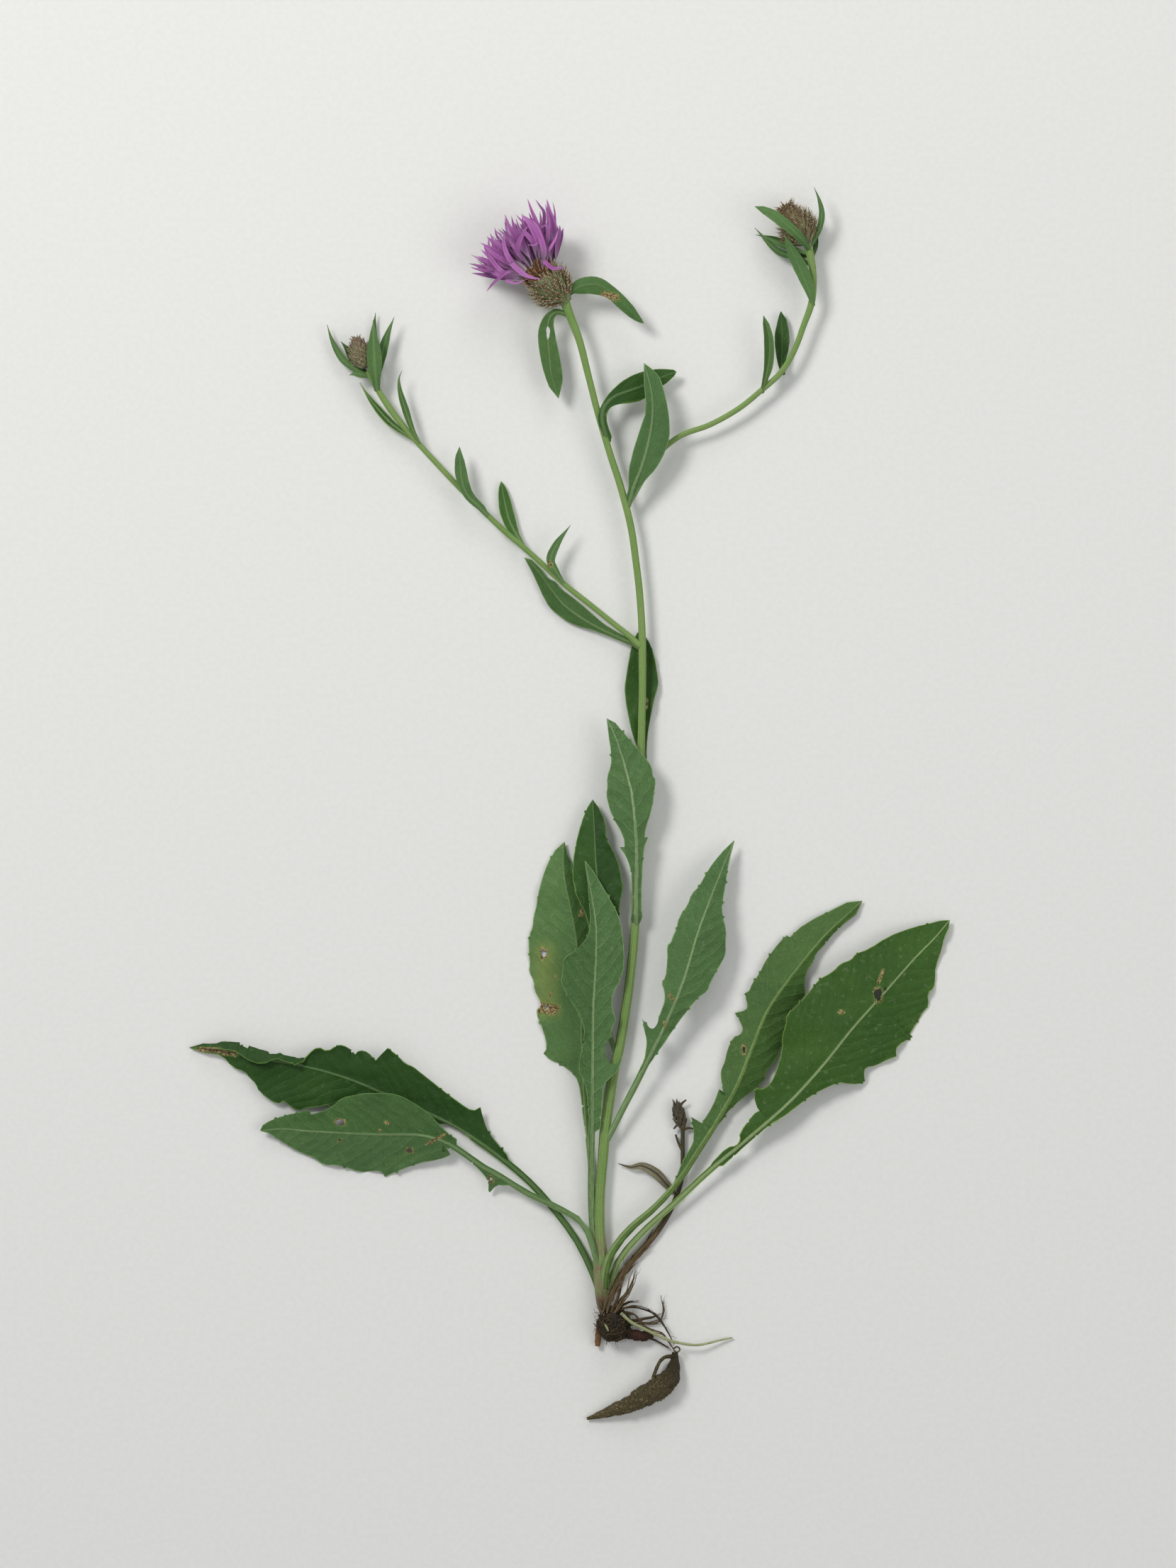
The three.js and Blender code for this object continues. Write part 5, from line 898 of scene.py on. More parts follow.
def hairs(parts, roots, ways, length, width, finish, seed):
    """Fine curved hairs, each a narrow quad and a pointed tip."""
    draw = np.random.RandomState(seed)
    for root, way in zip(roots, ways):
        size = length * draw.uniform(0.5, 1.2)
        bend = unit(draw.normal(size=3)) * size * 0.35
        side = unit(np.cross(way, draw.normal(size=3))) * width / 2
        middle = root + way * size * 0.55 + bend * 0.4
        tip = root + way * size + bend
        points = [root + side, root - side, middle + side * 0.6, middle - side * 0.6, tip]
        parts.add(points, [[0, 1, 3, 2], [2, 3, 4]], finish)


# Leaves.


def stalk_width(spec, share, blade_start):
    """Half the width of a leaf's stalk between its foot and the start of the blade."""
    base, top = spec["stalk"]
    return mix(base, top, np.clip(share / max(blade_start, 1e-6), 0, 1))


def rounded(points):
    """The same outline with its blunt corners rounded and its sharp teeth kept."""
    kept = [points[0]]
    for before, corner, after in zip(points, points[1:], points[2:]):
        come, go = corner[:2] - before[:2], after[:2] - corner[:2]
        size = np.linalg.norm(come) * np.linalg.norm(go)
        bend = math.acos(np.clip(np.dot(come, go) / max(size, 1e-9), -1, 1))
        if bend > SHARP_BEND:
            kept.append(corner)
        else:
            kept.extend([mix(corner, before, CORNER_CUT), mix(corner, after, CORNER_CUT)])
    kept.append(points[-1])
    return np.array(kept)


def toothed(rows, spacing, size, seed):
    """The margin with small sharp teeth that point to the leaf's tip."""
    draw = np.random.RandomState(seed)
    steps = np.linalg.norm(np.diff(rows[:, :2], axis=0), axis=1)
    along = np.concatenate([[0], np.cumsum(steps)])
    kept = [rows[0]]
    place = spacing * draw.uniform(0.3, 1.0)
    for k in range(len(rows) - 1):
        heading = rows[k + 1, :2] - rows[k, :2]
        outward = np.array([heading[1], -heading[0]]) / max(np.linalg.norm(heading), 1e-6)
        if outward @ (rows[k, :2] - rows[:, :2].mean(axis=0)) < 0:
            outward = -outward
        while place < along[k + 1]:
            share = (place - along[k]) / steps[k]
            if steps[k] > 2.2 and 0.25 < share < 0.85:
                for shift, proud in ((-1.1, -0.05), (-0.1, size * draw.uniform(0.2, 1.4)), (0.4, -0.1)):
                    spot = mix(rows[k], rows[k + 1], share + shift / steps[k])
                    spot[:2] += outward * proud
                    kept.append(spot)
            place += spacing * draw.uniform(0.5, 1.5)
        kept.append(rows[k + 1])
    return np.array(kept)


def leaf_margin(rib, spec, side):
    """One margin as rows of [share along the rib, x, y, height over the rib], base to tip."""
    edge = side["edge"]
    spots = photo([[p[0], p[1]] for p in edge])
    shares = []
    for spot in spots:
        shares.append(rib.nearest(spot, shares[-1] if shares else 0.0))
    shares = np.array(shares)
    middle = len(edge) // 2
    heading = rib.tangent(shares[middle])
    away = spots[middle] - rib.at(shares[middle])[:2]
    turn = 1.0 if heading[0] * away[1] - heading[1] * away[0] > 0 else -1.0
    centre = rib.at(shares)
    distance = np.linalg.norm(spots - centre[:, :2], axis=1)
    swing = np.sin(2 * math.pi * (spec.get("waves", 3) * shares + side.get("phase", 0)))
    lift = side.get("tilt", 0) * distance + spec.get("wave", 0) * swing
    for k, point in enumerate(edge):
        if len(point) > 2:
            lift[k] = point[2]
    lift = np.maximum(centre[:, 2] + lift, SOLID_THICKNESS / 2) - centre[:, 2]
    rows = np.column_stack([spots, shares, lift])
    rows = rounded(rows)
    if spec["rib"][0][1] > TOOTHED_BELOW:
        rows = toothed(rows, TOOTH_SPACING, TOOTH_SIZE, len(edge))
    petiole = np.linspace(0, shares[0] - 0.008, 12) if shares[0] > 0.03 else np.zeros(1)
    half = stalk_width(spec, petiole, shares[0])
    if spec["rib"][0][1] < TOOTHED_BELOW:
        half = mix(half, distance[0], (petiole / max(shares[0], 1e-6)) ** 1.3)
    heading = rib.tangent(petiole)
    across = unit(np.column_stack([-heading[:, 1], heading[:, 0]])) * turn
    start = rib.at(petiole)[:, :2] + across * half[:, None]
    stem_rows = np.column_stack([start, petiole, petiole * 0])
    tip_way = rib.tangent(1.0)
    tip = rib.at(1.0)[:2] + np.array([-tip_way[1], tip_way[0]]) * turn * 0.06
    last = np.array([[tip[0], tip[1], 1.0, 0.0]])
    rows = np.vstack([stem_rows, rows, last])
    rows[:, 2] = np.maximum.accumulate(rows[:, 2] + np.arange(len(rows)) * 1e-6)
    rows[:, 2] /= rows[-1, 2]
    return rows, turn, shares[0]


def side_points(rib, side, rows, share, columns, width):
    """The grid of one half of a blade: rib to margin, with its places along, across and to the edge."""
    edge = np.column_stack([np.interp(share, rows[:, 2], rows[:, k]) for k in (0, 1, 3)])
    centre = rib.at(share)
    distance = np.linalg.norm(edge[:, :2] - centre[:, :2], axis=1)
    near = np.minimum(width, distance * 0.6)
    steps = []
    for column in columns:
        if column < 0:
            steps.append(near * -column / np.maximum(distance, 1e-6))
        else:
            ridge = near / np.maximum(distance, 1e-6)
            steps.append(ridge + (1 - ridge) * column)
    s = np.stack(steps, 1)
    tilt = side.get("tilt", 0) * distance
    x = centre[:, 0:1] + (edge[:, 0:1] - centre[:, 0:1]) * s
    y = centre[:, 1:2] + (edge[:, 1:2] - centre[:, 1:2]) * s
    z = centre[:, 2:3] + tilt[:, None] * s + (edge[:, 2] - tilt)[:, None] * s**2
    if "fold" in side:
        fold = photo([[p[0], p[1]] for p in side["fold"]])
        at = []
        for spot in fold:
            at.append(rib.nearest(spot, at[-1] if at else 0.0))
        begin = at[0] - 0.05
        crease = [np.interp(share, at, fold[:, k]) for k in (0, 1)]
        crease.append(centre[:, 2] + np.interp(share, at, [p[2] for p in side["fold"]]))
        crease = np.stack(crease, 1)
        rim = np.column_stack([edge[:, :2], centre[:, 2] + edge[:, 2]])
        bend = np.clip(s, 0, 1)[..., None]
        inner = centre[:, None] + (crease - centre)[:, None] * np.minimum(bend * 2, 1)
        outer = (rim - crease)[:, None] * np.maximum(bend * 2 - 1, 0)
        rolled = inner + outer
        for _ in range(2):
            rolled[:, 1:-1] = (rolled[:, :-2] + 2 * rolled[:, 1:-1] + rolled[:, 2:]) / 4
        weight = smooth(begin, at[0] + 0.02, share)[:, None]
        x, y, z = (mix(flat, rolled[..., k], weight) for k, flat in enumerate((x, y, z)))
    points = np.stack([x, y, z], -1)
    along = np.broadcast_to(share[:, None] * rib.length, s.shape)
    out = distance[:, None]
    return points, np.stack([along, out * s, out * (1 - s)], -1)


def cut_holes(points, faces, holes):
    """Drops the faces inside each hole or notch and pulls the points round it to its outline."""
    for x, y, width, height in holes:
        centre = photo([[x, y]])[0]
        radius = np.array([width, height]) * SCALE / 2
        offset = (points[:, :2] - centre) / radius
        angle = np.arctan2(offset[:, 1], offset[:, 0])
        rough = 1.0 if max(width, height) < NOTCH_SIZE else 0.1
        ragged = 1 + rough * (0.12 * np.sin(3 * angle + x) + 0.07 * np.sin(7 * angle + y))
        away = np.linalg.norm(offset, axis=1) / ragged
        inside = away[faces].mean(axis=1) < 1
        kept = faces[~inside]
        shared = np.intersect1d(np.unique(faces[inside]), np.unique(kept))
        points[shared, :2] = centre + offset[shared] / away[shared][:, None] * radius
        faces = kept
    return points, faces


def thickened(parts, points, faces, thickness, rise, place, tone, look, finish, lift):
    """A sheet with both its faces and its rim. Lift is the upper side's share of the rib's rise."""
    corners = points[faces]
    normal = np.cross(corners[:, 2] - corners[:, 0], corners[:, 3] - corners[:, 1])
    if normal[:, 2].sum() < 0:
        faces = faces[:, ::-1]
        normal = -normal
    normals = np.zeros_like(points)
    for k in range(4):
        np.add.at(normals, faces[:, k], normal)
    normals = unit(normals)
    upper = points + normals * (thickness / 2 + rise * lift)[:, None]
    lower = points - normals * (thickness / 2 + rise * (1 - lift))[:, None]
    count = len(points)
    used = np.unique(faces)
    renumber = np.full(count, -1)
    renumber[used] = np.arange(len(used))
    faces = renumber[faces]
    total = len(used)
    edges = {}
    for face in faces:
        for a, b in zip(face, np.roll(face, -1)):
            if (b, a) in edges:
                del edges[(b, a)]
            else:
                edges[(a, b)] = True
    walls = [[a, a + total, b + total, b] for a, b in edges]
    both = faces.tolist() + (faces[:, ::-1] + total).tolist() + walls
    slots = [finish[0]] * len(faces) + [finish[1]] * len(faces) + [finish[0]] * len(walls)
    parts.add(
        np.vstack([upper[used], lower[used]]), both, slots,
        *(np.vstack([values[used], values[used]]) for values in (place, tone, look)),
    )


def painted(points, marks, kind):
    """How far each point lies inside the marks of one kind: 1 at a mark's middle line, 0 outside."""
    value = np.zeros(len(points))
    for mark in marks:
        if mark[0] != kind:
            continue
        a, b = photo([[mark[1], mark[2]], [mark[3], mark[4]]])
        radius = mark[5] * SCALE
        line = b - a
        size = max(float(line @ line), 1e-9)
        share = np.clip(((points[:, :2] - a) @ line) / size, 0, 1)
        away = np.linalg.norm(points[:, :2] - a - share[:, None] * line, axis=1)
        value = np.maximum(value, 1 - smooth(radius * 0.1, radius * 1.6, away))
    return value


def spaced(values, least):
    """The values in order, without those that stand closer than that to the one before."""
    values = np.unique(values)
    keep = [0]
    for k in range(1, len(values)):
        if values[k] - values[keep[-1]] > least:
            keep.append(k)
    values = values[keep]
    values[-1] = 1.0
    return values


def fine_lines(rib, sides, spots):
    """Extra rows and lanes that cross close together over holes and marks."""
    rows_at, lanes_at = [], []
    for x, y, size in spots:
        centre = photo([[x, y]])[0]
        share = rib.nearest(centre)
        middle, heading = rib.at(share)[:2], rib.tangent(share)
        away = centre - middle
        turned = 1.0 if heading[0] * away[1] - heading[1] * away[0] > 0 else -1.0
        margin = next(rows for rows, turn, _ in sides if turn == turned or len(sides) == 1)
        edge = [np.interp(share, margin[:, 2], margin[:, k]) for k in (0, 1)]
        width = max(np.linalg.norm(edge - middle), 0.5)
        reach = size * SCALE / 2 + 0.4
        steps = np.linspace(-1, 1, max(5, int(reach * 2 / 0.55)))
        rows_at.extend(share + steps * reach / rib.length)
        lanes_at.extend(np.linalg.norm(away) / width + steps * reach / width)
    return np.array(rows_at), np.clip(lanes_at, 0, 1)


def blade(parts, spec, name, settings, finish):
    """A whole leaf with its stalk: two margins, a raised midrib and a gently quilted blade."""
    first, second, warmth, pale_rib = LEAF_TINTS.get(name, PLAIN_TINT)
    rib = Route(photo(spec["rib"]))
    sides = [leaf_margin(rib, spec, side) for side in spec["sides"]]
    marks = MARKS.get(name, [])
    holes = spec.get("holes", []) + FINE_HOLES.get(name, [])
    spots = [[x, y, max(width, height) + 6] for x, y, width, height in holes]
    for kind, x, y, end_x, end_y, half in marks:
        if kind == "brown":
            size = max(abs(x - end_x), abs(y - end_y)) + 2 * half
            spots.append([(x + end_x) / 2, (y + end_y) / 2, size])
    rows_at, lanes_at = fine_lines(rib, sides, spots)
    share = np.concatenate(
        [rows[:, 2] for rows, _, _ in sides] + [np.arange(0, rib.length, 1.5) / rib.length, rows_at]
    )
    share = spaced(np.clip(share, 0, 1), LEAST_STEP / rib.length)
    width = spec["stalk"][0] * (0.95 - 0.72 * share)
    lanes = spaced(np.concatenate([np.linspace(0, 1, settings.lanes + 1), lanes_at]), LEAST_LANE)
    columns = [-0.5, -1.0] + list(lanes[1:])
    halves = []
    for (rows, turn, _), side in zip(sides, spec["sides"]):
        points, place = side_points(rib, side, rows, share, columns, width)
        if "fold" in side:
            reach = np.linalg.norm(np.diff(points, axis=1, prepend=rib.at(share)[:, None]), axis=2)
            place[..., 1] = np.cumsum(reach, axis=1)
            place[..., 2] = place[:, -1:, 1] - place[..., 1]
        place[..., 1] *= turn
        halves.append((turn, points, place))
    halves.sort(key=lambda half: -half[0])
    centre = rib.at(share)[:, None]
    middle_place = np.stack([share * rib.length, share * 0, np.full(len(share), 9.0)], -1)[:, None]
    points = np.concatenate([halves[0][1][:, ::-1], centre, halves[1][1]], 1)
    place = np.concatenate([halves[0][2][:, ::-1], middle_place, halves[1][2]], 1)
    count = points.shape[1]
    flat = points.reshape(-1, 3)
    spread = place.reshape(-1, 3)
    out = np.abs(spread[:, 1])
    ridge = np.repeat(width, count)
    shares = np.repeat(share, count)
    quilt = smooth(ridge, ridge + 3, out)
    swells = [
        ripple(flat, size, len(name) + k) * height
        for k, (size, height) in enumerate((BROAD_SWELL, SMALL_SWELL))
    ]
    flat[:, 2] += quilt * (swells[0] + swells[1])
    edging = np.clip(1 - spread[:, 2] / EDGE_REACH, 0, 1) ** 2 * quilt
    flat[:, 2] += edging * ripple(flat, EDGE_WAVE[0], len(name) + 2) * EDGE_WAVE[1]
    profile = np.clip(1 - (out / np.maximum(ridge, 0.05)) ** 2, 0, 1)
    rib_size = min(1.0, 0.35 + pale_rib)
    rise = rib_size * ((1 - shares) ** 1.3 * profile + 0.12 * profile)
    tone = np.stack([profile, painted(flat, marks, "turned"), painted(flat, marks, "brown")], -1)
    faces = grid_faces(len(share), count)
    flat, faces = cut_holes(flat, faces, holes)
    lift = 0.68 if spec["look"] == "back" else 0.42
    # Each half takes its own lightness, which carries painted shade on a half that lies in shadow.
    light = np.where(spread[:, 1] * sides[0][1] > 0, first, second)
    look = np.column_stack([light, np.full(len(flat), warmth), np.full(len(flat), pale_rib)])
    thickened(parts, flat, faces, settings.blade_thickness / MM, rise, spread, tone, look, finish, lift)


def narrow_blade(parts, rows, width, settings, finish, name, cup=0.15):
    """A narrow leaf widest a third of the way up, with a raised midrib."""
    rib = Route(photo(rows))
    count = max(10, int(round(rib.length / 0.9)))
    share = np.linspace(0, 1, count + 1)
    centre, tangent = rib.at(share), rib.tangent(share)
    across = unit(np.column_stack([-tangent[:, 1], tangent[:, 0], tangent[:, 0] * 0]))
    outline = 0.45 + 1.25 * share - 1.7 * share**2 + 0.55 * np.sin(np.pi * share) ** 2
    half = np.maximum(width * SCALE / 2 * outline, 0.05)
    half *= 1 + 0.02 * np.sin(share * rib.length * 1.1) + 0.01 * np.sin(share * rib.length * 2.3 + 1)
    steps = np.array([-1, -0.86, -0.6, -0.34, -0.15, 0, 0.15, 0.34, 0.6, 0.86, 1])
    points = centre[:, None] + across[:, None] * (half[:, None] * steps)[..., None]
    points[..., 2] += cup * half[:, None] * np.abs(steps) ** 1.5
    flat = points.reshape(-1, 3)
    signed = (half[:, None] * steps).ravel()
    lengths = np.repeat(share * rib.length, len(steps))
    edge = (half[:, None] * (1 - np.abs(steps))).ravel()
    spread = np.stack([lengths, signed, edge], -1)
    ridge = np.repeat(0.16 * half.max() + 0.5 * (1 - share), len(steps))
    profile = np.clip(1 - (signed / ridge) ** 2, 0, 1)
    rise = profile * 0.35 * np.repeat(1 - 0.7 * share, len(steps))
    marks = MARKS.get(name, [])
    tone = np.stack([profile, painted(flat, marks, "turned"), painted(flat, marks, "brown")], -1)
    faces = grid_faces(len(share), len(steps))
    light, _, warmth, pale_rib = LEAF_TINTS.get(name, PLAIN_TINT)
    look = np.tile([light, warmth, pale_rib], (len(flat), 1))
    thickness = settings.blade_thickness / MM
    thickened(parts, flat, faces, thickness, rise, spread, tone, look, finish, lift=0.6)


# Flower head and buds.


class Axis:
    """A straight line from a base to a mouth, with the ways across it."""

    def __init__(self, base, mouth):
        start, end = photo([base, mouth])
        self.start = start
        self.length = float(np.linalg.norm(end - start))
        self.axis = (end - start) / self.length
        self.side = unit(np.cross(self.axis, UP))
        self.top = np.cross(self.side, self.axis)


class Egg(Axis):
    """The body of a bud or a flower base, from its stalk end to its mouth."""

    def __init__(self, base, mouth, radius, blunt):
        super().__init__(base, mouth)
        self.radius = radius
        self.blunt = blunt

    def reach(self, share):
        """The radius at that share of the length."""
        share = np.clip(share, 0, 1)
        return np.maximum(np.sin(math.pi * share**self.blunt), 0) ** 0.62 * self.radius

    def outward(self, angle):
        """The way out from the axis at that angle round it."""
        angle = np.asarray(angle, float)[..., None]
        return self.side * np.cos(angle) + self.top * np.sin(angle)

    def at(self, share, angle, proud):
        """The place at that share of the length and that angle, proud of the body."""
        share = np.asarray(share, float)
        size = self.reach(np.clip(share, 0.05, 0.95)) + proud
        centre = self.start + self.axis * (share * self.length)[..., None]
        return centre + self.outward(angle) * np.asarray(size)[..., None]

    def body(self, parts):
        """The smooth core under the scales."""
        rings, sides = 18, 28
        share = np.linspace(0, 1, rings + 1)[:, None] * np.ones(sides)[None, :]
        angle = np.ones(rings + 1)[:, None] * (np.arange(sides) * 2 * math.pi / sides)[None, :]
        centre = self.start + self.axis * (share * self.length)[..., None]
        points = centre + self.outward(angle) * self.reach(share)[..., None]
        faces = grid_faces(rings + 1, sides, wrap=True)[:, ::-1]
        parts.add(points, faces, tone=[0.1, 0.5, 0.0])


def bract(parts, egg, share, angle, shape, draw, finish):
    """One scale: a green body that lies on the egg, and a brown tip with a comb of fine teeth."""
    rows, lanes = 7, 5
    rise = shape["length"] / egg.length
    along = np.linspace(0, 1, rows)[:, None]
    across = np.linspace(-1, 1, lanes)[None, :]
    body = 0.45 + 0.6 * np.sin(along / 0.62 * math.pi / 2)
    outline = np.where(along < 0.62, body, 0.85 * (1 - along) / 0.38 + 0.12)
    half = shape["width"] / 2 * outline
    lift = shape["lift"] * draw.uniform(0.7, 1.25)
    proud = 0.12 + 0.3 * along + lift * along**1.8 - 0.25 * across**2 * (0.4 + along)
    level = share + rise * along + across * 0
    size = np.maximum(egg.reach(np.clip(level, 0.05, 0.95)) + proud, 1.2)
    turn = angle + half * across / size
    points = egg.at(level, turn, proud)
    rip = smooth(0.5, 0.76, along + 0.12 * across**2)
    tint = np.clip(share + draw.uniform(-0.25, 0.35), 0, 1)
    shades = np.full((rows, lanes), tint)
    tone = np.stack([rip + across * 0, shades, 1 - np.abs(across) + along * 0], -1)
    place = np.stack([along * shape["length"] + across * 0, across * half, along + across * 0], -1)
    parts.add(points, grid_faces(rows, lanes), finish, place.reshape(-1, 3), tone.reshape(-1, 3))
    outward = egg.outward(turn[-1, lanes // 2])
    around = unit(np.cross(outward, egg.axis))
    teeth = shape["teeth"]
    for k in range(teeth):
        fan = (k / (teeth - 1) - 0.5) * shape["fan"] + draw.uniform(-0.12, 0.12)
        row = rows - 1 - min(2, int(abs(fan) * 2.1))
        lane = lanes - 1 if fan > 0 else 0
        root = points[row, lane if abs(fan) > 0.25 else lanes // 2]
        flare = outward * shape["flare"] * draw.uniform(0.4, 1.5)
        way = unit(egg.axis * math.cos(fan) - around * math.sin(fan) + flare)
        size = shape["fringe"] * draw.uniform(0.7, 1.25) * (1.15 - 0.3 * abs(fan))
        wide = unit(np.cross(way, outward)) * shape["tooth"] / 2
        bend = outward * size * draw.uniform(-0.15, 0.3)
        middle = root + way * size * 0.5
        tip = root + way * size + bend
        corners = [root + wide, root - wide, middle - wide * 0.7, middle + wide * 0.7, tip]
        tone = [[ripe, tint, 0.6] for ripe in (1, 1, 1.5, 1.5, 2)]
        parts.add(corners, [[0, 1, 2, 3], [3, 2, 4]], finish, 0.0, tone)


def bracts(parts, egg, shape, seed, finish=0):
    """Scales all over an egg, each turned by the golden angle from the one before."""
    draw = np.random.RandomState(seed)
    golden = math.pi * (3 - math.sqrt(5))
    for k in range(shape["count"]):
        part_way = (k + 0.5) / shape["count"]
        share = mix(shape["first"], shape["last"], part_way)
        share += draw.uniform(-0.025, 0.025)
        bract(parts, egg, share, k * golden + draw.uniform(-0.16, 0.16), shape, draw, finish)


def dice(seed):
    """The same seeded draws between 0 and 1 that place the florets of the solids."""
    state = seed
    while True:
        state = (state * 1664525 + 1013904223) % 4294967296
        yield state / 4294967296


def floret(parts, fan, shape, draw, anther):
    """A pale slim tube that opens into narrow mauve lobes, with a dark anther tube in some."""
    def aim(share):
        across = fan.side * math.tan(shape["across"] * share)
        return unit(fan.axis + across + fan.top * math.tan(shape["rise"] * share))

    heading = aim(1)
    reach = shape["reach"]
    start = fan.start + fan.side * shape["root"][0] + fan.top * shape["root"][1]
    neck = start + aim(1.1) * reach * 0.26
    throat = neck + heading * reach * 0.16
    bell = mix(neck, throat, 0.45)
    tube(parts, [start, neck, bell, throat], [0.26, 0.22, 0.26, 0.42])
    side = unit(np.cross(heading, fan.top))
    up = np.cross(side, heading)
    side = side * math.cos(shape["turn"]) + up * math.sin(shape["turn"])
    facing = unit(np.cross(side, heading))
    for k in range(LOBES):
        part_way = k / (LOBES - 1) - 0.5
        spread = part_way * 0.62 + draw.uniform(-0.1, 0.1)
        nod = facing * 0.16 * math.cos(k * 2.4)
        way = unit(heading * math.cos(spread) + side * math.sin(spread) + nod)
        length = reach * 0.6 * (1 - 0.2 * abs(part_way)) * draw.uniform(0.86, 1.02)
        curl = facing * draw.uniform(-0.12, 0.16) * length - side * part_way * 0.2 * length
        bow = (side * draw.uniform(-0.07, 0.07) + facing * draw.uniform(-0.03, 0.05)) * length
        line = [
            throat - heading * 2.4, throat + way * length * 0.3 + bow * 0.7,
            throat + way * length * 0.66 + bow + curl * 0.3, throat + way * length + curl,
        ]
        width = LOBE_WIDTH * draw.uniform(0.8, 1.15)
        twist = draw.uniform(-0.7, 0.7)
        shade = np.clip(shape["shade"] + draw.uniform(-0.15, 0.15), 0, 1)
        strap(parts, line, width, facing, cup=0.35, twist=twist, finish=0, shade=shade)
    if anther:
        tip = throat + heading * reach * 0.3
        tube(parts, [throat - heading, mix(throat, tip, 0.5), tip], [0.42, 0.5, 0.3], finish=1)
        style = [tip, tip + heading * 0.8 + side * 0.2, tip + heading * 1.6 + side * 0.7]
        strap(parts, style, 0.5, facing, cup=0, twist=0, finish=2)


def tube(parts, line, radii, finish=0, sides=7):
    """A slim round tube along a line in millimetres. Its tone runs from -1 at its root to 0."""
    route = Route(np.column_stack([line, radii]))
    count = max(3, int(round(route.length / 1.6)))
    share = np.linspace(0, 1, count + 1)
    centre, tangent = route.at(share), route.tangent(share)
    radius = route.column(share, 3)
    side = unit(np.cross(tangent, UP + 0.01))
    top = np.cross(side, tangent)
    angle = np.arange(sides) * 2 * math.pi / sides
    ring = side[:, None] * np.cos(angle)[None, :, None] + top[:, None] * np.sin(angle)[None, :, None]
    points = centre[:, None] + ring * radius[:, None, None]
    faces = grid_faces(count + 1, sides, wrap=True).tolist()
    faces.append([count * sides + k for k in range(sides)])
    tone = np.zeros((count + 1, sides, 3))
    tone[..., 0] = -1 + share[:, None]
    parts.add(points, faces, finish, 0.0, tone.reshape(-1, 3))


# Materials.


def tint(code):
    """A colour from its hex code, as Blender wants it."""
    parts = [int(code[k : k + 2], 16) / 255 for k in (0, 2, 4)]
    linear = [c / 12.92 if c <= 0.04045 else ((c + 0.055) / 1.055) ** 2.4 for c in parts]
    return (*linear, 1.0)


class Nodes:
    """Short calls that add shader nodes to a tree and join them."""

    def __init__(self, tree):
        self.tree = tree

    def new(self, kind, **settings):
        node = self.tree.nodes.new(kind)
        for name, value in settings.items():
            setattr(node, name, value)
        return node

    def feed(self, socket, value):
        """Joins an output to the socket or sets a value, which may be the hex code of a colour."""
        if isinstance(value, str):
            socket.default_value = tint(value)
        elif isinstance(value, bpy.types.NodeSocket):
            self.tree.links.new(value, socket)
        elif value is not None:
            socket.default_value = value

    def math(self, operation, a, b=None, c=None):
        node = self.new("ShaderNodeMath", operation=operation)
        for socket, value in zip(node.inputs, (a, b, c)):
            self.feed(socket, value)
        return node.outputs[0]

    def times(self, a, b):
        return self.math("MULTIPLY", a, b)

    def plus(self, a, b):
        return self.math("ADD", a, b)

    def minus(self, a, b):
        return self.math("SUBTRACT", a, b)

    def blend(self, share, a, b, kind="MIX"):
        node = self.new("ShaderNodeMix", data_type="RGBA", blend_type=kind)
        for index, value in ((0, share), (6, a), (7, b)):
            self.feed(node.inputs[index], value)
        return node.outputs[2]

    def band(self, value, low, high, start=0.0, end=1.0):
        """A soft step from start where the value is low to end where it is high."""
        node = self.new("ShaderNodeMapRange", interpolation_type="SMOOTHSTEP")
        for socket, item in zip(node.inputs, (value, low, high, start, end)):
            self.feed(socket, item)
        return node.outputs[0]

    def noise(self, vector, scale, detail=2.0):
        node = self.new("ShaderNodeTexNoise")
        self.feed(node.inputs["Vector"], vector)
        self.feed(node.inputs["Scale"], scale)
        self.feed(node.inputs["Detail"], detail)
        return node.outputs[0]

    def cells(self, vector, scale):
        node = self.new("ShaderNodeTexVoronoi", feature="DISTANCE_TO_EDGE")
        self.feed(node.inputs["Vector"], vector)
        self.feed(node.inputs["Scale"], scale)
        return node.outputs[0]

    def attribute(self, name):
        """The vector attribute of that name, whole and as its three numbers."""
        node = self.new("ShaderNodeAttribute", attribute_name=name)
        split = self.new("ShaderNodeSeparateXYZ")
        self.feed(split.inputs[0], node.outputs["Vector"])
        return node.outputs["Vector"], *split.outputs

    def spot(self, size_mm=1.0):
        """Places on the plant, in units of that many millimetres."""
        coordinates = self.new("ShaderNodeTexCoord")
        scaled = self.new("ShaderNodeVectorMath", operation="SCALE")
        self.feed(scaled.inputs[0], coordinates.outputs["Object"])
        self.feed(scaled.inputs["Scale"], 1000.0 / size_mm)
        return scaled.outputs[0]


def effect(name, inputs, outputs, build):
    """A shader node group shared by several materials."""
    tree = bpy.data.node_groups.new(name, "ShaderNodeTree")
    for title, kind, value in inputs:
        socket = tree.interface.new_socket(title, in_out="INPUT", socket_type=kind)
        if value is not None:
            socket.default_value = value
    for title, kind in outputs:
        tree.interface.new_socket(title, in_out="OUTPUT", socket_type=kind)
    n = Nodes(tree)
    entry, leave = n.new("NodeGroupInput"), n.new("NodeGroupOutput")
    for title, value in build(n, entry.outputs).items():
        n.feed(leave.inputs[title], value)
    return tree


def use(n, tree, **inputs):
    """The outputs of a shared effect in a material."""
    node = n.new("ShaderNodeGroup", node_tree=tree)
    for name, value in inputs.items():
        n.feed(node.inputs[name.replace("_", " ")], value)
    return node.outputs


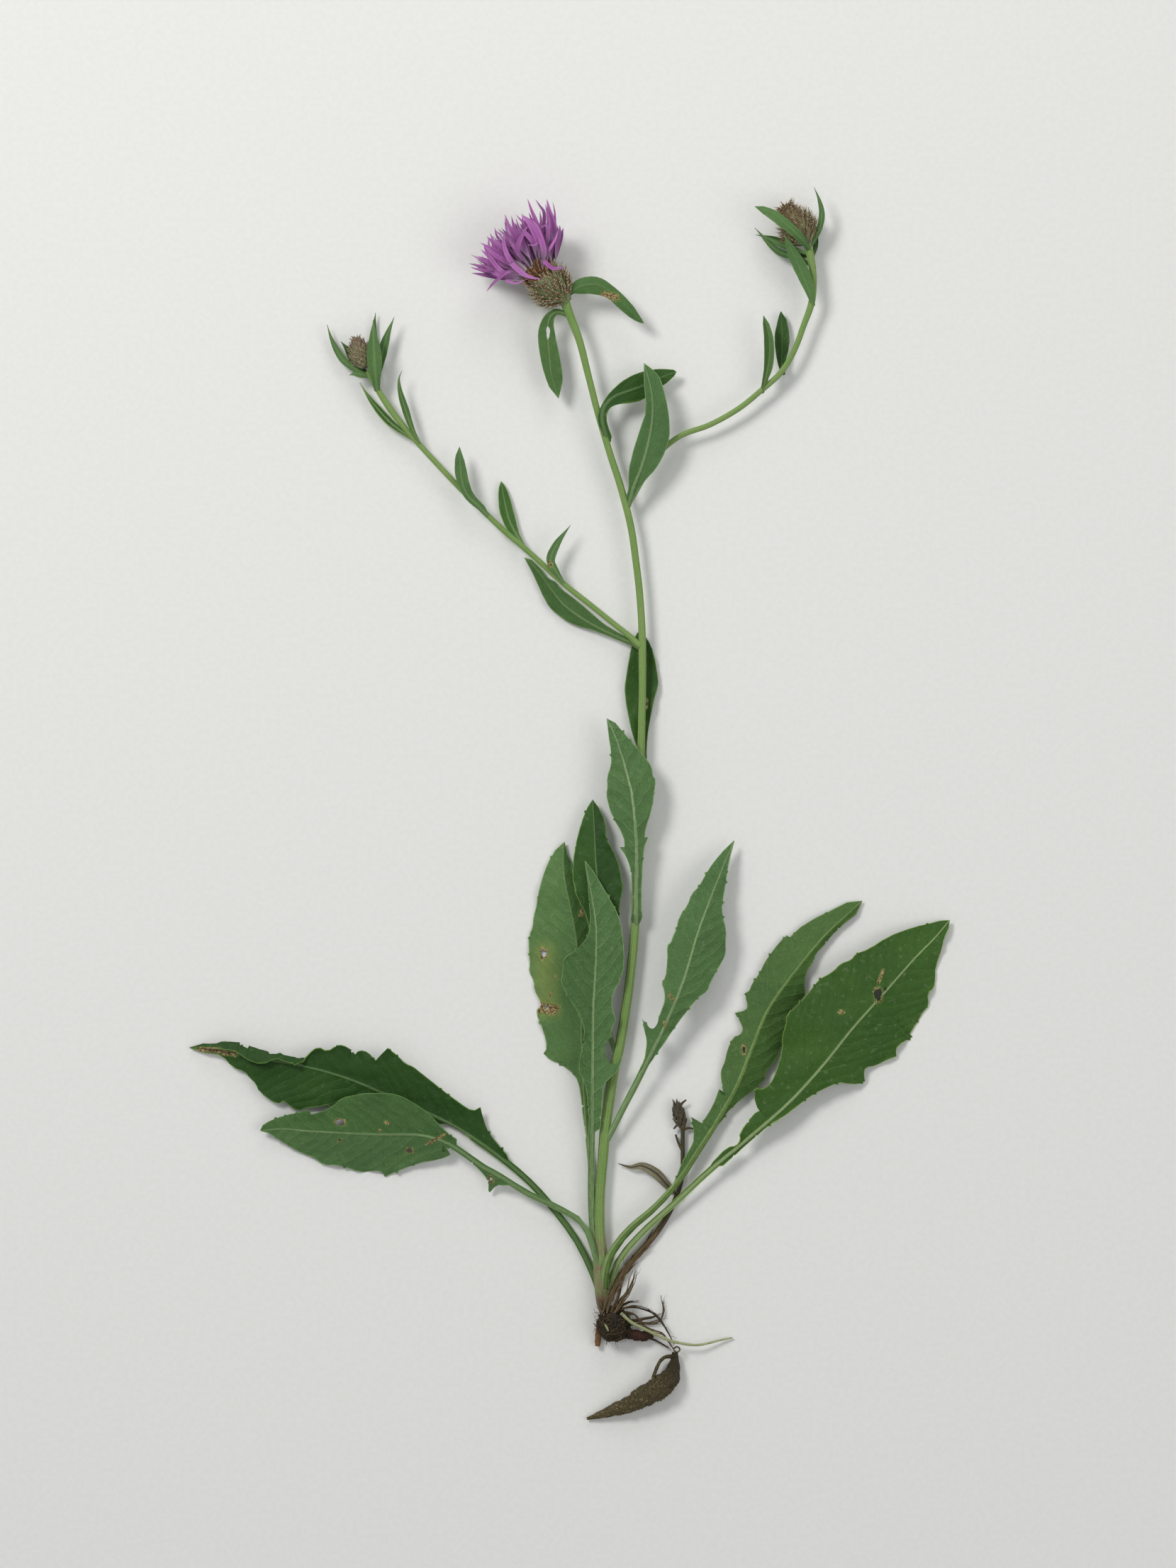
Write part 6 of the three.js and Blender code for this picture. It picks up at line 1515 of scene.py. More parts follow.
def vein_effect():
    """Side veins that slant off the midrib and the fine net between them."""
    def build(n, given):
        split = n.new("ShaderNodeSeparateXYZ")
        n.feed(split.inputs[0], given["Place"])
        along, across, edge = split.outputs
        out = n.math("ABSOLUTE", across)
        sway = n.times(n.minus(n.noise(given["Place"], 0.1), 0.5), 7.0)
        slanted = n.minus(along, n.times(out, given["Slant"]))
        arched = n.minus(slanted, n.times(n.math("POWER", out, 2.0), 0.03))
        other = n.times(n.math("GREATER_THAN", across, 0.0), 0.47)
        turns = n.plus(n.math("DIVIDE", n.plus(arched, sway), given["Spacing"]), other)
        away = n.times(n.math("PINGPONG", turns, 0.5), given["Spacing"])
        line = n.band(away, 0.1, 0.42, 1.0, 0.0)
        vein = n.times(line, n.band(edge, 0.4, 3.0, 0.25, 1.0))
        small, fine = (
            n.band(n.cells(given["Place"], n.math("DIVIDE", k, given["Net Size"])), 0.02, wide, 1.0, 0.0)
            for k, wide in ((1.0, 0.13), (2.6, 0.16))
        )
        net = n.math("MAXIMUM", small, n.times(fine, 0.5))
        pillow = n.times(n.math("PINGPONG", turns, 0.5), -1.6)
        lines = n.plus(n.times(vein, 0.6), n.times(net, 0.22))
        height = n.plus(lines, pillow)
        return {"Vein": vein, "Net": net, "Height": height}

    return effect(
        "Leaf veins",
        [
            ("Place", "NodeSocketVector", None), ("Spacing", "NodeSocketFloat", 6.5),
            ("Slant", "NodeSocketFloat", 1.0), ("Net Size", "NodeSocketFloat", 1.9),
        ],
        [("Vein", "NodeSocketFloat"), ("Net", "NodeSocketFloat"), ("Height", "NodeSocketFloat")],
        build,
    )


def mottle_effect():
    """A colour made uneven by broad patches and fine grain."""
    def build(n, given):
        broad = n.band(n.noise(given["Spot"], 0.045, 3.0), 0.3, 0.7)
        grain = n.noise(given["Spot"], given["Grain"], 4.0)
        uneven = n.blend(n.times(broad, given["Amount"]), given["Colour"], given["Other"])
        strength = n.times(n.minus(grain, 0.5), given["Contrast"])
        light = n.plus(1.0, strength)
        shade = n.new("ShaderNodeCombineColor")
        for socket in shade.inputs:
            n.feed(socket, light)
        return {"Colour": n.blend(1.0, uneven, shade.outputs[0], "MULTIPLY"), "Grain": grain}

    return effect(
        "Uneven colour",
        [
            ("Spot", "NodeSocketVector", None), ("Colour", "NodeSocketColor", None),
            ("Other", "NodeSocketColor", None), ("Amount", "NodeSocketFloat", 0.7),
            ("Grain", "NodeSocketFloat", 1.2), ("Contrast", "NodeSocketFloat", 0.5),
        ],
        [("Colour", "NodeSocketColor"), ("Grain", "NodeSocketFloat")],
        build,
    )


def shared_effects():
    """The two effects, made once and used by all the looks."""
    groups = bpy.data.node_groups
    return (
        groups.get("Leaf veins") or vein_effect(),
        groups.get("Uneven colour") or mottle_effect(),
    )


# Depth in metres that the looks' bumps seem to have.
RELIEF_DISTANCE = 0.0006


def material(name, build, roughness, specular, sheen=0.0, bump=0.3):
    """A procedural material. The build function gives its colour and, if it has one, its height."""
    if bpy.data.materials.get(name):
        return bpy.data.materials[name]
    made = bpy.data.materials.new(name)
    made.use_nodes = True
    n = Nodes(made.node_tree)
    surface = made.node_tree.nodes["Principled BSDF"]
    surface.inputs["Roughness"].default_value = roughness
    surface.inputs["Sheen Weight"].default_value = sheen
    surface.inputs["Specular IOR Level"].default_value = specular
    colour, height = build(n)
    n.feed(surface.inputs["Base Color"], colour)
    if height is not None:
        relief = n.new("ShaderNodeBump")
        relief.inputs["Strength"].default_value = bump
        relief.inputs["Distance"].default_value = RELIEF_DISTANCE
        n.feed(relief.inputs["Height"], height)
        n.feed(surface.inputs["Normal"], relief.outputs[0])
    return made


def leaf_look(
    name, flesh, colours, vein_share, net_share, rough, relief, spacing=6.4, slant=0.95, net_size=1.1
):
    """A leaf's face: flesh, veins and net, a pale rib and margin, and its yellow and brown marks."""
    other, vein_colour, rib_colour, turned, margin_colour = colours

    def build(n):
        veins, mottle = shared_effects()
        place, _, _, edge = n.attribute("place")
        _, rib, yellowing, brown = n.attribute("tone")
        _, light, warm, rib_share = n.attribute("look")
        spot = n.spot()
        base = use(n, mottle, Spot=spot, Colour=flesh, Other=other, Amount=0.8, Grain=0.9, Contrast=0.5)
        colour = n.blend(n.times(yellowing, 0.5), base[0], turned)
        clear = n.math("MINIMUM", rib_share, 1.0)
        bloom = n.times(n.band(n.noise(spot, 0.5, 4.0), 0.58, 0.72, 0.0, 0.16), clear)
        colour = n.blend(bloom, colour, "9aa58c")
        lines = use(n, veins, Place=place, Spacing=spacing, Slant=slant, Net_Size=net_size)
        for title, strength in (("Net", net_share), ("Vein", vein_share)):
            seen = n.times(n.times(lines[title], strength), clear)
            colour = n.blend(seen, colour, vein_colour)
        edging = n.band(edge, 0.1, 0.34, 0.75, 0.0)
        margin = n.times(edging, n.band(rib_share, 0.2, 0.8, 0.12, 1.0))
        colour = n.blend(margin, colour, margin_colour)
        ridge = n.times(n.band(rib, 0.15, 0.9, 0.0, 0.9), rib_share)
        colour = n.blend(ridge, colour, rib_colour)
        # The leaf's lightness and warmth; the lightness carries painted shade on a half that lies in
        # shadow.
        own = n.new("ShaderNodeCombineColor")
        for socket, depth, share in zip(own.inputs, (1.15, 0.9, 1.3), (0.3, 0.08, -0.35)):
            level = n.math("MULTIPLY_ADD", light, depth, 1.0)
            n.feed(socket, n.math("MAXIMUM", n.math("MULTIPLY_ADD", warm, share, level), 0.05))
        colour = n.blend(1.0, colour, own.outputs[0], "MULTIPLY")
        uneven = n.minus(n.noise(spot, 0.9, 4.0), 0.5)
        ragged = n.plus(brown, n.times(uneven, 2.6))
        damage = n.times(n.band(ragged, 0.45, 0.62), n.math("GREATER_THAN", brown, 0.03))
        dry = n.blend(n.band(n.noise(spot, 1.5, 3.0), 0.4, 0.6), "54401f", "a8966a")
        colour = n.blend(n.times(n.band(brown, 0.0, 0.4), 0.35), colour, "7d8a3c")
        colour = n.blend(damage, colour, dry)
        raised = n.times(n.times(lines["Height"], relief), clear)
        height = n.plus(raised, n.times(base[1], 0.25))
        return colour, height

    return material(name, build, rough, specular=0.25, bump=0.9)


PALE_SIDE = ("456838", "7d9b66", "95ae7a", "84924a", "8caa6c")
DARK_SIDE = ("284c15", "4c7430", "86a070", "7c9648", "86aa50")


def leaf_looks(name, settings):
    """The underside and upper side of a leaf. Leaves of the upper stem have finer, steeper veins."""
    under, upper = settings.under_colour, settings.upper_colour
    if name.startswith(UPPER_LEAVES):
        return (
            leaf_look("stem leaf underside", under, PALE_SIDE, 0.22, 0.1, 0.62, 0.35, 2.4, 2.6, 0.8),
            leaf_look("stem leaf upper side", upper, DARK_SIDE, 0.16, 0.06, 0.5, -0.3, 3.0, 2.2, 0.9),
        )
    return (
        leaf_look("leaf underside", under, PALE_SIDE, 0.4, 0.16, 0.66, 0.6),
        leaf_look("leaf upper side", upper, DARK_SIDE, 0.26, 0.08, 0.52, -0.35),
    )


def streaked(n):
    """Fine lengthwise streaks along a stalk, and the share of its length at each point."""
    _, along, around, share = n.attribute("place")
    stretched = n.new("ShaderNodeCombineXYZ")
    n.feed(stretched.inputs[0], n.times(along, 0.12))
    n.feed(stretched.inputs[1], n.times(around, 3.0))
    return n.noise(stretched.outputs[0], 1.5, 3.0), share


def stem_look(green):
    """A ribbed green skin with fine streaks, a purplish blush and a brown base."""
    def build(n):
        _, mottle = shared_effects()
        streak, _ = streaked(n)
        _, ridge, blush, brown = n.attribute("tone")
        base = use(n, mottle, Spot=n.spot(), Colour=green, Other="7f9a55", Grain=1.4, Contrast=0.4)
        colour = n.blend(n.band(ridge, -0.9, 0.3, 0.2, 0.0), base[0], "507236")
        colour = n.blend(n.band(streak, 0.35, 0.75, 0.0, 0.35), colour, "98ab68")
        purple = n.times(blush, n.band(n.noise(n.spot(4.0), 1.0, 2.0), 0.3, 0.65))
        colour = n.blend(purple, colour, "8a5560")
        colour = n.blend(n.times(brown, 0.85), colour, "5a4a30")
        return colour, streak

    return material("ribbed green stem", build, 0.55, sheen=0.05, specular=0.3, bump=0.4)


def petal_look(mauve):
    """Pale tubes that turn mauve in their lobes, with a dark middle line and fine streaks."""
    def build(n):
        _, level, shade, rim = n.attribute("tone")
        _, along, across, _ = n.attribute("place")
        tube_colour = n.blend(n.band(level, -0.9, 0.1), "c4b8b4", "b48cb0")
        lobe_colour = n.blend(n.band(level, 0.05, 0.45), tube_colour, mauve)
        lobe_colour = n.blend(n.band(level, 0.5, 1.0, 0.0, 0.5), lobe_colour, "bf7cbc")
        # The shade number darkens a lobe: partly its own random tone and partly painted shade on the
        # lower, deeper lobes.
        colour = n.blend(shade, lobe_colour, "5c2c60")
        middle = n.times(n.band(rim, 0.0, 0.35, 0.4, 0.0), n.band(level, 0.05, 0.3))
        colour = n.blend(middle, colour, "7a4480")
        streak = n.new("ShaderNodeCombineXYZ")
        n.feed(streak.inputs[0], n.times(along, 1.4))
        n.feed(streak.inputs[1], n.times(across, 4.0))
        n.feed(streak.inputs[2], n.times(shade, 9.0))
        fibre = n.noise(streak.outputs[0], 1.6, 3.0)
        colour = n.blend(n.band(fibre, 0.4, 0.75, 0.0, 0.4), colour, "cf9ccb")
        colour = n.blend(n.band(fibre, 0.25, 0.45, 0.3, 0.0), colour, "7a3f7c")
        return colour, fibre

    return material("mauve floret", build, 0.5, sheen=0.35, specular=0.3, bump=0.25)


# Plain skins: two colours, the colour of the painted shade in the hollows, grain, roughness and contrast.
PLAIN_LOOKS = {
    "pale young root": ("a6aa82", "959a6a", "555434", 1.0, 0.5, 0.6),
    "orange-brown root stub": ("785834", "5a4426", "3a2614", 1.2, 0.75, 1.0),
    "grey dry leaf": ("857e66", "5e5842", "3a3626", 1.2, 0.8, 1.1),
    "fine root fibre": ("6e5c3e", "54452c", "2e2416", 1.4, 0.75, 0.7),
    "dark root fibre": ("40341f", "2c2418", "1a140c", 1.4, 0.75, 0.8),
    "anther tube": ("6a3f6e", "54305c", "2e1a30", 2.0, 0.5, 0.5),
    "white style tip": ("efe6ea", "e2d4e0", "b79ab4", 2.0, 0.5, 0.3),
    "pale stem hair": ("b9b79a", "a39f80", "7a775c", 2.0, 0.7, 0.3),
}


def simple_look(name, colour, other, deep, grain, rough, contrast, bump=0.5):
    """A dry or soft skin: two mottled colours with painted shade, a darker colour in the hollows where the
    mesh is toned down.
    """
    def build(n):
        _, mottle = shared_effects()
        _, hollow_shade, _, _ = n.attribute("tone")
        base = use(
            n, mottle, Spot=n.spot(), Colour=colour, Other=other, Amount=1.0,
            Grain=grain, Contrast=contrast,
        )
        # Painted shade: the darker colour where the mesh's first tone number rises.
        shaded = n.blend(n.band(hollow_shade, 0.0, 1.0), base[0], deep)
        return shaded, base[1]

    return material(name, build, rough, specular=0.35, bump=bump)


def plain(*names):
    """The looks of those names from the table of plain skins."""
    return [simple_look(name, *PLAIN_LOOKS[name]) for name in names]


def bract_look(name, body, body_other, comb, comb_light, rim_colour, tooth_colour):
    """Scales of a head: a ribbed body and a dry, darker comb with pale teeth at the tip."""
    def build(n):
        _, ripe, shade, _ = n.attribute("tone")
        _, _, across, _ = n.attribute("place")
        grain = n.noise(n.spot(), 1.8, 3.0)
        flesh = n.blend(shade, body, body_other)
        stripe = n.band(n.math("PINGPONG", across, 0.32), 0.05, 0.25, 0.0, 0.3)
        flesh = n.blend(stripe, flesh, rim_colour)
        dry = n.blend(n.band(grain, 0.35, 0.7), comb, comb_light)
        dry = n.blend(n.band(ripe, 1.05, 1.7), dry, tooth_colour)
        colour = n.blend(n.band(ripe, 0.25, 0.75), flesh, dry)
        return colour, grain

    return material(name, build, 0.62, sheen=0.1, specular=0.35, bump=0.4)


# Scales: the colours that bract_look takes, in its order.
BRACT_LOOKS = {
    "shaggy bud scale": ("84865c", "5e4a2c", "38261a", "8a6a40", "a8a078", "cdbb92"),
    "young bud scale": ("8a9262", "523438", "44291c", "8c6440", "b0b08a", "dcd2b0"),
    "old head scale": ("4e4a36", "38322a", "2a2218", "5a5038", "5e5a46", "6e6650"),
}


def cork_look(brown):
    """A warty dead skin with dark cracks across it, a painted highlight on its warts, darker at its neck.
    """
    def build(n):
        _, mottle = shared_effects()
        _, along, around, share = n.attribute("place")
        base = use(n, mottle, Spot=n.spot(), Colour=brown, Other="544c36", Grain=2.0, Contrast=1.1)
        across = n.new("ShaderNodeCombineXYZ")
        n.feed(across.inputs[0], n.times(along, 3.4))
        n.feed(across.inputs[1], n.times(around, 1.5))
        crack = n.noise(across.outputs[0], 1.0, 4.0)
        deep = n.band(crack, 0.3, 0.58, 1.0, 0.0)
        colour = n.blend(n.times(deep, 0.6), base[0], "2a2418")
        # Raised warts, painted paler as a highlight.
        wart_and_highlight = n.band(n.noise(n.spot(), 0.9, 2.0), 0.52, 0.66)
        colour = n.blend(n.times(wart_and_highlight, 0.6), colour, "9c8c62")
        colour = n.blend(n.band(share, 0.1, 0.42, 0.75, 0.0), colour, "3a3528")
        return colour, n.minus(n.times(wart_and_highlight, 0.6), deep)

    return material("corky dead root", build, 0.85, specular=0.2, bump=0.9)


def straw_look():
    """A dry stalk: brown and peeling near the roots, with a painted highlight on its pale streaks, dull
    green further up.
    """
    def build(n):
        _, mottle = shared_effects()
        streak, share = streaked(n)
        green = use(n, mottle, Spot=n.spot(), Colour="4e4a36", Other="3c3a28", Grain=1.3, Contrast=0.8)
        # The pale streak colour is a painted highlight.
        brown = n.blend(n.band(streak, 0.4, 0.62), "2e2418", "86704a")
        return n.blend(n.band(share, 0.35, 0.62), brown, green[0]), streak

    return material("dry straw stalk", build, 0.75, specular=0.3, bump=0.7)


def chaff_look():
    """A dry amber skin with pale rims."""
    def build(n):
        _, _, _, rim = n.attribute("tone")
        grain = n.noise(n.spot(), 1.4, 3.0)
        colour = n.blend(n.band(grain, 0.4, 0.62), "35200f", "6e441e")
        colour = n.blend(n.band(rim, 0.55, 1.0, 0.0, 0.8), colour, "bd9256")
        return colour, grain

    return material("amber papery bract", build, 0.4, specular=0.5, bump=0.8)


# Settings, one operator for each piece or group of like pieces, and the panel.


def colour_setting(name, description, code):
    """A colour in the panel, with its hex code as its default."""
    return bpy.props.FloatVectorProperty(
        name=name, description=description, default=tint(code), size=4, min=0, max=1, subtype="COLOR",
    )


def length_setting(name, description, default, least, most):
    """A length in the panel, in metres."""
    return bpy.props.FloatProperty(
        name=name, description=description, default=default, min=least, max=most, unit="LENGTH",
    )


class LeafSettings(bpy.types.PropertyGroup):
    under_colour: colour_setting("Underside", "Colour of the undersides of the leaves", "527540")
    upper_colour: colour_setting("Upper side", "Colour of the upper sides of the leaves", "365b1f")
    blade_thickness: length_setting(
        "Blade thickness", "Thickness of a leaf blade between its veins", 0.00045, 0.0002, 0.0008
    )
    lanes: bpy.props.IntProperty(
        name="Lanes", description="Strips of faces between the midrib and each margin",
        default=9, min=3, max=14,
    )


class StemSettings(bpy.types.PropertyGroup):
    colour: colour_setting("Stem colour", "Green of the stem and its branches", "6f9048")
    ridges: bpy.props.IntProperty(
        name="Ridges", description="Raised ribs round the main stem", default=9, min=5, max=14,
    )
    ridge_depth: bpy.props.FloatProperty(
        name="Ridge depth", description="Height of a rib as a share of the stem's radius",
        default=0.045, min=0.0, max=0.2, subtype="FACTOR",
    )
    hair_length: length_setting(
        "Hair length", "Length of the short hairs on the stems", 0.0011, 0.0, 0.003
    )


class FlowerSettings(bpy.types.PropertyGroup):
    petal_colour: colour_setting("Florets", "Mauve of the florets' lobes", "ac5aa6")
    scale_colour: colour_setting("Scales", "Green of the scales round the head", "667446")
    extra_florets: bpy.props.IntProperty(
        name="Extra florets", description="Slimmer florets placed between the main ones",
        default=40, min=0, max=60,
    )
    scale_count: bpy.props.IntProperty(
        name="Head scales", description="Scales round the base of the flower head",
        default=190, min=30, max=260,
    )


class RootSettings(bpy.types.PropertyGroup):
    bark_colour: colour_setting("Bark", "Brown of the root ball", "3a3324")
    cork_colour: colour_setting("Cork", "Brown of the dead rhizome", "6f6446")
    fibre_count: bpy.props.IntProperty(
        name="Fine fibres", description="Hair-thin fibres round the root ball",
        default=240, min=0, max=400,
    )
    roughness: length_setting("Bark relief", "Depth of the bark's lumps", 0.0006, 0.0, 0.0015)


class StageSettings(bpy.types.PropertyGroup):
    floor_colour: colour_setting("Floor", "Colour of the floor", "e8e7e3")
    camera_height: length_setting(
        "Camera height", "Height of the camera over the surface", 2.2, 1.0, 5.0
    )
    framed_height: length_setting(
        "Framed height", "Length of surface that the picture's height shows",
        PHOTO_SIZE[1] * SCALE * MM, 0.3, 1.5,
    )


class MakeStems(bpy.types.Operator):
    """Builds the ribbed main stem, its two branches and their hairs"""
    bl_idname = "knapweed.stems"
    bl_label = "Stems"

    def execute(self, context):
        settings = context.scene.knapweed_stem
        routes = (
            ("main_stem", MAIN_STEM, settings.ridges, 54),
            ("left_branch", LEFT_BRANCH, 7, 42),
            ("right_branch", RIGHT_BRANCH, 7, 42),
        )
        for seed, (name, rows, ridges, sides) in enumerate(routes):
            parts = Parts()

            def ribs(length, angle, count=ridges, deep=settings.ridge_depth):
                uneven = 0.02 * np.sin(length * 0.31 + angle)
                return 1 - deep * 0.6 + deep * np.cos(count * angle) + uneven

            def tone(share, angle, count=ridges, whole=name == "main_stem"):
                ridge = np.cos(count * angle[None, :]) + 0 * share[:, None]
                low = share[:, None] + 0 * angle[None, :]
                blush = smooth(0.9, 0.965, low) * (0.75 if whole else 0)
                brown = smooth(0.972, 0.995, low) * (1.0 if whole else 0)
                return np.stack([ridge, blush, brown], -1).reshape(-1, 3)

            route = sweep(parts, rows, sides, step=2.2, swell=ribs, tone=tone)
            stem_hairs(parts, route, settings.hair_length / MM, seed)
            parts.make(name, [stem_look(settings.colour), *plain("pale stem hair")], sharp=60)
        return {"FINISHED"}


def round_about(route, share, angle, depth):
    """Places on a swept route at a share of its radius, with the ways out of it and along it."""
    tangent = route.tangent(share)
    side = unit(np.cross(tangent, UP))
    out = side * np.cos(angle)[:, None] + np.cross(side, tangent) * np.sin(angle)[:, None]
    return route.at(share) + out * (route.column(share, 3) * depth)[:, None], out, tangent


def stem_hairs(parts, route, length, seed):
    """Short pale hairs, thickest near the crown."""
    draw = np.random.RandomState(40 + seed)
    count = int(route.length * (2.2 if seed == 0 else 0.5))
    share = draw.uniform(0.0, 0.98, count) ** (0.3 if seed == 0 else 1.0)
    angle = draw.uniform(0, 2 * math.pi, count)
    roots, out, tangent = round_about(route, share, angle, 0.93)
    ways = unit(out - tangent * draw.uniform(-0.4, 0.9, count)[:, None])
    hairs(parts, roots, ways, length, width=0.09, finish=1, seed=60 + seed)


class MakeLeaves(bpy.types.Operator):
    """Builds the lobed and toothed leaves, each with its stalk, midrib and insect holes"""
    bl_idname = "knapweed.leaves"
    bl_label = "Lobed leaves"

    def execute(self, context):
        settings = context.scene.knapweed_leaf
        for name, spec in LEAVES.items():
            parts = Parts()
            looks = leaf_looks(name, settings)
            shown, hidden = looks if spec["look"] == "back" else looks[::-1]
            if any("fold" in side for side in spec["sides"]):
                hidden = shown
            blade(parts, spec, name, settings, (0, 1))
            parts.make(name, [shown, hidden], sharp=45)
        return {"FINISHED"}


class MakeNarrowLeaves(bpy.types.Operator):
    """Builds the narrow leaves of the branches and of the two buds"""
    bl_idname = "knapweed.narrow_leaves"
    bl_label = "Narrow leaves"

    def execute(self, context):
        settings = context.scene.knapweed_leaf
        for name, (width, rib) in NARROW_LEAVES.items():
            parts = Parts()
            looks = leaf_looks(name, settings)
            narrow_blade(parts, rib, width, settings, (0, 1), name)
            if name in UPPER_SIDE_UP:
                parts.make(name, looks[::-1], sharp=45)
            else:
                parts.make(name, looks, sharp=45)
        return {"FINISHED"}


class MakeFlower(bpy.types.Operator):
    """Builds the flower head: its scaly base and its fan of mauve florets"""
    bl_idname = "knapweed.flower"
    bl_label = "Flower head"

    def execute(self, context):
        settings = context.scene.knapweed_flower
        self.flower_base(settings)
        head = Parts()
        fan = Axis(FAN_ROOT, FAN_TIP)
        self.main_florets(head, fan)
        self.extra_florets(head, fan, settings.extra_florets)
        self.front_lobes(head)
        looks = [petal_look(settings.petal_colour), *plain("anther tube", "white style tip")]
        head.make("florets", looks, sharp=60)
        return {"FINISHED"}

    def flower_base(self, settings):
        """The scaly base with its papery bracts at the mouth."""
        base = Parts()
        egg = Egg(**HEAD)
        egg.body(base)
        bracts(base, egg, {**HEAD_SCALES, "count": settings.scale_count}, seed=5)
        for k, line in enumerate(PAPERY_BRACTS):
            twist = 0.8 * math.sin(k * 1.9)
            strap(base, photo(line), 2.3, UP, cup=-0.5, twist=twist, finish=1, shade=0.2, blunt=0.5)
        scales = bract_look(
            "involucre scale", settings.scale_colour, "8a8c62", "4e2e12", "9c6a34", "b4b48c", "d8d0ac"
        )
        base.make("flower_base", [scales, chaff_look()], sharp=40)

    def main_florets(self, head, fan):
        """The florets that the solids have too, in two rings."""
        draw = dice(11)
        detail = np.random.RandomState(3)
        for ring in FAN_RINGS:
            for k in range(ring["count"]):
                spin = 2 * math.pi * (k + 0.3 + 0.4 * next(draw)) / ring["count"]
                uneven = 0.9 + 0.2 * next(draw)
                sideways = ring["right"] if math.cos(spin) > 0 else ring["left"]
                longest = FLORET_LENGTH * ring["reach"] * (0.94 + 0.14 * next(draw))
                shorter = (0.3 if math.cos(spin) > 0 else 0.2) * abs(math.cos(spin))
                shape = {
                    "root": [ring["root"][0] * math.cos(spin), ring["root"][1] * math.sin(spin)],
                    "across": sideways * math.cos(spin) * uneven,
                    "rise": ring["up"] * math.sin(spin) * uneven,
                    "turn": 1.4 * (next(draw) - 0.5),
                    "reach": longest * (1 - shorter) * 0.97,
                    # Florets on the lower side of the fan get extra painted shade.
                    "shade": detail.uniform(0.0, 0.55) + (0.25 if math.sin(spin) < 0 else 0.0),
                }
                floret(head, fan, shape, detail, ring["reach"] < 1)

    def extra_florets(self, head, fan, count):
        """Slimmer florets between the main ones."""
        draw = np.random.RandomState(21)
        for k in range(count):
            spin = 2 * math.pi * (k * 0.618 + draw.uniform(0, 0.1))
            wide = draw.uniform(0.25, 1.0)
            sideways = 0.42 if math.cos(spin) > 0 else 0.8
            turn = draw.uniform(-0.8, 0.8)
            length = FLORET_LENGTH * draw.uniform(0.55, 0.9)
            shape = {
                "root": [4.2 * math.cos(spin) * wide, 3.4 * math.sin(spin) * wide],
                "across": sideways * math.cos(spin) * wide,
                "rise": 0.3 * math.sin(spin) * wide,
                "turn": turn,
                "reach": length * (1 - 0.2 * abs(math.cos(spin)) * wide),
                "shade": draw.uniform(0.1, 0.8),
            }
            floret(head, fan, shape, draw, k % 3 == 0)

    def front_lobes(self, head):
        """The lobes nearest the camera, each along its own line."""
        source = photo([FAN_ROOT])[0]
        for k, (width, shade, line) in enumerate(FRONT_LOBES):
            level = FRONT_LEVEL + 0.4 * math.sin(k * 2.1)
            rows = [[x, y, level - FRONT_FALL * (x - FRONT_MIDDLE) ** 2] for x, y in line]
            rows[0][2] -= 1.2
            points = photo(rows)
            claw = mix(source, points[0], 0.66) - [0, 0, 1.0]
            twist = 0.25 * math.sin(k * 1.7)
            line = np.vstack([claw, points])
            strap(head, line, width * SCALE, UP, cup=0.3, twist=twist, finish=0, shade=shade)
            low = mix(source, claw, 0.5) - [0, 0, 0.6]
            tube(head, [source, low, claw, mix(claw, points[0], 0.4)], [0.26, 0.22, 0.24, 0.12])
        for k, line in enumerate(PALE_TUBES):
            points = photo([[x, y, TUBE_LEVEL + 0.3 * (k % 3)] for x, y in line])
            tube(head, points, [0.5, 0.65, 0.12])
        for x, y, tip_x, tip_y in STYLE_TIPS:
            bow = [mix(x, tip_x, 0.5), mix(y, tip_y, 0.5) - 1, STYLE_LEVEL + 0.5]
            line = photo([[x, y, STYLE_LEVEL], bow, [tip_x, tip_y, STYLE_LEVEL + 0.3]])
            strap(head, line, 0.75, UP, cup=0.1, twist=0.4, finish=2)


class MakeBuds(bpy.types.Operator):
    """Builds the two closed buds with their overlapping scales"""
    bl_idname = "knapweed.buds"
    bl_label = "Buds"

    def execute(self, context):
        for seed, (name, body, scales, look, slot) in enumerate((
            ("left_bud", LEFT_BUD, LEFT_BUD_SCALES, "young bud scale", "scales"),
            ("right_bud", RIGHT_BUD, RIGHT_BUD_SCALES, "shaggy bud scale", "shaggy"),
        )):
            parts = Parts()
            egg = Egg(**body)
            egg.body(parts)
            bracts(parts, egg, scales, seed=30 + seed)
            parts.make(name, [bract_look(look, *BRACT_LOOKS[look])], sharp=40)
        return {"FINISHED"}


def scaly(length, angle):
    """The uneven rings of a living root: its radius as a share of the plain one."""
    return 1 + 0.1 * np.sin(length * 1.9 + 2 * angle) + 0.08 * np.sin(length * 4.3 - 3 * angle)


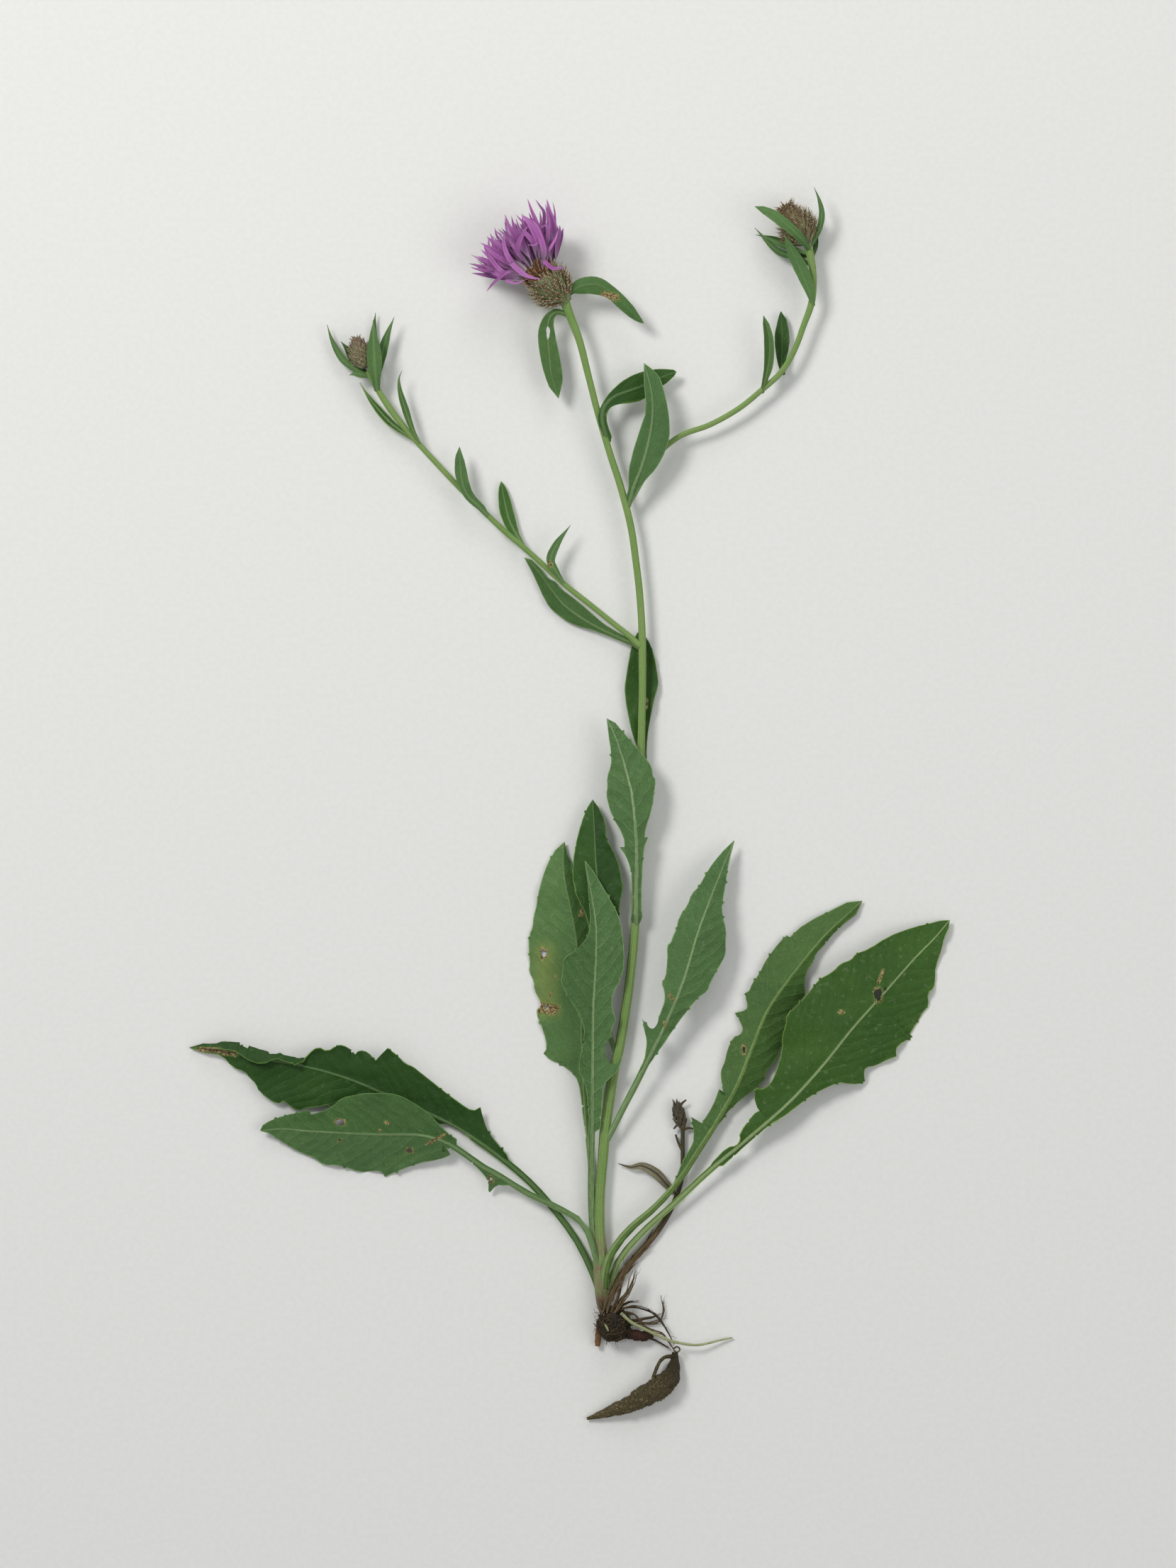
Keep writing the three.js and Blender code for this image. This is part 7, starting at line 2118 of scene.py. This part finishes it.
class MakeRoots(bpy.types.Operator):
    """Builds the root ball with its fibres, the young red rhizome and the white root"""
    bl_idname = "knapweed.roots"
    bl_label = "Living roots"

    def execute(self, context):
        self.root_ball(context.scene.knapweed_root)
        self.red_rhizome()
        pale = Parts()

        def uneven(length, angle):
            return 0.78 + 0.05 * np.sin(length * 1.3)

        sweep(pale, WHITE_ROOT_ROUTE, sides=16, step=1.2, swell=uneven)
        pale.make("white_root", plain("pale young root"), sharp=60)
        return {"FINISHED"}

    def root_ball(self, settings):
        """The lumpy crown and ball with its bundles of roots and its fibres."""
        ball = Parts()
        centre = photo([ROOT_BALL["centre"]])[0]
        reach = np.array(ROOT_BALL["reach"])
        rings, sides = 56, 84
        lat = np.linspace(0, math.pi, rings + 1)[:, None]
        lon = (np.arange(sides) * 2 * math.pi / sides)[None, :]
        way = np.stack([np.sin(lat) * np.cos(lon), np.sin(lat) * np.sin(lon), np.cos(lat) + 0 * lon], -1)
        x, y, z = way[..., 0], way[..., 1], way[..., 2]
        bump = 1 + 0.09 * np.sin(5 * x + 3 * y) + 0.08 * np.cos(6 * y - 4 * z + x)
        points = (centre + way * reach * bump[..., None]).reshape(-1, 3)
        lumps = np.abs(ripple(points, 3.4, 8)) * 0.9 + np.abs(ripple(points, 1.5, 9)) * 0.6
        points -= way.reshape(-1, 3) * (lumps * (settings.roughness / MM))[:, None]
        # The first tone number marks where the bark takes its painted shade colour.
        tone = np.column_stack([np.clip(1 - lumps * 1.6, 0, 1), lumps * 0, lumps * 0])
        ball.add(points, grid_faces(rings + 1, sides, wrap=True), tone=tone)
        sweep(ball, ROOT_STUB, sides=20, step=0.9, swell=scaly, finish=3)
        draw = np.random.RandomState(25)
        for row in FIBRES:
            self.strands(ball, row, draw, shares=(0.6, 0.34, 0.26), spread=0.8)
        for row in FRAYED + CROWN_STRIPS:
            shares = (0.7, 0.55, 0.5, 0.4, 0.35, 0.3, 0.3)
            self.strands(ball, row, draw, shares, spread=1.1)
        tube(ball, photo(GRAIN), [0.22, 0.48, 0.22], finish=4, sides=8)
        self.tangle(ball, centre, reach, draw, settings.fibre_count)
        self.fine_fibres(ball, centre, reach, settings.fibre_count // 2)
        bark = simple_look(
            "dark root bark", settings.bark_colour, "2a241a", "15110c", 1.1, 0.85, 1.0, 0.9
        )
        others = plain("fine root fibre", "dark root fibre", "orange-brown root stub", "pale young root")
        ball.make("root_ball", [bark, *others], sharp=55)

    def red_rhizome(self):
        """The ringed young rhizome with its short fibres."""
        young = Parts()
        route = sweep(young, YOUNG_RHIZOME, sides=28, step=0.7, swell=scaly)
        draw = np.random.RandomState(17)
        count = 170
        share = draw.uniform(0.02, 0.98, count)
        angle = draw.uniform(0, 2 * math.pi, count)
        roots, out, tangent = round_about(route, share, angle, 0.9)
        ways = unit(out + tangent * 0.5)
        hairs(young, roots, ways, length=0.9, width=0.12, finish=1, seed=19)
        skin = simple_look("dark red rhizome", "462416", "2e1a12", "1c100b", 1.5, 0.7, 1.1, 0.8)
        young.make("red_rhizome", [skin, *plain("fine root fibre")], sharp=55)

    def strands(self, ball, row, draw, shares, spread):
        """One root as a bundle: a main strand with finer ones that drift off it, and its rootlets."""
        for k, share in enumerate(shares):
            rows = np.array(row, float)
            rows[:, 3] = np.maximum(rows[:, 3] * share, 0.1)
            rows[-1, 3] = 0.06
            if k:
                drift = draw.normal(size=(len(rows), 2)) * spread
                drift[1:] += drift[:-1] * 0.6
                rows[1:, :2] += drift[1:] * 1.4
                rows[:, 2] += draw.uniform(-0.3, 0.5)
            finish = 1 if draw.uniform() < 0.55 else 2
            route = sweep(
                ball, rows, sides=6, step=1.2, finish=finish, wander=0.4, seed=int(draw.randint(99))
            )
            for place in draw.uniform(0.15, 0.95, int(route.length / 8)):
                root = route.at(place)
                way = unit(route.tangent(place) + draw.normal(size=3) * [0.4, 0.4, 0.2])
                size = draw.uniform(1.5, 5.0)
                bend = unit(way + draw.normal(size=3) * 0.6)
                line = [root, root + way * size * 0.5, root + way * size * 0.5 + bend * size * 0.5]
                tube(ball, line, [0.08, 0.07, 0.03], finish, sides=4)

    def tangle(self, ball, centre, reach, draw, count):
        """Fibres that wind over the face of the ball."""
        for _ in range(count):
            way = unit(draw.normal(size=3) * [1, 1, 0.8])
            drift = unit(np.cross(way, draw.normal(size=3)))
            size = draw.uniform(0.5, 1.5)
            line = []
            for step in np.linspace(0, 1, 5):
                spot = unit(way + drift * size * step + draw.normal(size=3) * 0.16)
                line.append(centre + spot * reach * draw.uniform(0.96, 1.14))
            thick = draw.uniform(0.6, 1.5)
            radii = [0.08 * thick, 0.12 * thick, 0.11 * thick, 0.08 * thick, 0.03]
            tube(ball, line, radii, finish=1 if draw.uniform() < 0.28 else 2, sides=4)

    def fine_fibres(self, ball, centre, reach, count):
        """Short fibres that stick out of the ball."""
        draw = np.random.RandomState(12)
        for _ in range(count):
            way = unit(draw.normal(size=3) * [1, 1, 0.55])
            root = centre + way * reach * 0.93
            drift = unit(way + draw.normal(size=3) * 0.5)
            size = draw.uniform(1.5, 5.5)
            middle = root + drift * size * 0.5
            tip = middle + unit(drift + draw.normal(size=3) * 0.8) * size * 0.5
            finish = 1 if draw.uniform() < 0.5 else 2
            tube(ball, [root, middle, tip], [0.1, 0.08, 0.04], finish, sides=4)


class MakeOldGrowth(bpy.types.Operator):
    """Builds last year's parts: the corky dead rhizome, the dry stalk and the dry leaf"""
    bl_idname = "knapweed.old_growth"
    bl_label = "Old growth"

    def execute(self, context):
        dead = Parts()

        def corky(length, angle):
            broad = 0.06 * np.sin(7 * angle + length * 1.1) + 0.05 * np.sin(length * 1.5 + 2 * angle)
            fine = 0.04 * np.sin(5 * angle - length * 2.7) * np.sin(length * 3.1 + 4 * angle)
            return 1 + broad + fine + 0.03 * np.sin(length * 4.6 + 2 * np.sin(3 * angle))

        def waisted(length, angle):
            return corky(length, angle) * (1 - 0.34 * (1 - smooth(3, 13, length)))

        sweep(dead, DEAD_RHIZOME, sides=48, step=0.4, swell=waisted)
        sweep(dead, DEAD_STRIP, sides=10, step=0.8, swell=corky)
        sweep(dead, DEAD_SPIKE, sides=12, step=0.8, swell=corky)
        sweep(dead, ROOT_RING, sides=8, step=0.5)
        cork = cork_look(context.scene.knapweed_root.cork_colour)
        dead.make("dead_rhizome", [cork], sharp=55)
        self.old_stalk()
        dry = Parts()
        settings = context.scene.knapweed_leaf
        narrow_blade(dry, DRY_LEAF, 11, settings, (0, 0), "dry_leaf", cup=0.25)
        dry.make("dry_leaf", plain("grey dry leaf"), sharp=45)
        return {"FINISHED"}

    def old_stalk(self):
        """The ribbed dry stalk with its peeling strips, its small bracts and its head."""
        old = Parts()

        def ribs(length, angle):
            return 1 + 0.09 * np.cos(8 * angle + length * 0.02)

        route = sweep(old, OLD_STALK, sides=40, step=1.6, swell=ribs)
        draw = np.random.RandomState(31)
        for _ in range(26):
            share = draw.uniform(0.0, 0.42)
            reach = draw.uniform(4.0, 11.0)
            shift = unit(draw.normal(size=3) * [1, 1, 0.5]) * draw.uniform(0.9, 1.6)
            stops = np.clip(share + np.linspace(0, 1, 4) * reach / route.length, 0, 1)
            line = route.at(stops) + shift * np.array([[0.75], [1.0], [1.1], [1.5]])
            line[:, 2] = np.maximum(line[:, 2], 0.3)
            finish = 2 if draw.uniform() < 0.5 else 3
            tube(old, line, [0.16, 0.24, 0.2, 0.06], finish, sides=5)
        sweep(old, OLD_HEAD, sides=24, step=0.7, swell=lambda length, angle: 1 + 0.1 * np.cos(9 * angle))
        for row in OLD_BRACTS:
            sweep(old, row, sides=8, step=0.8)
        bracts(old, Egg(**OLD_CUP), OLD_SCALES, seed=44, finish=1)
        scales = bract_look("old head scale", *BRACT_LOOKS["old head scale"])
        looks = [straw_look(), scales, *plain("fine root fibre", "dark root fibre")]
        old.make("old_stalk", looks, sharp=50)


# The stage in metres. The floor lies a little under the plant. Lamps: place, width and power.
FLOOR_REACH = 3.0
FLOOR_LEVEL = -0.0002
BACKDROP_STRENGTH = 0.42
LAMPS = (
    ("key light", (-0.9, 0.9, 1.5), 0.6, 19.0),
    ("fill light", (1.2, -0.2, 1.4), 1.2, 6.0),
    ("rim light", (0.3, 1.4, 0.9), 0.8, 4.0),
)


class SetStage(bpy.types.Operator):
    """Sets the pale floor, the soft lights and the camera that looks straight down"""
    bl_idname = "knapweed.stage"
    bl_label = "Stage"

    def execute(self, context):
        settings = context.scene.knapweed_stage
        scene = context.scene

        def floor_finish(n):
            grain = n.noise(n.spot(2.0), 1.0, 2.0)
            uneven = n.blend(n.band(grain, 0.3, 0.7), "ffffff", "fcfcfb")
            return n.blend(1.0, settings.floor_colour, uneven, "MULTIPLY"), None

        mesh = bpy.data.meshes.new("pale_floor")
        ways = ((-1, -1), (1, -1), (1, 1), (-1, 1))
        corners = [(x * FLOOR_REACH, y * FLOOR_REACH, FLOOR_LEVEL) for x, y in ways]
        mesh.from_pydata(corners, [], [(0, 1, 2, 3)])
        mesh.materials.append(material("pale paper floor", floor_finish, 0.8, specular=0.2))
        floor = bpy.data.objects.new("pale_floor", mesh)
        scene.collection.objects.link(floor)

        world = bpy.data.worlds.new("pale studio")
        world.use_nodes = True
        backdrop = world.node_tree.nodes["Background"]
        backdrop.inputs[0].default_value = tint("eef1f4")
        backdrop.inputs[1].default_value = BACKDROP_STRENGTH
        scene.world = world

        for name, place, size, power in LAMPS:
            lamp = bpy.data.lights.new(name, "AREA")
            lamp.shape = "DISK"
            lamp.size = size
            lamp.energy = power
            light = bpy.data.objects.new(name, lamp)
            light.location = place
            light.rotation_euler = (-Vector(place)).to_track_quat("-Z", "Y").to_euler()
            scene.collection.objects.link(light)

        camera_data = bpy.data.cameras.new("photo camera")
        camera_data.sensor_width = 36
        camera_data.lens = camera_data.sensor_width * settings.camera_height / settings.framed_height
        camera_data.clip_end = 20
        camera = bpy.data.objects.new("photo camera", camera_data)
        x, y = photo([[PHOTO_SIZE[0] / 2, PHOTO_SIZE[1] / 2, 0]])[0, :2] * MM
        camera.location = (x, y, settings.camera_height)
        scene.collection.objects.link(camera)
        scene.camera = camera
        scene.view_settings.view_transform = "Standard"
        return {"FINISHED"}


class KnapweedPanel(bpy.types.Panel):
    """Lists the settings and the operators of the plant"""
    bl_idname = "VIEW3D_PT_knapweed"
    bl_label = "Brown knapweed"
    bl_space_type = "VIEW_3D"
    bl_region_type = "UI"
    bl_category = "Knapweed"

    def draw(self, context):
        layout = self.layout
        for operator, settings, names in PANEL_ROWS:
            box = layout.box()
            box.operator(operator)
            for name in names:
                box.prop(getattr(context.scene, settings), name)


PANEL_ROWS = (
    ("knapweed.stems", "knapweed_stem", ("colour", "ridges", "ridge_depth", "hair_length")),
    ("knapweed.leaves", "knapweed_leaf", ("under_colour", "upper_colour", "blade_thickness", "lanes")),
    ("knapweed.narrow_leaves", "knapweed_leaf", ()),
    ("knapweed.flower", "knapweed_flower",
     ("petal_colour", "scale_colour", "extra_florets", "scale_count")),
    ("knapweed.buds", "knapweed_flower", ()),
    ("knapweed.roots", "knapweed_root", ("bark_colour", "fibre_count", "roughness")),
    ("knapweed.old_growth", "knapweed_root", ("cork_colour",)),
    ("knapweed.stage", "knapweed_stage", ("floor_colour", "camera_height", "framed_height")),
)
SETTINGS = {
    "knapweed_leaf": LeafSettings,
    "knapweed_stem": StemSettings,
    "knapweed_flower": FlowerSettings,
    "knapweed_root": RootSettings,
    "knapweed_stage": StageSettings,
}
CLASSES = (
    *SETTINGS.values(), MakeStems, MakeLeaves, MakeNarrowLeaves, MakeFlower, MakeBuds, MakeRoots,
    MakeOldGrowth, SetStage, KnapweedPanel,
)


def register():
    for item in CLASSES:
        bpy.utils.register_class(item)
    for name, group in SETTINGS.items():
        setattr(bpy.types.Scene, name, bpy.props.PointerProperty(type=group))


def unregister():
    for name in SETTINGS:
        delattr(bpy.types.Scene, name)
    for item in reversed(CLASSES):
        bpy.utils.unregister_class(item)


def main():
    register()
    bpy.ops.knapweed.stems()
    bpy.ops.knapweed.leaves()
    bpy.ops.knapweed.narrow_leaves()
    bpy.ops.knapweed.flower()
    bpy.ops.knapweed.buds()
    bpy.ops.knapweed.roots()
    bpy.ops.knapweed.old_growth()
    bpy.ops.knapweed.stage()


if __name__ == "__main__":
    main()
